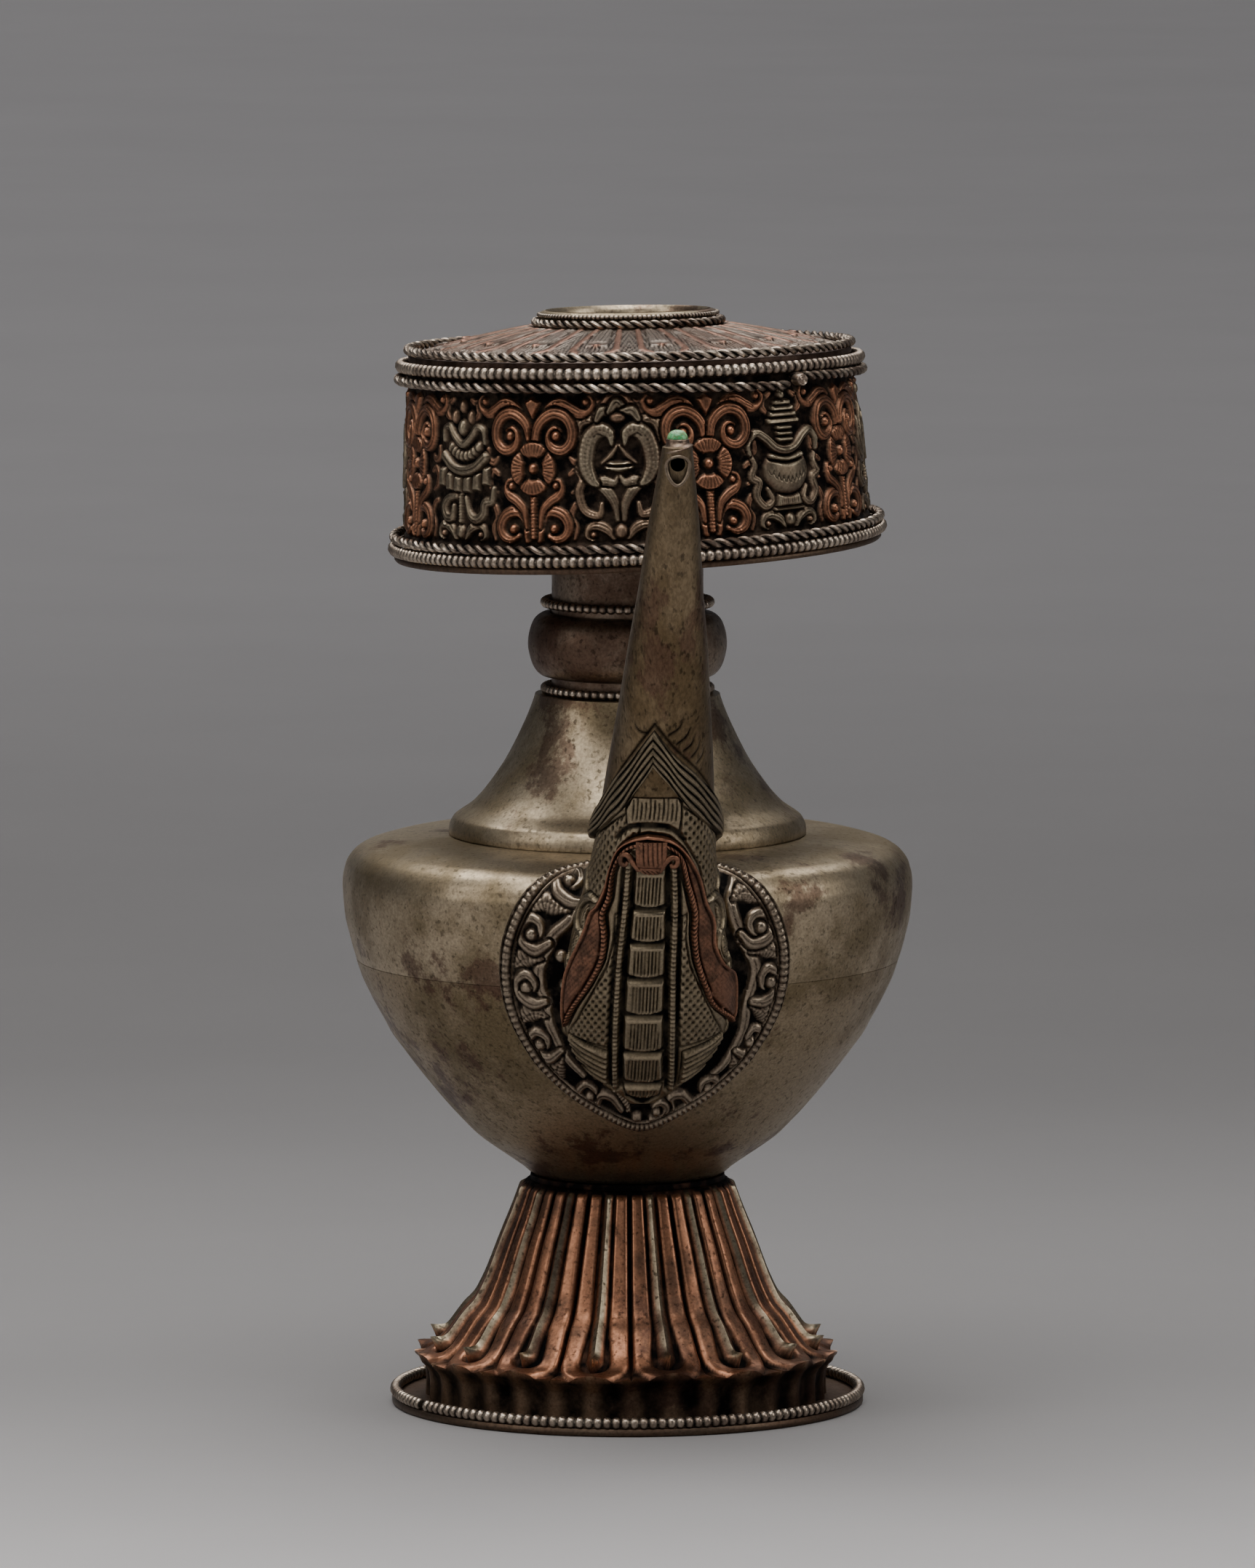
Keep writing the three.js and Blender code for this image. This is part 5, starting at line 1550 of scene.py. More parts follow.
def conch(field, at):
    leaf_base(field, at)
    for side in (1.0, -1.0):
        ribbon(field, [(-1.0, 5.4), (-3.6, 4.6), (-6.2, 6.2), (-7.2, 9.2), (-6.2, 11.6)], at, side)
        field.stroke(
            moved([(-3.8, 20.0), (-6.2, 21.6), (-7.6, 20.0), (-7.2, 17.8)], at, 0, side),
            [0.9, 1.8, 1.0], 0.9, 2, tone=0.8
        )
    field.dome((at - 0.4, 12.4), (4.0, 5.6), 1.3, 1.0, 2.2)
    for turn, half in ((9.0, 2.6), (11.2, 3.5), (13.6, 3.7), (15.9, 3.0)):
        field.stroke(
            moved([(-half, turn - 0.7), (0.0, turn + 0.3), (half, turn - 0.2)], at - 0.4), 0.5, 1.45,
            tone=1.0
        )
    field.stroke(
        moved([(2.0, 8.4), (3.4, 11.6), (3.0, 15.6), (1.0, 18.6)], at), [0.8, 1.8, 2.0, 0.7], 1.35, 2,
        tone=1.0
    )
    field.stroke(moved([(-1.0, 18.4), (0.6, 20.0), (2.0, 22.2)], at), [2.2, 1.6, 1.0], 1.1, 2, tone=1.0)


def endless_knot(field, at):
    leaf_base(field, at)
    slant = math.sqrt(0.5)
    for facing in (1.0, -1.0):
        for line in (-3.6, -1.2, 1.2, 3.6):
            ends = [((line * slant - 5.0 * slant) * facing, MIDDLE + line * slant + 5.0 * slant)]
            ends.append(((line * slant + 5.0 * slant) * facing, MIDDLE + line * slant - 5.0 * slant))
            field.stroke(moved(ends, at), 1.25, 1.1, 1, 0.0, 1.0)
    for side in (1.0, -1.0):
        for low, high in ((9.6, 16.0), (11.2, 14.4)):
            bulge, tall = 7.4 if low < 10 else 6.4, (high - low) / 5
            loop = [(-3.4, high), (-bulge, MIDDLE + tall), (-bulge, MIDDLE - tall), (-3.4, low)]
            field.stroke(moved(loop, at, 0, side), 1.1, 0.9, 1, tone=1.0)
        ribbon(field, [(-0.6, 19.4), (-2.8, 21.6), (-5.6, 21.0), (-7.0, 22.6)], at, side)
        ribbon(field, [(-0.6, 6.2), (-3.0, 4.8), (-5.6, 6.0), (-7.2, 8.6)], at, side)


def banner(field, at):
    leaf_base(field, at)
    for side in (1.0, -1.0):
        ribbon(
            field, [(-3.4, 14.6), (-6.4, 13.2), (-5.6, 10.4), (-7.2, 8.2), (-6.0, 5.2), (-4.0, 5.8)],
            at, side
        )
        field.stroke(
            moved([(-2.4, 22.0), (-4.8, 23.4), (-6.8, 22.4), (-6.6, 20.4)], at, 0, side),
            [0.9, 1.7, 0.9], 0.9, 2, tone=0.8
        )
    for level, half in ((4.6, 3.0), (7.6, 3.2), (10.6, 3.4), (13.6, 3.6)):
        low, high, wide = level - 1.3, level + 1.3, half + 0.2
        field.patch(
            moved([(-half, low), (half, low), (wide, high), (-wide, high)], at), 1.05, 0.6, 0.0, 1.0
        )
    field.stroke(moved([(-4.8, 15.9), (0.0, 15.3), (4.8, 15.9)], at), 1.4, 1.1, 1, 0.0, 1.0)
    field.dome((at, 17.9), (3.6, 1.8), 1.2, 1.0, 2.4)
    for level, size in ((20.4, 1.3), (22.3, 1.0), (23.9, 0.7)):
        field.dome((at, level), size, 1.0, 1.0)


def wheel(field, at):
    leaf_base(field, at)
    for side in (1.0, -1.0):
        ribbon(field, [(-4.6, 7.0), (-6.8, 6.6), (-7.4, 4.4), (-5.4, 3.6)], at, side)
        field.stroke(
            moved([(-3.6, 20.2), (-6.0, 21.8), (-7.6, 20.0)], at, 0, side), [0.9, 1.8, 0.9], 0.9, 2,
            tone=0.8
        )
    spokes = [math.pi * spoke / 4 + math.pi / 8 for spoke in range(8)]
    for angle in spokes:
        ends = [(reach * math.cos(angle), MIDDLE + reach * math.sin(angle)) for reach in (1.4, 4.6)]
        field.stroke(moved(ends, at), [0.6, 1.2], 0.95, tone=1.0)
    rim = [(5.4 * math.cos(turn), MIDDLE + 5.4 * math.sin(turn)) for turn in np.linspace(0, 2 * math.pi, 25)]
    field.stroke(moved(rim, at), 1.7, 1.1, 1, 0.0, 1.0, steps=2)
    for angle in spokes:
        field.dome((at + 6.9 * math.cos(angle), MIDDLE + 6.9 * math.sin(angle)), 0.75, 0.9, 0.8)
    field.dome((at, MIDDLE), 1.7, 1.2, 1.0)
    field.stroke(moved([(-2.0, 22.2), (0.0, 23.6), (2.0, 22.2)], at), [0.8, 1.6, 0.8], 0.95, 1, tone=1.0)


print("five emblems in the usual forms")

# %% [markdown]
# ## The band as a wall
# The field is wrapped round the drum: its width becomes the turn, its height the level, and the relief
# stands out along the radius. The whole ring would be one very heavy mesh, so it is made in four parts that
# meet where a flower's leaves end.

# %% Relief of the band
BAND_TURN_MM = 0.742
BAND_LENGTH = 360.0 * BAND_TURN_MM
FIRST_EMBLEM, FIRST_FLOWER, UNIT = -48.7, -71.0, 45.0
band_field = Relief((0.0, -1.2), (BAND_LENGTH, 26.4), 0.19, wrap=True)
EMBLEMS = (parasol, two_fish, treasure_vase, lotus_flower, conch, endless_knot, banner, wheel)
for index, emblem in enumerate(EMBLEMS):
    middle = (FIRST_EMBLEM + UNIT * index) * BAND_TURN_MM
    fillers(band_field, middle)
    emblem(band_field, middle)
for index in range(8):
    flower(band_field, (FIRST_FLOWER + UNIT * index) * BAND_TURN_MM)
stipple = np.random.default_rng(31).normal(0.0, 1.0, band_field.height.shape)
ground = eased(1.0 - band_field.height / 0.3)
band_field.height += blurred(stipple, 1.1, True) * (0.09 * ground + 0.03)
band_recess, band_crest = wear(band_field.height, band_field.step, 0.55, 0.3, True)
band_recess = np.maximum(band_recess, 0.95 * eased(1.0 - (band_field.height - 0.02) / 0.42))
band_crest = np.clip(0.6 * band_crest**2 + 0.35 * eased((band_field.height - 0.7) / 0.5), 0.0, 1.0)
band_field.tone += (0.7 - band_field.tone) * eased((0.3 - band_field.height) / 0.1)
print("band field:", band_field.height.shape)

# %% Band walls
BAND_LOW, BAND_HIGH = 157.95, 189.65
BAND_START = 162.2
LOW_RADIUS, HIGH_RADIUS = 43.0, 40.9
BAND_GROUND = 1.0


def band_part(number, start):
    """A quarter of the band; start is where it begins, in degrees from the front."""
    turns = np.radians(start + np.linspace(0.0, 90.0, 353))
    levels = np.concatenate([[BAND_LOW, 159.5], np.arange(161.2, 188.3, 0.19), [188.9, BAND_HIGH]])
    u = np.degrees(turns)[None, :] * BAND_TURN_MM
    v = levels[:, None] - BAND_START
    rise = band_field.sample(u, v, band_field.height)
    plain = eased((np.abs(v - 12.7) - 12.9) / 0.7)
    rise = rise * (1.0 - plain) + 0.5 * plain
    bound = LOW_RADIUS + (HIGH_RADIUS - LOW_RADIUS) * (levels - 157.9) / 31.9
    outer = around(
        bound[:, None] - BAND_GROUND + rise, turns[None, :],
        np.broadcast_to(levels[:, None], rise.shape)
    )
    rest = [
        (39.8, 189.75), (39.8, 191.65), (38.95, 191.65), (38.9, 188.9), (39.9, 180.0), (40.9, 165.0),
        (41.3, BAND_LOW)
    ]
    inner = [around(radius, turns, np.full(len(turns), level))[None] for radius, level in rest]
    rows = askew(np.concatenate([outer] + inner))
    numbers = {}
    for label, values, filler in (
        ("recess", band_recess, 0.8), ("crest", band_crest, 0.0), ("tone", band_field.tone, 0.5)
    ):
        read = band_field.sample(u, v, values)
        numbers[label] = np.concatenate([read, np.full((len(rest), len(turns)), filler)]).T
    name = f"drum_band_part_{number}"
    mesh = skin(name, np.transpose(rows, (1, 0, 2)), numbers=numbers, sharp=75.0)
    stand_in(name, mesh, band_copper, "drum_band")


for number in range(4):
    band_part(number + 1, 30.0 + 90.0 * number)

# %% [markdown]
# ## Crown and drum floor
# The crown closes the drum above with sixteen lotus petals, seen nearly edge-on in the photograph. They are
# the foot's petals laid flatter: a broad tongue with an upturned copper tip, grey grooves round it, and a
# copper border. The same petal helper and the same Geometry Nodes ring make it. The floor that closes the
# drum below is a plain disc. The drum stands to the right of the neck, so the disc's hole isn't at its
# centre.

# %% Crown
CROWN_INNER_TOP, CROWN_EDGE_TOP = 197.45, 192.9


def crown_sector():
    radius = np.linspace(17.6, 38.9, 86)
    turn = np.linspace(-HALF_PETAL, HALF_PETAL, 49)
    along = (radius - radius[0])[:, None]
    across = radius[:, None] * turn[None, :]
    side = np.abs(across)
    half = radius[:, None] * HALF_PETAL
    way = along / along[-1]
    width = 0.9 + 1.25 * eased(along / 12.0)
    height, _ = petal(along, across, 0.8 * half, width, 0.25, 13.2, 0.5, 1.1 + 0.5 * way, 17.6, 0.4)
    beak = height * (side < width) * eased((along - 9.5) / 2.0) * (1.0 - eased((along - 13.6) / 0.5))
    tongue = np.clip(1.0 - (side / width) ** 4, 0.0, 1.0) * (1.0 - eased((along - 12.4) / 0.6))
    height = np.maximum(height, 0.42 * tongue**0.5)
    hollow = np.exp(-(((along - 10.6) / 0.7) ** 2)) * np.exp(-((side / 1.3) ** 2))
    height -= 0.45 * hollow
    banded = eased((height - 0.15) / 0.15) * (side > width + 0.2)
    lines = (0.5 + 0.5 * np.cos(2 * math.pi * across / 0.72)) ** 2
    height -= 0.12 * lines * tongue * (1.0 - eased((along - 9.0) / 1.5))
    plain = (1.0 - tongue) * (1.0 - banded)
    height += 0.22 * (1.0 - lines) * plain * eased((along - 1.0) / 2.0)
    height *= eased(along / 1.2) * (1.0 - eased((along - 20.4) / 0.8))
    recess, crest = wear(height, 0.25, 0.6, 0.3)
    # Painted shadow: besides its dip, the hollow before each beak is darkened up to 0.9, as the shadow of the
    # beak.
    recess = np.maximum(np.maximum(recess, 0.9 * hollow), 0.5 * plain * lines)
    silvery = np.clip(1.0 - 0.95 * banded - 1.1 * eased(beak / 0.5), 0.0, 1.0)
    level = CROWN_INNER_TOP + (CROWN_EDGE_TOP - CROWN_INNER_TOP) * (0.8 * way + 0.2 * way**2)
    outer = around(radius[:, None] + 0.2 * height, turn[None, :] + HALF_PETAL, level + height)
    start = [(15.8, 197.1), (15.9, 197.4), (16.6, CROWN_INNER_TOP)]
    rest = [
        (39.1, 192.85), (40.1, 192.8), (40.2, 192.6), (40.2, 191.9), (39.0, 191.85), (18.0, 196.3),
        (15.8, 196.3)
    ]
    rows = [around(r, turn + HALF_PETAL, np.full(len(turn), z))[None] for r, z in start] + [outer]
    rows += [around(r, turn + HALF_PETAL, np.full(len(turn), z))[None] for r, z in rest]
    numbers = {}
    for label, values, filler in (("recess", recess, 0.7), ("crest", crest, 0.0), ("tone", silvery, 0.5)):
        low, high = np.full((len(start), len(turn)), filler), np.full((len(rest), len(turn)), filler)
        numbers[label] = np.concatenate([low, values, high])
    return skin("crown_sector", np.concatenate(rows), closed=True, numbers=numbers, sharp=60.0, whole=False)


crown = grown(petal_tree, crown_sector(), Petals=PETALS, Merge_Distance=0.00001, Material=crown_copper_painted_shade)
bend_mesh(crown, askew)
stand_in("crown_disc_fine", crown, crown_copper_painted_shade, "crown_disc")

# %% Drum floor
floor_turn = np.arange(200) / 200 * 2 * math.pi
floor_rings = []
floor_outline = [(44.0, 156.8, 1), (44.25, 157.1, 1), (44.25, 157.5, 1), (44.0, 157.8, 1)]
floor_outline += [(30.0, 157.8, 0.5), (14.2, 157.8, 0), (14.2, 156.8, 0), (30.0, 156.8, 0.5)]
for radius, level, share in floor_outline:
    ring = around(radius, floor_turn, np.full(200, level))
    ring[:, 0] -= FLOOR_SHIFT * (1.0 - share)
    floor_rings.append(ring)
drum_floor = skin("drum_floor_fine", floor_rings, closed=True)
bend_mesh(drum_floor, askew)
stand_in("drum_floor_fine", drum_floor, dark_base, "drum_floor")


# %% The cut end of the twisted wire
def wire_end():
    """The wire's end is turned outwards, so its face shows as a small coil."""
    turn = np.arange(28) / 28 * 2 * math.pi
    rings = []
    for radius, reach in ((0.0, -1.2), (0.9, -1.2), (1.05, -0.9), (1.1, 0.6), (1.05, 0.85)):
        rings.append((np.full(28, radius), np.full(28, reach)))
    for radius in np.linspace(1.0, 0.0, 12):
        groove = 0.11 * np.cos(turn - 2 * math.pi * radius / 0.5)
        rings.append((np.full(28, radius), 1.0 + groove * min(1.0, 4 * radius)))
    points = [
        np.stack([r * np.cos(turn), -(44.6 + out), 188.75 + r * np.sin(turn)], axis=1) for r,
        out in rings
    ]
    return skin("wire_end_fine", swung(points, math.radians(WIRE_JOINT)))


coil = wire_end()
bend_mesh(coil, askew)
stand_in("wire_end_ball_fine", coil, twist_silver, "wire_end_ball")

# %% [markdown]
# ## The spout's shape
# The spout is one long form: the makara's throat leans out from the body, and the tube tapers up from it.
# Its level slices are ovals, read off the photograph at sixteen heights. A smooth curve through them gives
# the oval at any height, and a point on the skin is then named by its height and its turn round the oval.

# %% Slices of the spout
SPOUT_TURN = math.radians(4.0)
SLICE_Z = [
    60.0, 62.5, 67.0, 73.0, 78.0, 86.9, 95.0, 103.0, 108.0, 113.0, 119.9, 130.9, 144.0, 158.9, 171.2,
    183.6
]
SLICE_FRONT = [
    38.6, 41.5, 46.0, 51.5, 55.5, 61.4, 66.0, 69.9, 73.0, 75.2, 78.4, 83.0, 86.4, 88.7, 90.6, 92.4
]
SLICE_BACK = [
    30.5, 31.4, 33.3, 36.0, 38.8, 41.6, 43.4, 46.2, 50.4, 54.3, 58.0, 64.7, 71.6, 77.6, 81.8, 85.5
]
SLICE_HALF = [3.3, 6.6, 10.5, 13.95, 15.0, 14.7, 13.35, 11.8, 11.0, 10.5, 9.9, 8.75, 7.4, 5.65, 4.3, 2.6]
DRIFT, DRIFT_FROM, DRIFT_OVER = 2.6, 94.6, 89.0
spout_rows = smooth_line(np.stack([SLICE_Z, SLICE_FRONT, SLICE_BACK, SLICE_HALF], axis=1), 8)


def spout_slice(z):
    """Front, back and half width of the spout at any height."""
    return [np.interp(z, spout_rows[:, 0], spout_rows[:, column]) for column in (1, 2, 3)]


def on_spout(turn, z, out=0.0):
    """A point on the spout's skin, out by a distance along its normal; turn 0 is its front."""
    turn, z, out = np.broadcast_arrays(turn, np.asarray(z, float), out)
    front, back, half = spout_slice(z)
    depth = (front - back) / 2
    drift = DRIFT * np.clip((z - DRIFT_FROM) / DRIFT_OVER, 0.0, None)
    x, y = half * np.sin(turn), depth * np.cos(turn)
    nx, ny = np.sin(turn) / half, np.cos(turn) / depth
    size = np.hypot(nx, ny)
    slope = np.gradient(spout_rows[:, 1], spout_rows[:, 0])
    lean = np.interp(z, spout_rows[:, 0], slope) * np.clip(np.cos(turn), 0, 1)
    flat = 1.0 / np.sqrt(1.0 + lean**2)
    x = x + out * nx / size * flat
    y = y + out * ny / size * flat
    points = np.stack([drift + x, -((front + back) / 2 + y), z - out * lean * flat], axis=-1)
    return spout_turned(points)


def spout_turned(points):
    """The spout is set four degrees round the body."""
    return swung(points, SPOUT_TURN)


print("spout slices:", len(spout_rows))

# %% [markdown]
# ## Spout tube
# The tube is a hollow skin with a closed tip. Its mouth is a shallow teardrop dish in the front wall with a
# round bore through it, each cut with a Boolean modifier, since the cuts meet a curved wall. A thin
# silvered rim lies round the dish.

# %% Tube with its teardrop mouth
def teardrop(scale=1.0, steps=40):
    """The outline of the mouth about its widest place, seen from the front: x and z in mm."""
    points = []
    for step in range(steps):
        angle = 2 * math.pi * step / steps
        x, z = math.sin(angle), math.cos(angle)
        if z < 0:
            drop = -z
            points.append((1.9 * x * (1.0 - 0.22 * drop**2) * scale, -3.25 * drop * scale))
        else:
            points.append((1.9 * x * scale, 1.75 * z * scale))
    return np.array(points)


MOUTH_Z = 180.1
TUBE_WALL = 1.0
strokes = Relief((-32.0, 119.0), (32.0, 140.0), 0.2)
for points in (
    [(-2.2, 133.6), (1.9, 128.9), (6.4, 125.1), (11.0, 121.2), (15.5, 117.4)],
    [(-2.2, 133.6), (-6.1, 128.4), (-9.5, 124.2), (-12.7, 120.4)],
    [(0.4, 131.6), (2.2, 132.8), (2.9, 134.2)],
    [(2.0, 129.9), (3.8, 131.3), (4.6, 133.0)],
    [(3.4, 128.6), (5.0, 129.8), (5.6, 131.4)],
    [(5.2, 127.4), (6.6, 128.8), (7.0, 130.4)],
    [(6.6, 126.2), (7.9, 127.6), (8.2, 129.0)],
    [(-3.6, 131.9), (-5.2, 132.4), (-6.2, 133.6)],
):
    strokes.cut(points, [0.45, 0.4, 0.15], 0.3)
turns = (np.arange(260) / 260 * 2 * math.pi + math.pi) % (2 * math.pi) - math.pi
turns.sort()
low_levels, high_levels = np.linspace(120.3, 137.0, 62), np.linspace(138.0, 182.6, 66)
outer_levels = np.concatenate([[120.05], low_levels, high_levels, [183.0, 183.3]])
half_there = spout_slice(outer_levels)[2][:, None]
carved = strokes.sample(
    turns[None, :] * half_there, np.clip(outer_levels, 119.0, 139.9)[:, None] + 0 * turns,
    strokes.height
)
uneven = 0.06 * np.sin(outer_levels[:, None] / 5.0 + 3 * turns) * np.cos(outer_levels[:, None] / 9.0 + turns)
rings = [on_spout(turns[None, :], outer_levels[:, None], uneven + carved)]
tip = on_spout(turns, 183.5)
inner_tip = on_spout(turns, 182.3, -TUBE_WALL)
for ring, shares in ((tip, (0.85, 0.5, 0.02)), (inner_tip, (0.02, 0.6))):
    rings.append(np.array([ring.mean(axis=0) + (ring - ring.mean(axis=0)) * share for share in shares]))
inner_levels = (182.0, 177.0, 172.0, 158.0, 144.0, 130.0, 120.05)
rings.append(np.array([on_spout(turns, level, -TUBE_WALL) for level in inner_levels]))
rings = np.concatenate(rings)
inside = np.zeros(rings.shape[:2])
inside[: len(outer_levels)] = np.clip(
    -carved * 4.0 + 0.2 * eased((outer_levels - 150.0) / 25.0)[:, None], 0.0, 1.0
)
# Painted shade: the tube's inner wall gets a recess of 0.85, darkening it inside the tube.
inside[len(outer_levels) + 3 :] = 0.85
tube_mesh = skin("spout_tube_fine", rings, closed=True, numbers={"recess": inside})

mouth_front = spout_slice(MOUTH_Z)[0]
mouth_side = DRIFT * (MOUTH_Z - DRIFT_FROM) / DRIFT_OVER


def mouth_cutter(outline, near, dark, lift=0.0):
    """A prism through an outline about the mouth's middle, from a depth under the tube's front outwards; dark
    is the painted shade given to the walls it cuts.
    """
    rings = []
    for reach in (-(mouth_front - near), -(mouth_front + 4.0)):
        place = [mouth_side + outline[:, 0], np.full(len(outline), reach), MOUTH_Z + lift + outline[:, 1]]
        rings.append(spout_turned(np.stack(place, axis=1)))
    return skin("mouth_cutter", rings, numbers={"recess": np.full((2, len(outline)), dark)})


def cut_away(mesh, cutter):
    """Cuts one mesh out of another with a Boolean modifier; points the cutter left take its recess, which
    here is painted shade.
    """
    whole = bpy.data.objects.new("whole", mesh)
    tool = bpy.data.objects.new("tool", cutter)
    for thing in (whole, tool):
        bpy.context.scene.collection.objects.link(thing)
    boolean = whole.modifiers.new("cut", "BOOLEAN")
    boolean.operation = "DIFFERENCE"
    boolean.solver = "EXACT"
    boolean.object = tool
    bpy.context.view_layer.update()
    graph = bpy.context.evaluated_depsgraph_get()
    result = bpy.data.meshes.new_from_object(whole.evaluated_get(graph), depsgraph=graph)
    places = np.array([vertex.co for vertex in result.vertices])
    for corner, dark in zip(cutter.vertices, cutter.attributes["recess"].data):
        for index in np.flatnonzero(np.abs(places - corner.co).max(axis=1) < 0.02 * MM):
            result.attributes["recess"].data[index].value = dark.value
    whole.modifiers.clear()
    for thing in (whole, tool):
        bpy.data.objects.remove(thing)
    result.set_sharp_from_angle(angle=math.radians(40.0))
    return result


BORE_RADIUS = 1.32
bore_turn = np.arange(28) / 28 * 2 * math.pi
bore = BORE_RADIUS * np.stack([np.sin(bore_turn), np.cos(bore_turn)], axis=1)
# Painted shade in the mouth: the dish's walls get a recess of 0.8 and the bore's walls 1.0.
tube_cut = cut_away(tube_mesh, mouth_cutter(teardrop(), 0.9, 0.8))
tube_cut = cut_away(tube_cut, mouth_cutter(bore, 3.2, 1.0, 0.35))
stand_in("spout_tube_fine", tube_cut, spout_silver, "spout_tube")

# %% Rim of the mouth
RIM_RADIUS = 0.3
rim_rings = []
drop = teardrop(1.04, 56)
for index, (x, z) in enumerate(drop):
    level = MOUTH_Z + z
    half_here = float(spout_slice(level)[2])
    turn = math.asin(max(-0.95, min(0.95, x / half_here)))
    before, after = drop[index - 1], drop[(index + 1) % len(drop)]
    along = (after - before) / np.linalg.norm(after - before)
    circle = []
    for side in range(8):
        angle = 2 * math.pi * side / 8
        across, out = RIM_RADIUS * math.cos(angle), RIM_RADIUS * math.sin(angle)
        place = on_spout(turn, level, 0.05 + out)
        place = place + spout_turned(np.array([along[1] * across, 0.0, -along[0] * across]))
        circle.append(place)
    rim_rings.append(circle)
rim = skin("mouth_rim", rim_rings, closed=True)
stand_in("spout_mouth_rim", rim, plate_silver, "spout_tube")

# %% Bezel and stone
TIP_Z = 184.6


def small_turned(name, outline, tilt=0.0, stretch=0.0):
    """A turned piece on the spout's tip; tilt lifts its right side, and stretch deepens its foot."""
    rings = spun(outline, 40)
    low = np.clip((TIP_Z - rings[..., 2]) / 2.0, 0.0, 1.0)
    rings[..., 2] += tilt * low * rings[..., 0] / 2.7
    rings[..., 1] *= 1.0 + stretch * low
    front, back, _ = spout_slice(SLICE_Z[-1])
    rings = rings + np.array([DRIFT, -(front + back) / 2, 0.0])
    return skin(name, spout_turned(rings), closed=True)


bezel_side = [
    (0.0, 182.7), (2.3, 182.7), (2.6, 182.75), (2.74, 182.95), (2.68, 183.2), (2.35, 183.45),
    (2.12, 183.9)
]
bezel_side += [(2.0, 184.3), (2.1, 184.5), (2.04, 184.7), (1.85, 184.75), (0.0, 184.5)]
bezel = small_turned("stone_bezel_fine", bezel_side, tilt=0.8, stretch=0.32)
stand_in("stone_bezel_fine", bezel, neck_silver, "stone_bezel")
stone_side = [
    (0.0, 184.5), (1.7, 184.5), (1.85, 184.7), (1.8, 185.15), (1.55, 185.7), (1.1, 186.1),
    (0.55, 186.3), (0.0, 186.35)
]
stone = small_turned("turquoise_stone_fine", stone_side)
stand_in("turquoise_stone_fine", stone, turquoise, "turquoise_stone")

# %% [markdown]
# ## The makara's throat
# The casing at the root of the spout is chased like a sea monster: a ladder of belly plates between two
# hatched strips, skin punched with dots, a brow curl round a hatched eye on each side, and two tufts of
# feathers below. The same relief field draws it. Its flat sheet is the spout's skin unrolled: a place is
# named by its turn times the half width at that height, and by the height.

# %% Relief of the makara
LADDER = [
    (106.6, -4.2, 1.5), (99.1, -4.1, 2.0), (92.5, -4.3, 2.4), (85.6, -4.5, 2.5), (78.4, -4.6, 2.6),
    (70.9, -4.5, 2.9), (64.6, -4.0, 3.4)
]
STRIP_LEFT = [
    (-5.4, 108.2), (-5.4, 100.6), (-5.6, 95.2), (-6.0, 89.1), (-6.1, 83.0), (-6.1, 76.8), (-5.9, 70.4),
    (-5.6, 63.7)
]
STRIP_RIGHT = [
    (2.8, 108.4), (3.6, 100.6), (3.9, 93.9), (3.9, 87.9), (4.1, 81.8), (4.4, 75.5), (4.8, 69.1),
    (5.4, 63.3)
]
BROW = [
    (11.2, 99.6), (14.5, 100.4), (17.8, 98.9), (18.8, 96.4), (17.2, 94.2), (15.2, 93.2), (14.5, 90.7),
    (16.4, 88.3), (19.8, 88.0), (21.4, 89.6)
]
SKIN_LEVEL = 0.5

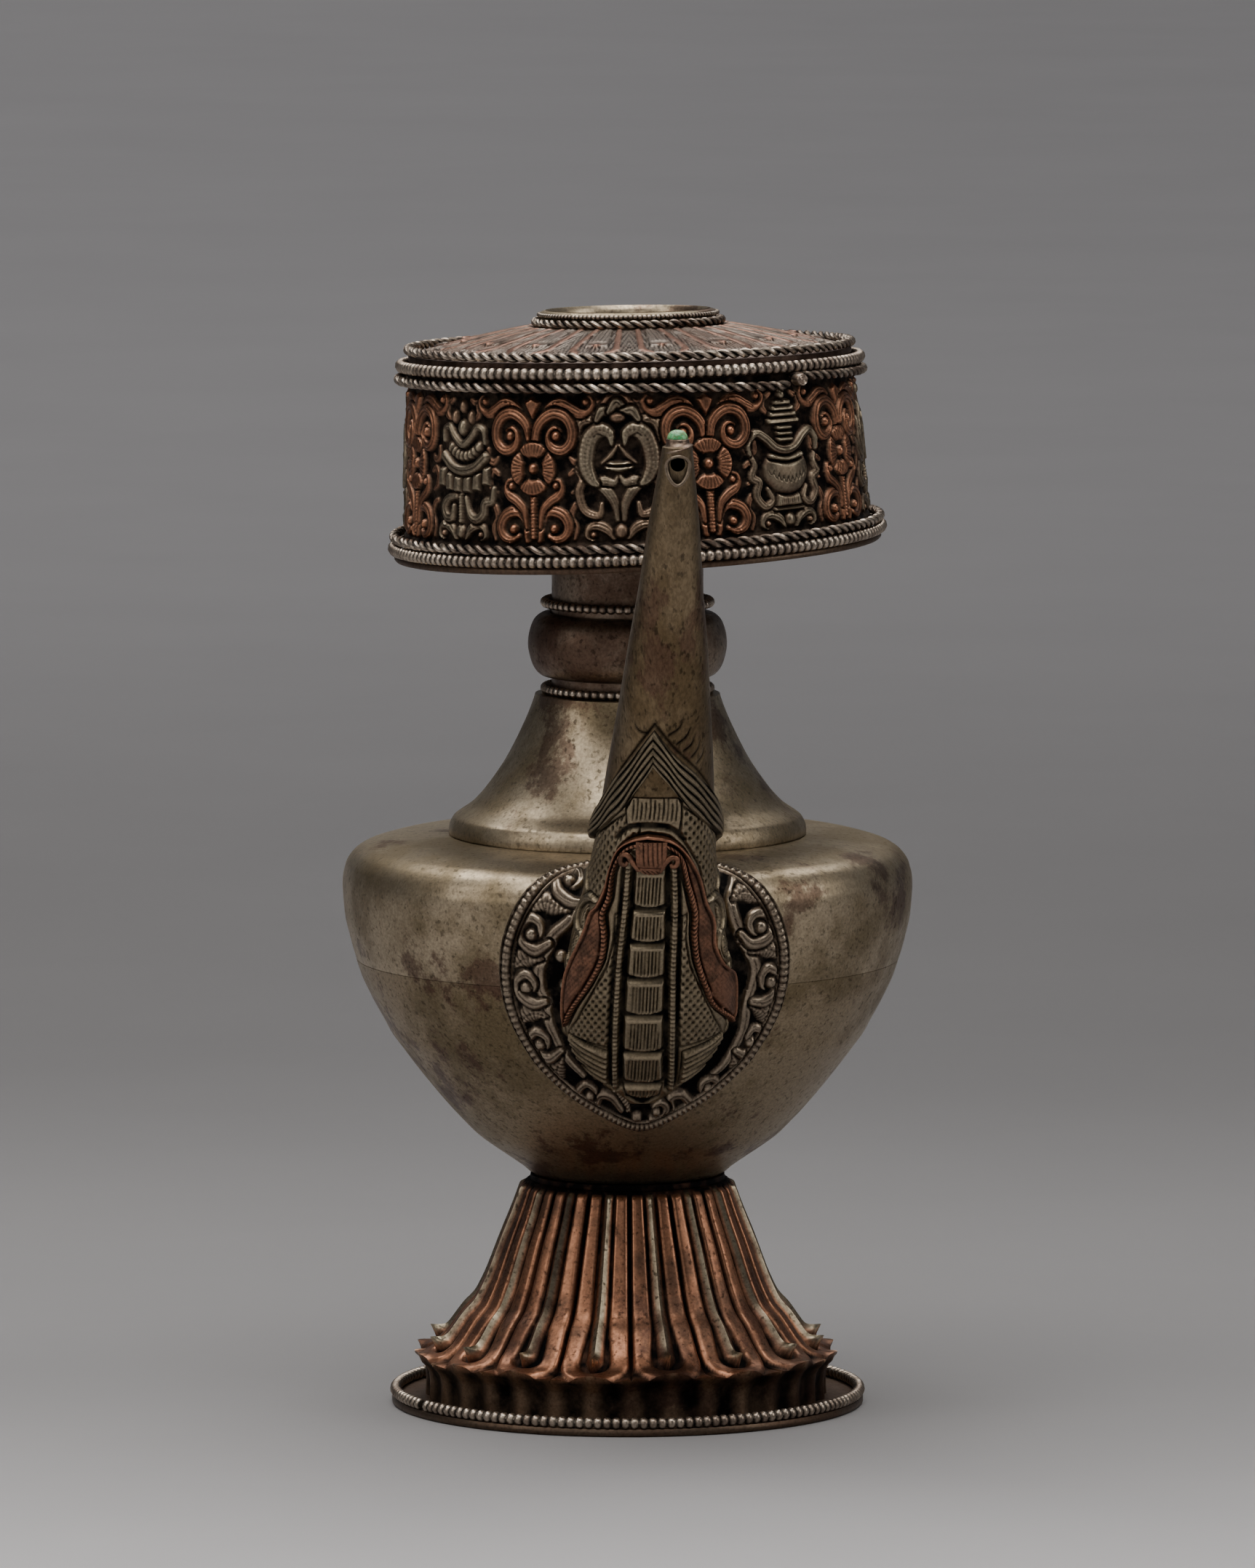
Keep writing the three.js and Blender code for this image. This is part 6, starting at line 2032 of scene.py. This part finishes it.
makara = Relief((-46.0, 59.0), (46.0, 121.0), 0.17)
makara.height += SKIN_LEVEL
for side in (-1.0, 1.0):
    cheek = [
        (3.7, 118.2), (7.0, 116.5), (12.1, 113.6), (17.0, 111.5), (21.0, 110.0), (20.0, 103.0),
        (13.5, 101.4), (11.0, 100.4), (9.9, 103.0), (8.4, 106.8), (5.4, 110.7), (3.9, 112.6)
    ]
    makara.patch(np.multiply(cheek, (side, 1.0)), 0.62, round_off=0.3, notch=0.34, dots=0.95)
    flank = [
        (7.3, 97.6), (7.2, 92.6), (8.4, 87.5), (11.5, 82.0), (15.0, 76.9), (18.6, 74.2), (7.4, 71.6),
        (6.4, 72.5), (6.4, 85.0), (6.2, 97.0)
    ]
    shift = 0.0 if side < 0 else -1.0
    makara.patch(np.multiply(flank, (side, 1.0)) + (shift, 0.0), 0.62, round_off=0.3, notch=0.34, dots=0.85)
    tuft = [(6.9, 70.6), (18.9, 74.0), (18.2, 70.4), (15.4, 67.0), (11.0, 64.6), (7.3, 64.0)]
    makara.patch(
        np.multiply(tuft, (side, 1.0)), 1.15, hatch=1.0, facing=90.0 + side * 21.0, notch=0.42,
        round_off=0.4
    )
    for start, end in (((7.4, 68.4), (18.4, 71.6)), ((7.6, 66.3), (15.8, 68.4))):
        makara.cut(np.multiply([start, end], (side, 1.0)), 0.4, 0.35)
    brow = np.multiply(BROW, (side, 1.0))
    makara.stroke(brow, [0.6, 1.7, 2.0, 1.9, 1.6, 1.5, 1.5, 1.3, 0.8, 0.4], 1.25, grooves=2)
    makara.dome((side * 17.6, 91.2), (1.7, 2.4), 1.15)
    for step in range(-3, 4):
        level = 91.2 + 0.62 * step
        makara.cut([(side * 17.6 - 1.0, level - 0.4), (side * 17.6 + 1.0, level + 0.4)], 0.24, 0.3)
    makara.stroke(
        np.multiply([(14.2, 98.4), (15.2, 96.0), (13.4, 93.6)], (side, 1.0)), [0.5, 1.7, 0.5], 0.95,
        hatch=0.7
    )
    for lock in range(4):
        root = np.array([20.6 + 0.5 * lock, 86.5 - 4.2 * lock])
        flame = [root, root + (2.4, 1.6), root + (5.0, 1.4), root + (7.0, -0.6)]
        makara.stroke(np.multiply(flame, (side, 1.0)), [1.8, 2.3, 1.4, 0.3], 1.0, grooves=2)
    ear = [(15.6, 101.6), (17.6, 103.4), (20.6, 104.8), (24.4, 104.6)]
    makara.stroke(np.multiply(ear, (side, 1.0)), [0.5, 1.8, 2.2, 0.4], 1.1, grooves=1)

pointed = [
    (-1.9, 125.7), (-4.2, 122.6), (-6.1, 119.0), (-6.7, 117.9), (-6.2, 114.7), (-4.0, 115.2),
    (-1.5, 115.3), (1.2, 115.0), (3.4, 113.6), (3.7, 116.1), (3.6, 119.1), (2.2, 120.9)
]
makara.patch(pointed, 0.85, round_off=0.35)
for index in range(11):
    x = -5.2 + 0.78 * index
    wave = 0.7 * math.sin(index * 1.9)
    makara.cut([(x, 115.9), (x + 0.1, 118.0), (x, 119.6 + wave)], 0.26, 0.34)
makara.stroke([(-8.4, 112.2), (-6.2, 114.1), (-2.5, 114.6), (1.6, 114.2), (4.6, 112.0)], 0.5, 0.05)
for (top, left, right), (low, low_left, low_right) in zip(LADDER, LADDER[1:] + [(61.4, -3.2, 3.0)]):
    middle, base = (low_left + low_right) / 2, low + 0.5
    plate = [
        (left, top - 0.5), (right, top - 0.5), (low_right, base), (low_right - 1.0, base - 0.55),
        (middle, base - 0.75), (low_left + 1.0, base - 0.55), (low_left, base)
    ]
    makara.patch(plate, 1.05, hatch=0.62, facing=0.0, notch=0.4, bare=0.95, round_off=0.7)
    rim = [(low_left + 0.1, low + 0.35), (middle, low - 0.55), (low_right - 0.1, low + 0.35)]
    makara.stroke(rim, [0.5, 1.1, 0.5], 0.02)
for strip_line in (STRIP_LEFT, STRIP_RIGHT):
    for offset in (-1.15, 1.15):
        makara.cut([(x + offset, level) for x, level in strip_line], 0.8, 0.6)
    makara.stroke(strip_line, 1.35, 1.05, hatch=0.86, notch=0.5, sharp=3.0)

# %% [markdown]
# ## The makara's skin
# The copper lips lie over this skin, so it is sunk where they lie, and the edges of the lips are read here
# first.

# %% Lips' edges, and the makara's mesh
LIP_OUTER = [
    (-19.0, 75.6), (-19.5, 80.9), (-19.0, 85.1), (-17.5, 88.3), (-14.0, 93.9), (-12.4, 98.2),
    (-10.8, 99.9), (-9.4, 103.2), (-8.7, 106.9), (-7.3, 110.6), (-5.0, 112.5), (-2.2, 113.3),
    (1.6, 112.6), (4.7, 110.1), (7.7, 105.7), (9.6, 100.6), (12.0, 96.6), (12.5, 92.1), (15.3, 88.2),
    (20.0, 85.9), (21.8, 82.2), (22.0, 76.4)
]
LIP_INNER = [
    (-18.4, 75.7), (-15.4, 79.4), (-11.5, 84.0), (-8.9, 89.0), (-8.5, 93.9), (-9.2, 97.6),
    (-8.1, 100.9), (-7.9, 105.8), (-6.6, 109.0), (-5.1, 110.6), (-2.2, 111.5), (1.2, 110.9),
    (3.6, 108.7), (5.2, 103.4), (7.0, 98.0), (7.1, 93.8), (7.9, 88.9), (10.0, 83.9), (13.1, 79.4),
    (21.4, 75.9)
]
makara.patch(LIP_OUTER + LIP_INNER[::-1], 0.12, round_off=0.1)
makara_recess, makara_crest = wear(makara.height, makara.step, 0.6, 0.3)
makara_recess = np.maximum(makara_recess, eased(1.0 - (makara.height - 0.03) / 0.3))


def makara_skin():
    turn = np.radians(np.concatenate([np.linspace(-104, 104, 330), np.linspace(112, 248, 14)]))
    levels = np.concatenate([[60.02, 60.1], np.linspace(60.3, 119.9, 222), [120.0]])
    half = spout_slice(levels)[2][:, None]
    turned = (turn[None, :] + math.pi) % (2 * math.pi) - math.pi
    u, v = turned * half, np.broadcast_to(levels[:, None], (len(levels), len(turn)))
    front = eased((1.95 - np.abs(turned)) / 0.15)
    rise = (makara.sample(u, v, makara.height) - SKIN_LEVEL) * front * eased((v - 60.0) / 0.8)
    rings = [on_spout(turn[None, :], levels[:, None], rise)]
    inner_levels = np.array([120.0, 110.0, 98.0, 86.0, 76.0, 68.0, 64.0])
    rings.append(on_spout(turn[None, :], inner_levels[:, None], np.full((7, 1), -1.2)))
    end = on_spout(turn, 64.0, -1.2)
    rings.append((end.mean(axis=0) + (end - end.mean(axis=0)) * 0.02)[None])
    start = on_spout(turn, 60.02, 0.0)
    rings.append((start.mean(axis=0) + (start - start.mean(axis=0)) * 0.02)[None])
    numbers = {}
    for label, values, filler in (("recess", makara_recess, 0.8), ("crest", makara_crest, 0.0)):
        read = makara.sample(u, v, values) * front
        numbers[label] = np.concatenate([read, np.full((9, len(turn)), filler)])
    return skin("makara_head_fine", np.concatenate(rings), closed=True, numbers=numbers, sharp=80.0)


stand_in("makara_head_fine", makara_skin(), chased_silver, "makara_head")

# %% [markdown]
# ## Copper lips and plaited collar
# Both are sheets laid on the casing, long ribbons whose width changes. A ribbon is a loop of points across
# the sheet, its upper and its under side, moved from station to station along its two edges. The lips have
# a twisted cord along their inner edge, a raised outer edge and fine lines on their leaves. The collar has
# strands.

# %% Ribbons on the spout
def edge_line(points, stations, pivot):
    """Even stations along an edge, in two halves that meet at the point with the given index."""
    points = np.asarray(points, dtype=float)
    halves = []
    for part, count in ((points[: pivot + 1], stations // 2), (points[pivot:], stations - stations // 2)):
        if len(part) < 2:
            continue
        halves.append(evenly(smooth_line(part, 8), count)[0])
    return np.concatenate([halves[0][:-1], *halves[1:]]) if len(halves) > 1 else halves[0]


def ribbon_mesh(name, inner, outer, section, across=22, under=0.12):
    """section gives the height for each distance from the inner edge, width, length and share of the way."""
    share = np.concatenate([[0.0, 0.01], np.linspace(0.04, 0.96, across), [0.99, 1.0]])
    width = np.linalg.norm(outer - inner, axis=1)[:, None]
    middle = (inner + outer) / 2
    length = lengths(middle)[:, None]
    places = inner[:, None, :] + (outer - inner)[:, None, :] * share[None, :, None]
    rise, recess, crest = section(share[None, :] * width, width, length, places)
    taper = eased(np.minimum(share, 1.0 - share) / 0.035)[None, :]
    rise = under + 0.1 + (rise - under - 0.1) * taper
    back = share[::-6]
    low = inner[:, None, :] + (outer - inner)[:, None, :] * back[None, :, None]
    u = np.concatenate([places[..., 0], low[..., 0]], axis=1)
    v = np.concatenate([places[..., 1], low[..., 1]], axis=1)
    out = np.concatenate([rise, np.full(low.shape[:2], under)], axis=1)
    rings = on_spout(u / spout_slice(v)[2], v, out)
    numbers = {}
    for label, values in (("recess", recess), ("crest", crest)):
        numbers[label] = np.concatenate([values, np.full(low.shape[:2], 0.6)], axis=1)
    return skin(name, rings, numbers=numbers, sharp=75.0)


def lip_section(inward, width, length, places):
    """Twisted cord inside, raised edge outside, and engraved lines on the broad leaves."""
    outward = width - inward
    cord_width = np.minimum(1.15, 0.45 * width)
    cord_share = np.clip(inward / cord_width, 0.0, 1.0)
    twist = 0.5 + 0.5 * np.cos(2 * math.pi * (length / 0.8 + 0.5 * cord_share))
    cord = (0.95 + 0.5 * np.sin(math.pi * cord_share) ** 0.7) - 0.3 * twist * np.sin(math.pi * cord_share)
    sheet = 0.85 + 0.35 * eased((inward - cord_width) / 1.2)
    sheet = sheet + 0.3 * np.exp(-(((outward - 0.35) / 0.32) ** 2))
    sheet = sheet - 0.3 * np.exp(-(((outward - 0.95) / 0.2) ** 2))
    gap = np.exp(-(((inward - cord_width - 0.12) / 0.16) ** 2))
    broad = eased((width - 3.4) / 1.5) * eased((outward - 1.2) / 0.5)
    broad = broad * eased((inward - cord_width - 0.5) / 0.5)
    slanted = places[..., 1] * 0.75 + np.abs(places[..., 0]) * 0.66
    lines = (0.5 + 0.5 * np.cos(2 * math.pi * slanted / 0.8)) ** 3
    height = np.where(inward < cord_width, cord, sheet - 0.08 * lines * broad) - 0.45 * gap
    recess = np.clip(gap + 0.8 * np.exp(-(((outward - 0.95) / 0.26) ** 2)) + 0.4 * lines * broad, 0.0, 1.0)
    recess = np.maximum(recess, np.where(inward < cord_width, 0.75 * twist**2, 0.0))
    crest = np.exp(-(((outward - 0.35) / 0.3) ** 2)) + np.where(inward < cord_width, 1.0 - twist, 0.0)
    return height, recess, np.clip(crest, 0.0, 1.0)


LIP_STATIONS = 860
lip_outer = edge_line(LIP_OUTER, LIP_STATIONS, 11)
lip_inner = edge_line(LIP_INNER, LIP_STATIONS, 10)
lips = ribbon_mesh("copper_lips_fine", lip_inner, lip_outer, lip_section)
stand_in("copper_lips_fine", lips, lip_copper, "copper_lips")


def tab_section(inward, width, length, places):
    """The lip's middle tab: upright lines, and a beaded lower edge."""
    drop = 112.3 - places[..., 1]
    side = np.minimum(inward, width - inward)
    lines = (0.5 + 0.5 * np.cos(2 * math.pi * inward / 0.75)) ** 3 * eased((side - 0.7) / 0.3)
    lines = lines * eased((4.6 - drop) / 0.4)
    beads = eased((drop - 5.1) / 0.2) * (0.5 + 0.5 * np.cos(2 * math.pi * inward / 0.72))
    groove = np.exp(-(((drop - 4.95) / 0.2) ** 2))
    height = 1.25 + 0.2 * eased(side / 1.2) - 0.2 * lines - 0.25 * beads - 0.35 * groove
    return height, np.clip(0.8 * lines + 0.8 * beads, 0.0, 1.0), np.zeros_like(height)


tab_left = edge_line([(-4.2, 112.3), (-4.0, 109.0), (-3.6, 107.4), (-2.6, 106.4)], 60, 3)
tab_right = edge_line([(1.3, 112.3), (1.4, 109.0), (1.3, 107.5), (0.4, 106.4)], 60, 3)
tab = ribbon_mesh("lip_tab", tab_left, tab_right, tab_section, 40, 0.5)
stand_in("copper_lips_tab", tab, lip_copper, "copper_lips")


# %% Volutes beside the tab
def tube_on_spout(name, points, radius, lift):
    """A round tapering rod that lies on the spout."""
    line = smooth_line(points, 8)
    size = np.interp(
        np.linspace(0, 1, len(line)), np.linspace(0, 1, np.size(radius)), np.atleast_1d(radius)
    )
    way = np.gradient(line, axis=0)
    way /= np.linalg.norm(way, axis=1)[:, None]
    turn = np.arange(10) / 10 * 2 * math.pi
    u = line[:, None, 0] - way[:, None, 1] * size[:, None] * np.cos(turn)
    v = line[:, None, 1] + way[:, None, 0] * size[:, None] * np.cos(turn)
    return skin(name, on_spout(u / spout_slice(v)[2], v, lift + size[:, None] * np.sin(turn)), sharp=60.0)


VOLUTES = {
    "left": [
        (-3.2, 106.9), (-4.3, 108.3), (-5.3, 109.7), (-6.3, 109.5), (-6.4, 108.3), (-5.6, 107.9),
        (-5.2, 108.6)
    ],
    "right": [
        (0.4, 106.9), (1.0, 108.3), (1.9, 109.3), (2.9, 109.1), (3.0, 108.1), (2.3, 107.7), (1.9, 108.3)
    ],
}
for side, curl in VOLUTES.items():
    volute = tube_on_spout("volute", curl, [0.3, 0.5, 0.5, 0.45, 0.3], 1.1)
    stand_in(f"lip_volute_{side}", volute, lip_copper, "copper_lips")


# %% Plaited collar
def collar_section(inward, width, length, places):
    """Strands that run along the arm and cross it slowly."""
    share = inward / width
    phase = 5.0 * share + 0.09 * length + 0.1 * np.sin(0.75 * length + 4.0 * share)
    strand = np.abs(np.sin(math.pi * phase))
    fine = 0.5 + 0.5 * np.cos(2 * math.pi * (15.0 * share + 0.27 * length))
    height = 0.7 + 0.5 * np.sin(math.pi * share) ** 0.6 + 0.5 * strand**0.6 - 0.12 * fine
    return height, np.clip(
        1.8 * (1.0 - strand) ** 1.5 + 0.25 * fine, 0.0, 1.0
    ), np.clip(strand - 0.4, 0.0, 0.6)


ARM_LEFT_OUTER = [
    (-2.2, 132.7), (-6.0, 127.5), (-9.3, 123.4), (-12.3, 119.6), (-16.0, 116.0), (-21.5, 113.0)
]
ARM_LEFT_INNER = [
    (-1.9, 125.9), (-4.2, 121.9), (-6.7, 118.3), (-8.8, 116.3), (-12.6, 113.4), (-20.5, 110.6)
]
ARM_RIGHT_OUTER = [(-2.2, 132.7), (1.8, 128.0), (6.3, 124.2), (10.6, 120.6), (15.0, 116.4), (21.5, 112.6)]
ARM_RIGHT_INNER = [(-1.9, 125.9), (0.4, 123.3), (2.2, 120.9), (6.2, 116.9), (10.7, 113.9), (20.5, 109.8)]
for side, inner, outer in (
    ("left", ARM_LEFT_INNER, ARM_LEFT_OUTER), ("right", ARM_RIGHT_INNER, ARM_RIGHT_OUTER)
):
    arm = ribbon_mesh(
        f"collar_{side}", edge_line(inner, 120, 5), edge_line(outer, 120, 5), collar_section, 56
    )
    stand_in(f"plaited_collar_{side}", arm, chased_silver, "plaited_collar")

# %% [markdown]
# ## Scrolled plate behind the spout
# A teardrop of sheet lies on the belly round the makara, chased with a vine whose tendrils end in curls,
# and bordered by a hatched cord between two thin lines. Its flat drawing is bent on to the body: the
# distance across becomes a turn about the axis, and the distance up becomes a length along the body's
# outline.

# %% Relief of the plate
PLATE_WIDTH, PLATE_LENGTH = 56.6, 63.5
PLATE_MIDDLE = float(np.interp(91.0, BODY_SIDE[:, 1], BODY_LENGTH))


def plate_edge(angle, inset=0.0):
    """The plate's edge about its middle: a full oval that hangs below it, drawn to a small point."""
    down = np.clip(-np.sin(angle), 0.0, 1.0)
    half = PLATE_LENGTH * 0.485 - inset
    across = (PLATE_WIDTH / 2 - inset) * np.cos(angle)
    return across, half * np.sin(angle) - PLATE_LENGTH * (0.154 + 0.03 * down**24)


def plate_ring(inset):
    return np.stack(plate_edge(np.linspace(0, 2 * math.pi, 121), inset), axis=1)


STEMS = [
    [
        (-13.0, 7.0), (-13.9, 4.0), (-16.7, 1.4), (-18.8, -2.2), (-19.9, -5.2), (-19.9, -8.7),
        (-19.2, -12.0), (-19.2, -15.5), (-18.3, -18.9), (-16.9, -23.0), (-13.5, -27.6)
    ],
    [
        (16.7, 12.5), (16.0, 9.5), (15.0, 6.5), (16.4, 2.2), (18.8, -1.8), (20.4, -5.2), (20.2, -8.7),
        (19.6, -12.4), (20.0, -15.8), (19.9, -19.2), (18.2, -24.5), (15.5, -28.4)
    ],
]
CURLS = [
    [
        (-11.4, 7.0), (-13.8, 7.2), (-16.2, 8.9), (-16.8, 11.8), (-15.2, 13.8), (-12.9, 13.2),
        (-12.2, 11.0), (-13.4, 9.8), (-14.4, 11.0)
    ],
    [
        (-17.6, -0.2), (-20.4, -1.6), (-22.6, 0.0), (-23.0, 2.6), (-21.2, 4.2), (-19.2, 3.2),
        (-19.4, 1.2), (-21.0, 1.2)
    ],
    [
        (-19.2, -11.8), (-21.6, -12.4), (-24.0, -10.8), (-24.5, -8.0), (-22.8, -6.2), (-21.0, -7.4),
        (-21.6, -9.2), (-22.8, -8.8)
    ],
    [
        (-17.4, -22.0), (-20.4, -24.0), (-23.3, -22.6), (-24.0, -20.0), (-22.2, -18.2), (-20.1, -19.2),
        (-20.4, -21.2), (-21.9, -21.0)
    ],
    [
        (-5.2, -36.2), (-7.6, -33.0), (-10.2, -32.6), (-11.8, -35.0), (-14.6, -34.2), (-15.0, -31.4),
        (-12.9, -29.8), (-11.2, -31.4), (-12.6, -32.8)
    ],
    [
        (16.9, 1.2), (19.0, -0.6), (21.8, -0.2), (23.4, 2.0), (22.3, 4.4), (19.6, 4.6), (18.4, 2.9),
        (19.6, 1.3), (20.9, 2.2)
    ],
    [
        (20.6, -12.2), (23.4, -12.4), (25.6, -10.6), (25.4, -7.2), (23.2, -5.4), (21.8, -7.0),
        (22.6, -9.0), (24.0, -8.2)
    ],
    [
        (19.6, -22.6), (22.4, -23.6), (24.8, -21.8), (24.6, -18.8), (22.4, -17.8), (21.4, -19.6),
        (22.6, -21.0)
    ],
    [
        (8.0, -36.6), (6.8, -33.4), (9.4, -32.6), (12.4, -34.6), (16.0, -33.6), (18.0, -31.0),
        (16.2, -28.8), (13.8, -29.6), (14.0, -31.6), (15.6, -31.4)
    ],
    [(2.6, -38.6), (5.2, -38.0), (6.2, -35.8), (4.6, -34.4), (3.0, -35.4), (3.8, -36.8)],
]
LEAVES = [
    [(-14.0, 5.6), (-16.4, 6.4), (-18.6, 6.9), (-21.4, 5.2)],
    [(-19.2, -3.2), (-21.2, -3.0), (-22.8, -3.4), (-24.8, -5.0)],
    [(-19.4, -14.8), (-21.4, -14.2), (-23.4, -14.8), (-25.4, -16.6)],
    [(-17.6, -23.4), (-19.0, -26.0), (-19.6, -28.6), (-19.0, -30.8)],
    [(-3.2, -36.8), (-4.8, -34.6), (-6.2, -32.4), (-6.4, -29.6)],
    [(15.4, 7.2), (17.4, 8.4), (19.4, 8.0), (21.6, 6.2)],
    [(19.0, -2.2), (21.4, -1.6), (23.6, -2.2), (25.6, -4.0)],
    [(20.4, -12.8), (22.6, -13.6), (24.4, -15.4), (25.6, -18.2)],
    [(19.4, -22.4), (20.8, -25.2), (21.4, -27.6), (20.8, -30.2)],
    [(-17.4, 14.6), (-15.6, 16.6), (-13.0, 17.6), (-10.0, 17.6)],
    [(17.2, 12.2), (15.2, 14.4), (12.6, 15.8), (9.6, 16.2)],
]
scrolls = Relief((-29.0, -44.0), (29.0, 22.5), 0.17)
for stem in STEMS:
    scrolls.stroke(stem, [1.3, 2.5, 2.7, 2.7, 2.5, 2.4, 2.3, 2.0, 1.5], 1.0, grooves=1, notch=0.25)
for leaf in LEAVES:
    scrolls.stroke(leaf, [1.0, 3.6, 3.8, 0.4], 0.85, grooves=1, hatch=0.85, notch=0.3)
for curl in CURLS:
    scrolls.stroke(curl, [1.7, 2.5, 2.4, 2.2, 2.0, 1.7, 1.4, 1.5], 1.1, grooves=1, notch=0.25)
    scrolls.dome(curl[-1], 1.25, 1.2)
for place, size in (
    ((-1.2, -38.4), 1.5), ((-15.6, -2.6), 1.2), ((-15.4, -8.0), 1.0), ((16.4, -13.6), 1.2),
    ((1.0, -40.8), 0.9)
):
    scrolls.dome(place, size, 1.0)
scrolls.stroke(plate_ring(0.35), 0.5, 0.75)
scrolls.stroke(plate_ring(1.5), 1.8, 0.95, hatch=1.3, notch=0.4, sharp=3.0)
scrolls.stroke(plate_ring(2.75), 0.45, 0.6)
scrolls.height += blurred(np.random.default_rng(8).normal(0.0, 1.0, scrolls.height.shape), 1.2) * 0.06
scroll_recess, scroll_crest = wear(scrolls.height, scrolls.step, 0.6, 0.3)
scroll_recess = np.maximum(scroll_recess, eased(1.0 - (scrolls.height - 0.02) / 0.4))

# %% Plate bent on to the body
BODY_RADIUS = 51.9
PLATE_DROP = 9.8
body_slope = np.gradient(BODY_SIDE, axis=0)
body_slope /= np.linalg.norm(body_slope, axis=1)[:, None]


def on_body(across, up, lift):
    """A point on the body at a distance across and up from the plate's middle, lifted along its normal."""
    length = PLATE_MIDDLE + up
    read = [np.interp(length, BODY_LENGTH, column) for column in (*BODY_SIDE.T, *body_slope.T)]
    radius, height = read[0] + lift * read[3], read[1] - lift * read[2]
    return around(radius, across / BODY_RADIUS + SPOUT_TURN, height)


angles = np.arange(720) / 720 * 2 * math.pi
shares = np.concatenate([[0.12], np.linspace(0.34, 0.995, 86), [1.0]])
edge_u, edge_v = plate_edge(angles)
drop = -PLATE_DROP * (1.0 - shares[:, None])
u, v = edge_u * shares[:, None], drop + (edge_v * shares[:, None])
edge = eased((1.0 - shares) / 0.008)[:, None]
rise = 0.3 + (0.15 + scrolls.sample(u, v, scrolls.height)) * edge
rings = [on_body(u, v, rise)]
back_shares = np.array([1.0, 0.8, 0.5, 0.12])[:, None]
rings.append(on_body(edge_u * back_shares, edge_v * back_shares - PLATE_DROP * (1.0 - back_shares), 0.12))
numbers = {}
for label, values in (("recess", scroll_recess), ("crest", scroll_crest)):
    numbers[label] = np.concatenate([scrolls.sample(u, v, values), np.full((4, len(angles)), 0.6)])
plate = skin("spout_plate_fine", np.concatenate(rings), closed=True, numbers=numbers, sharp=80.0)
stand_in("spout_plate_fine", plate, plate_silver, "spout_plate")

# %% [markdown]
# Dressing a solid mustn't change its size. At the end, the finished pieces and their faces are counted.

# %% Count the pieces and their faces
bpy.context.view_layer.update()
face_count = sum(len(piece.data.polygons) for piece in pieces.values())
print("pieces:", len(pieces), "in", round(face_count / 1000), "thousand faces")
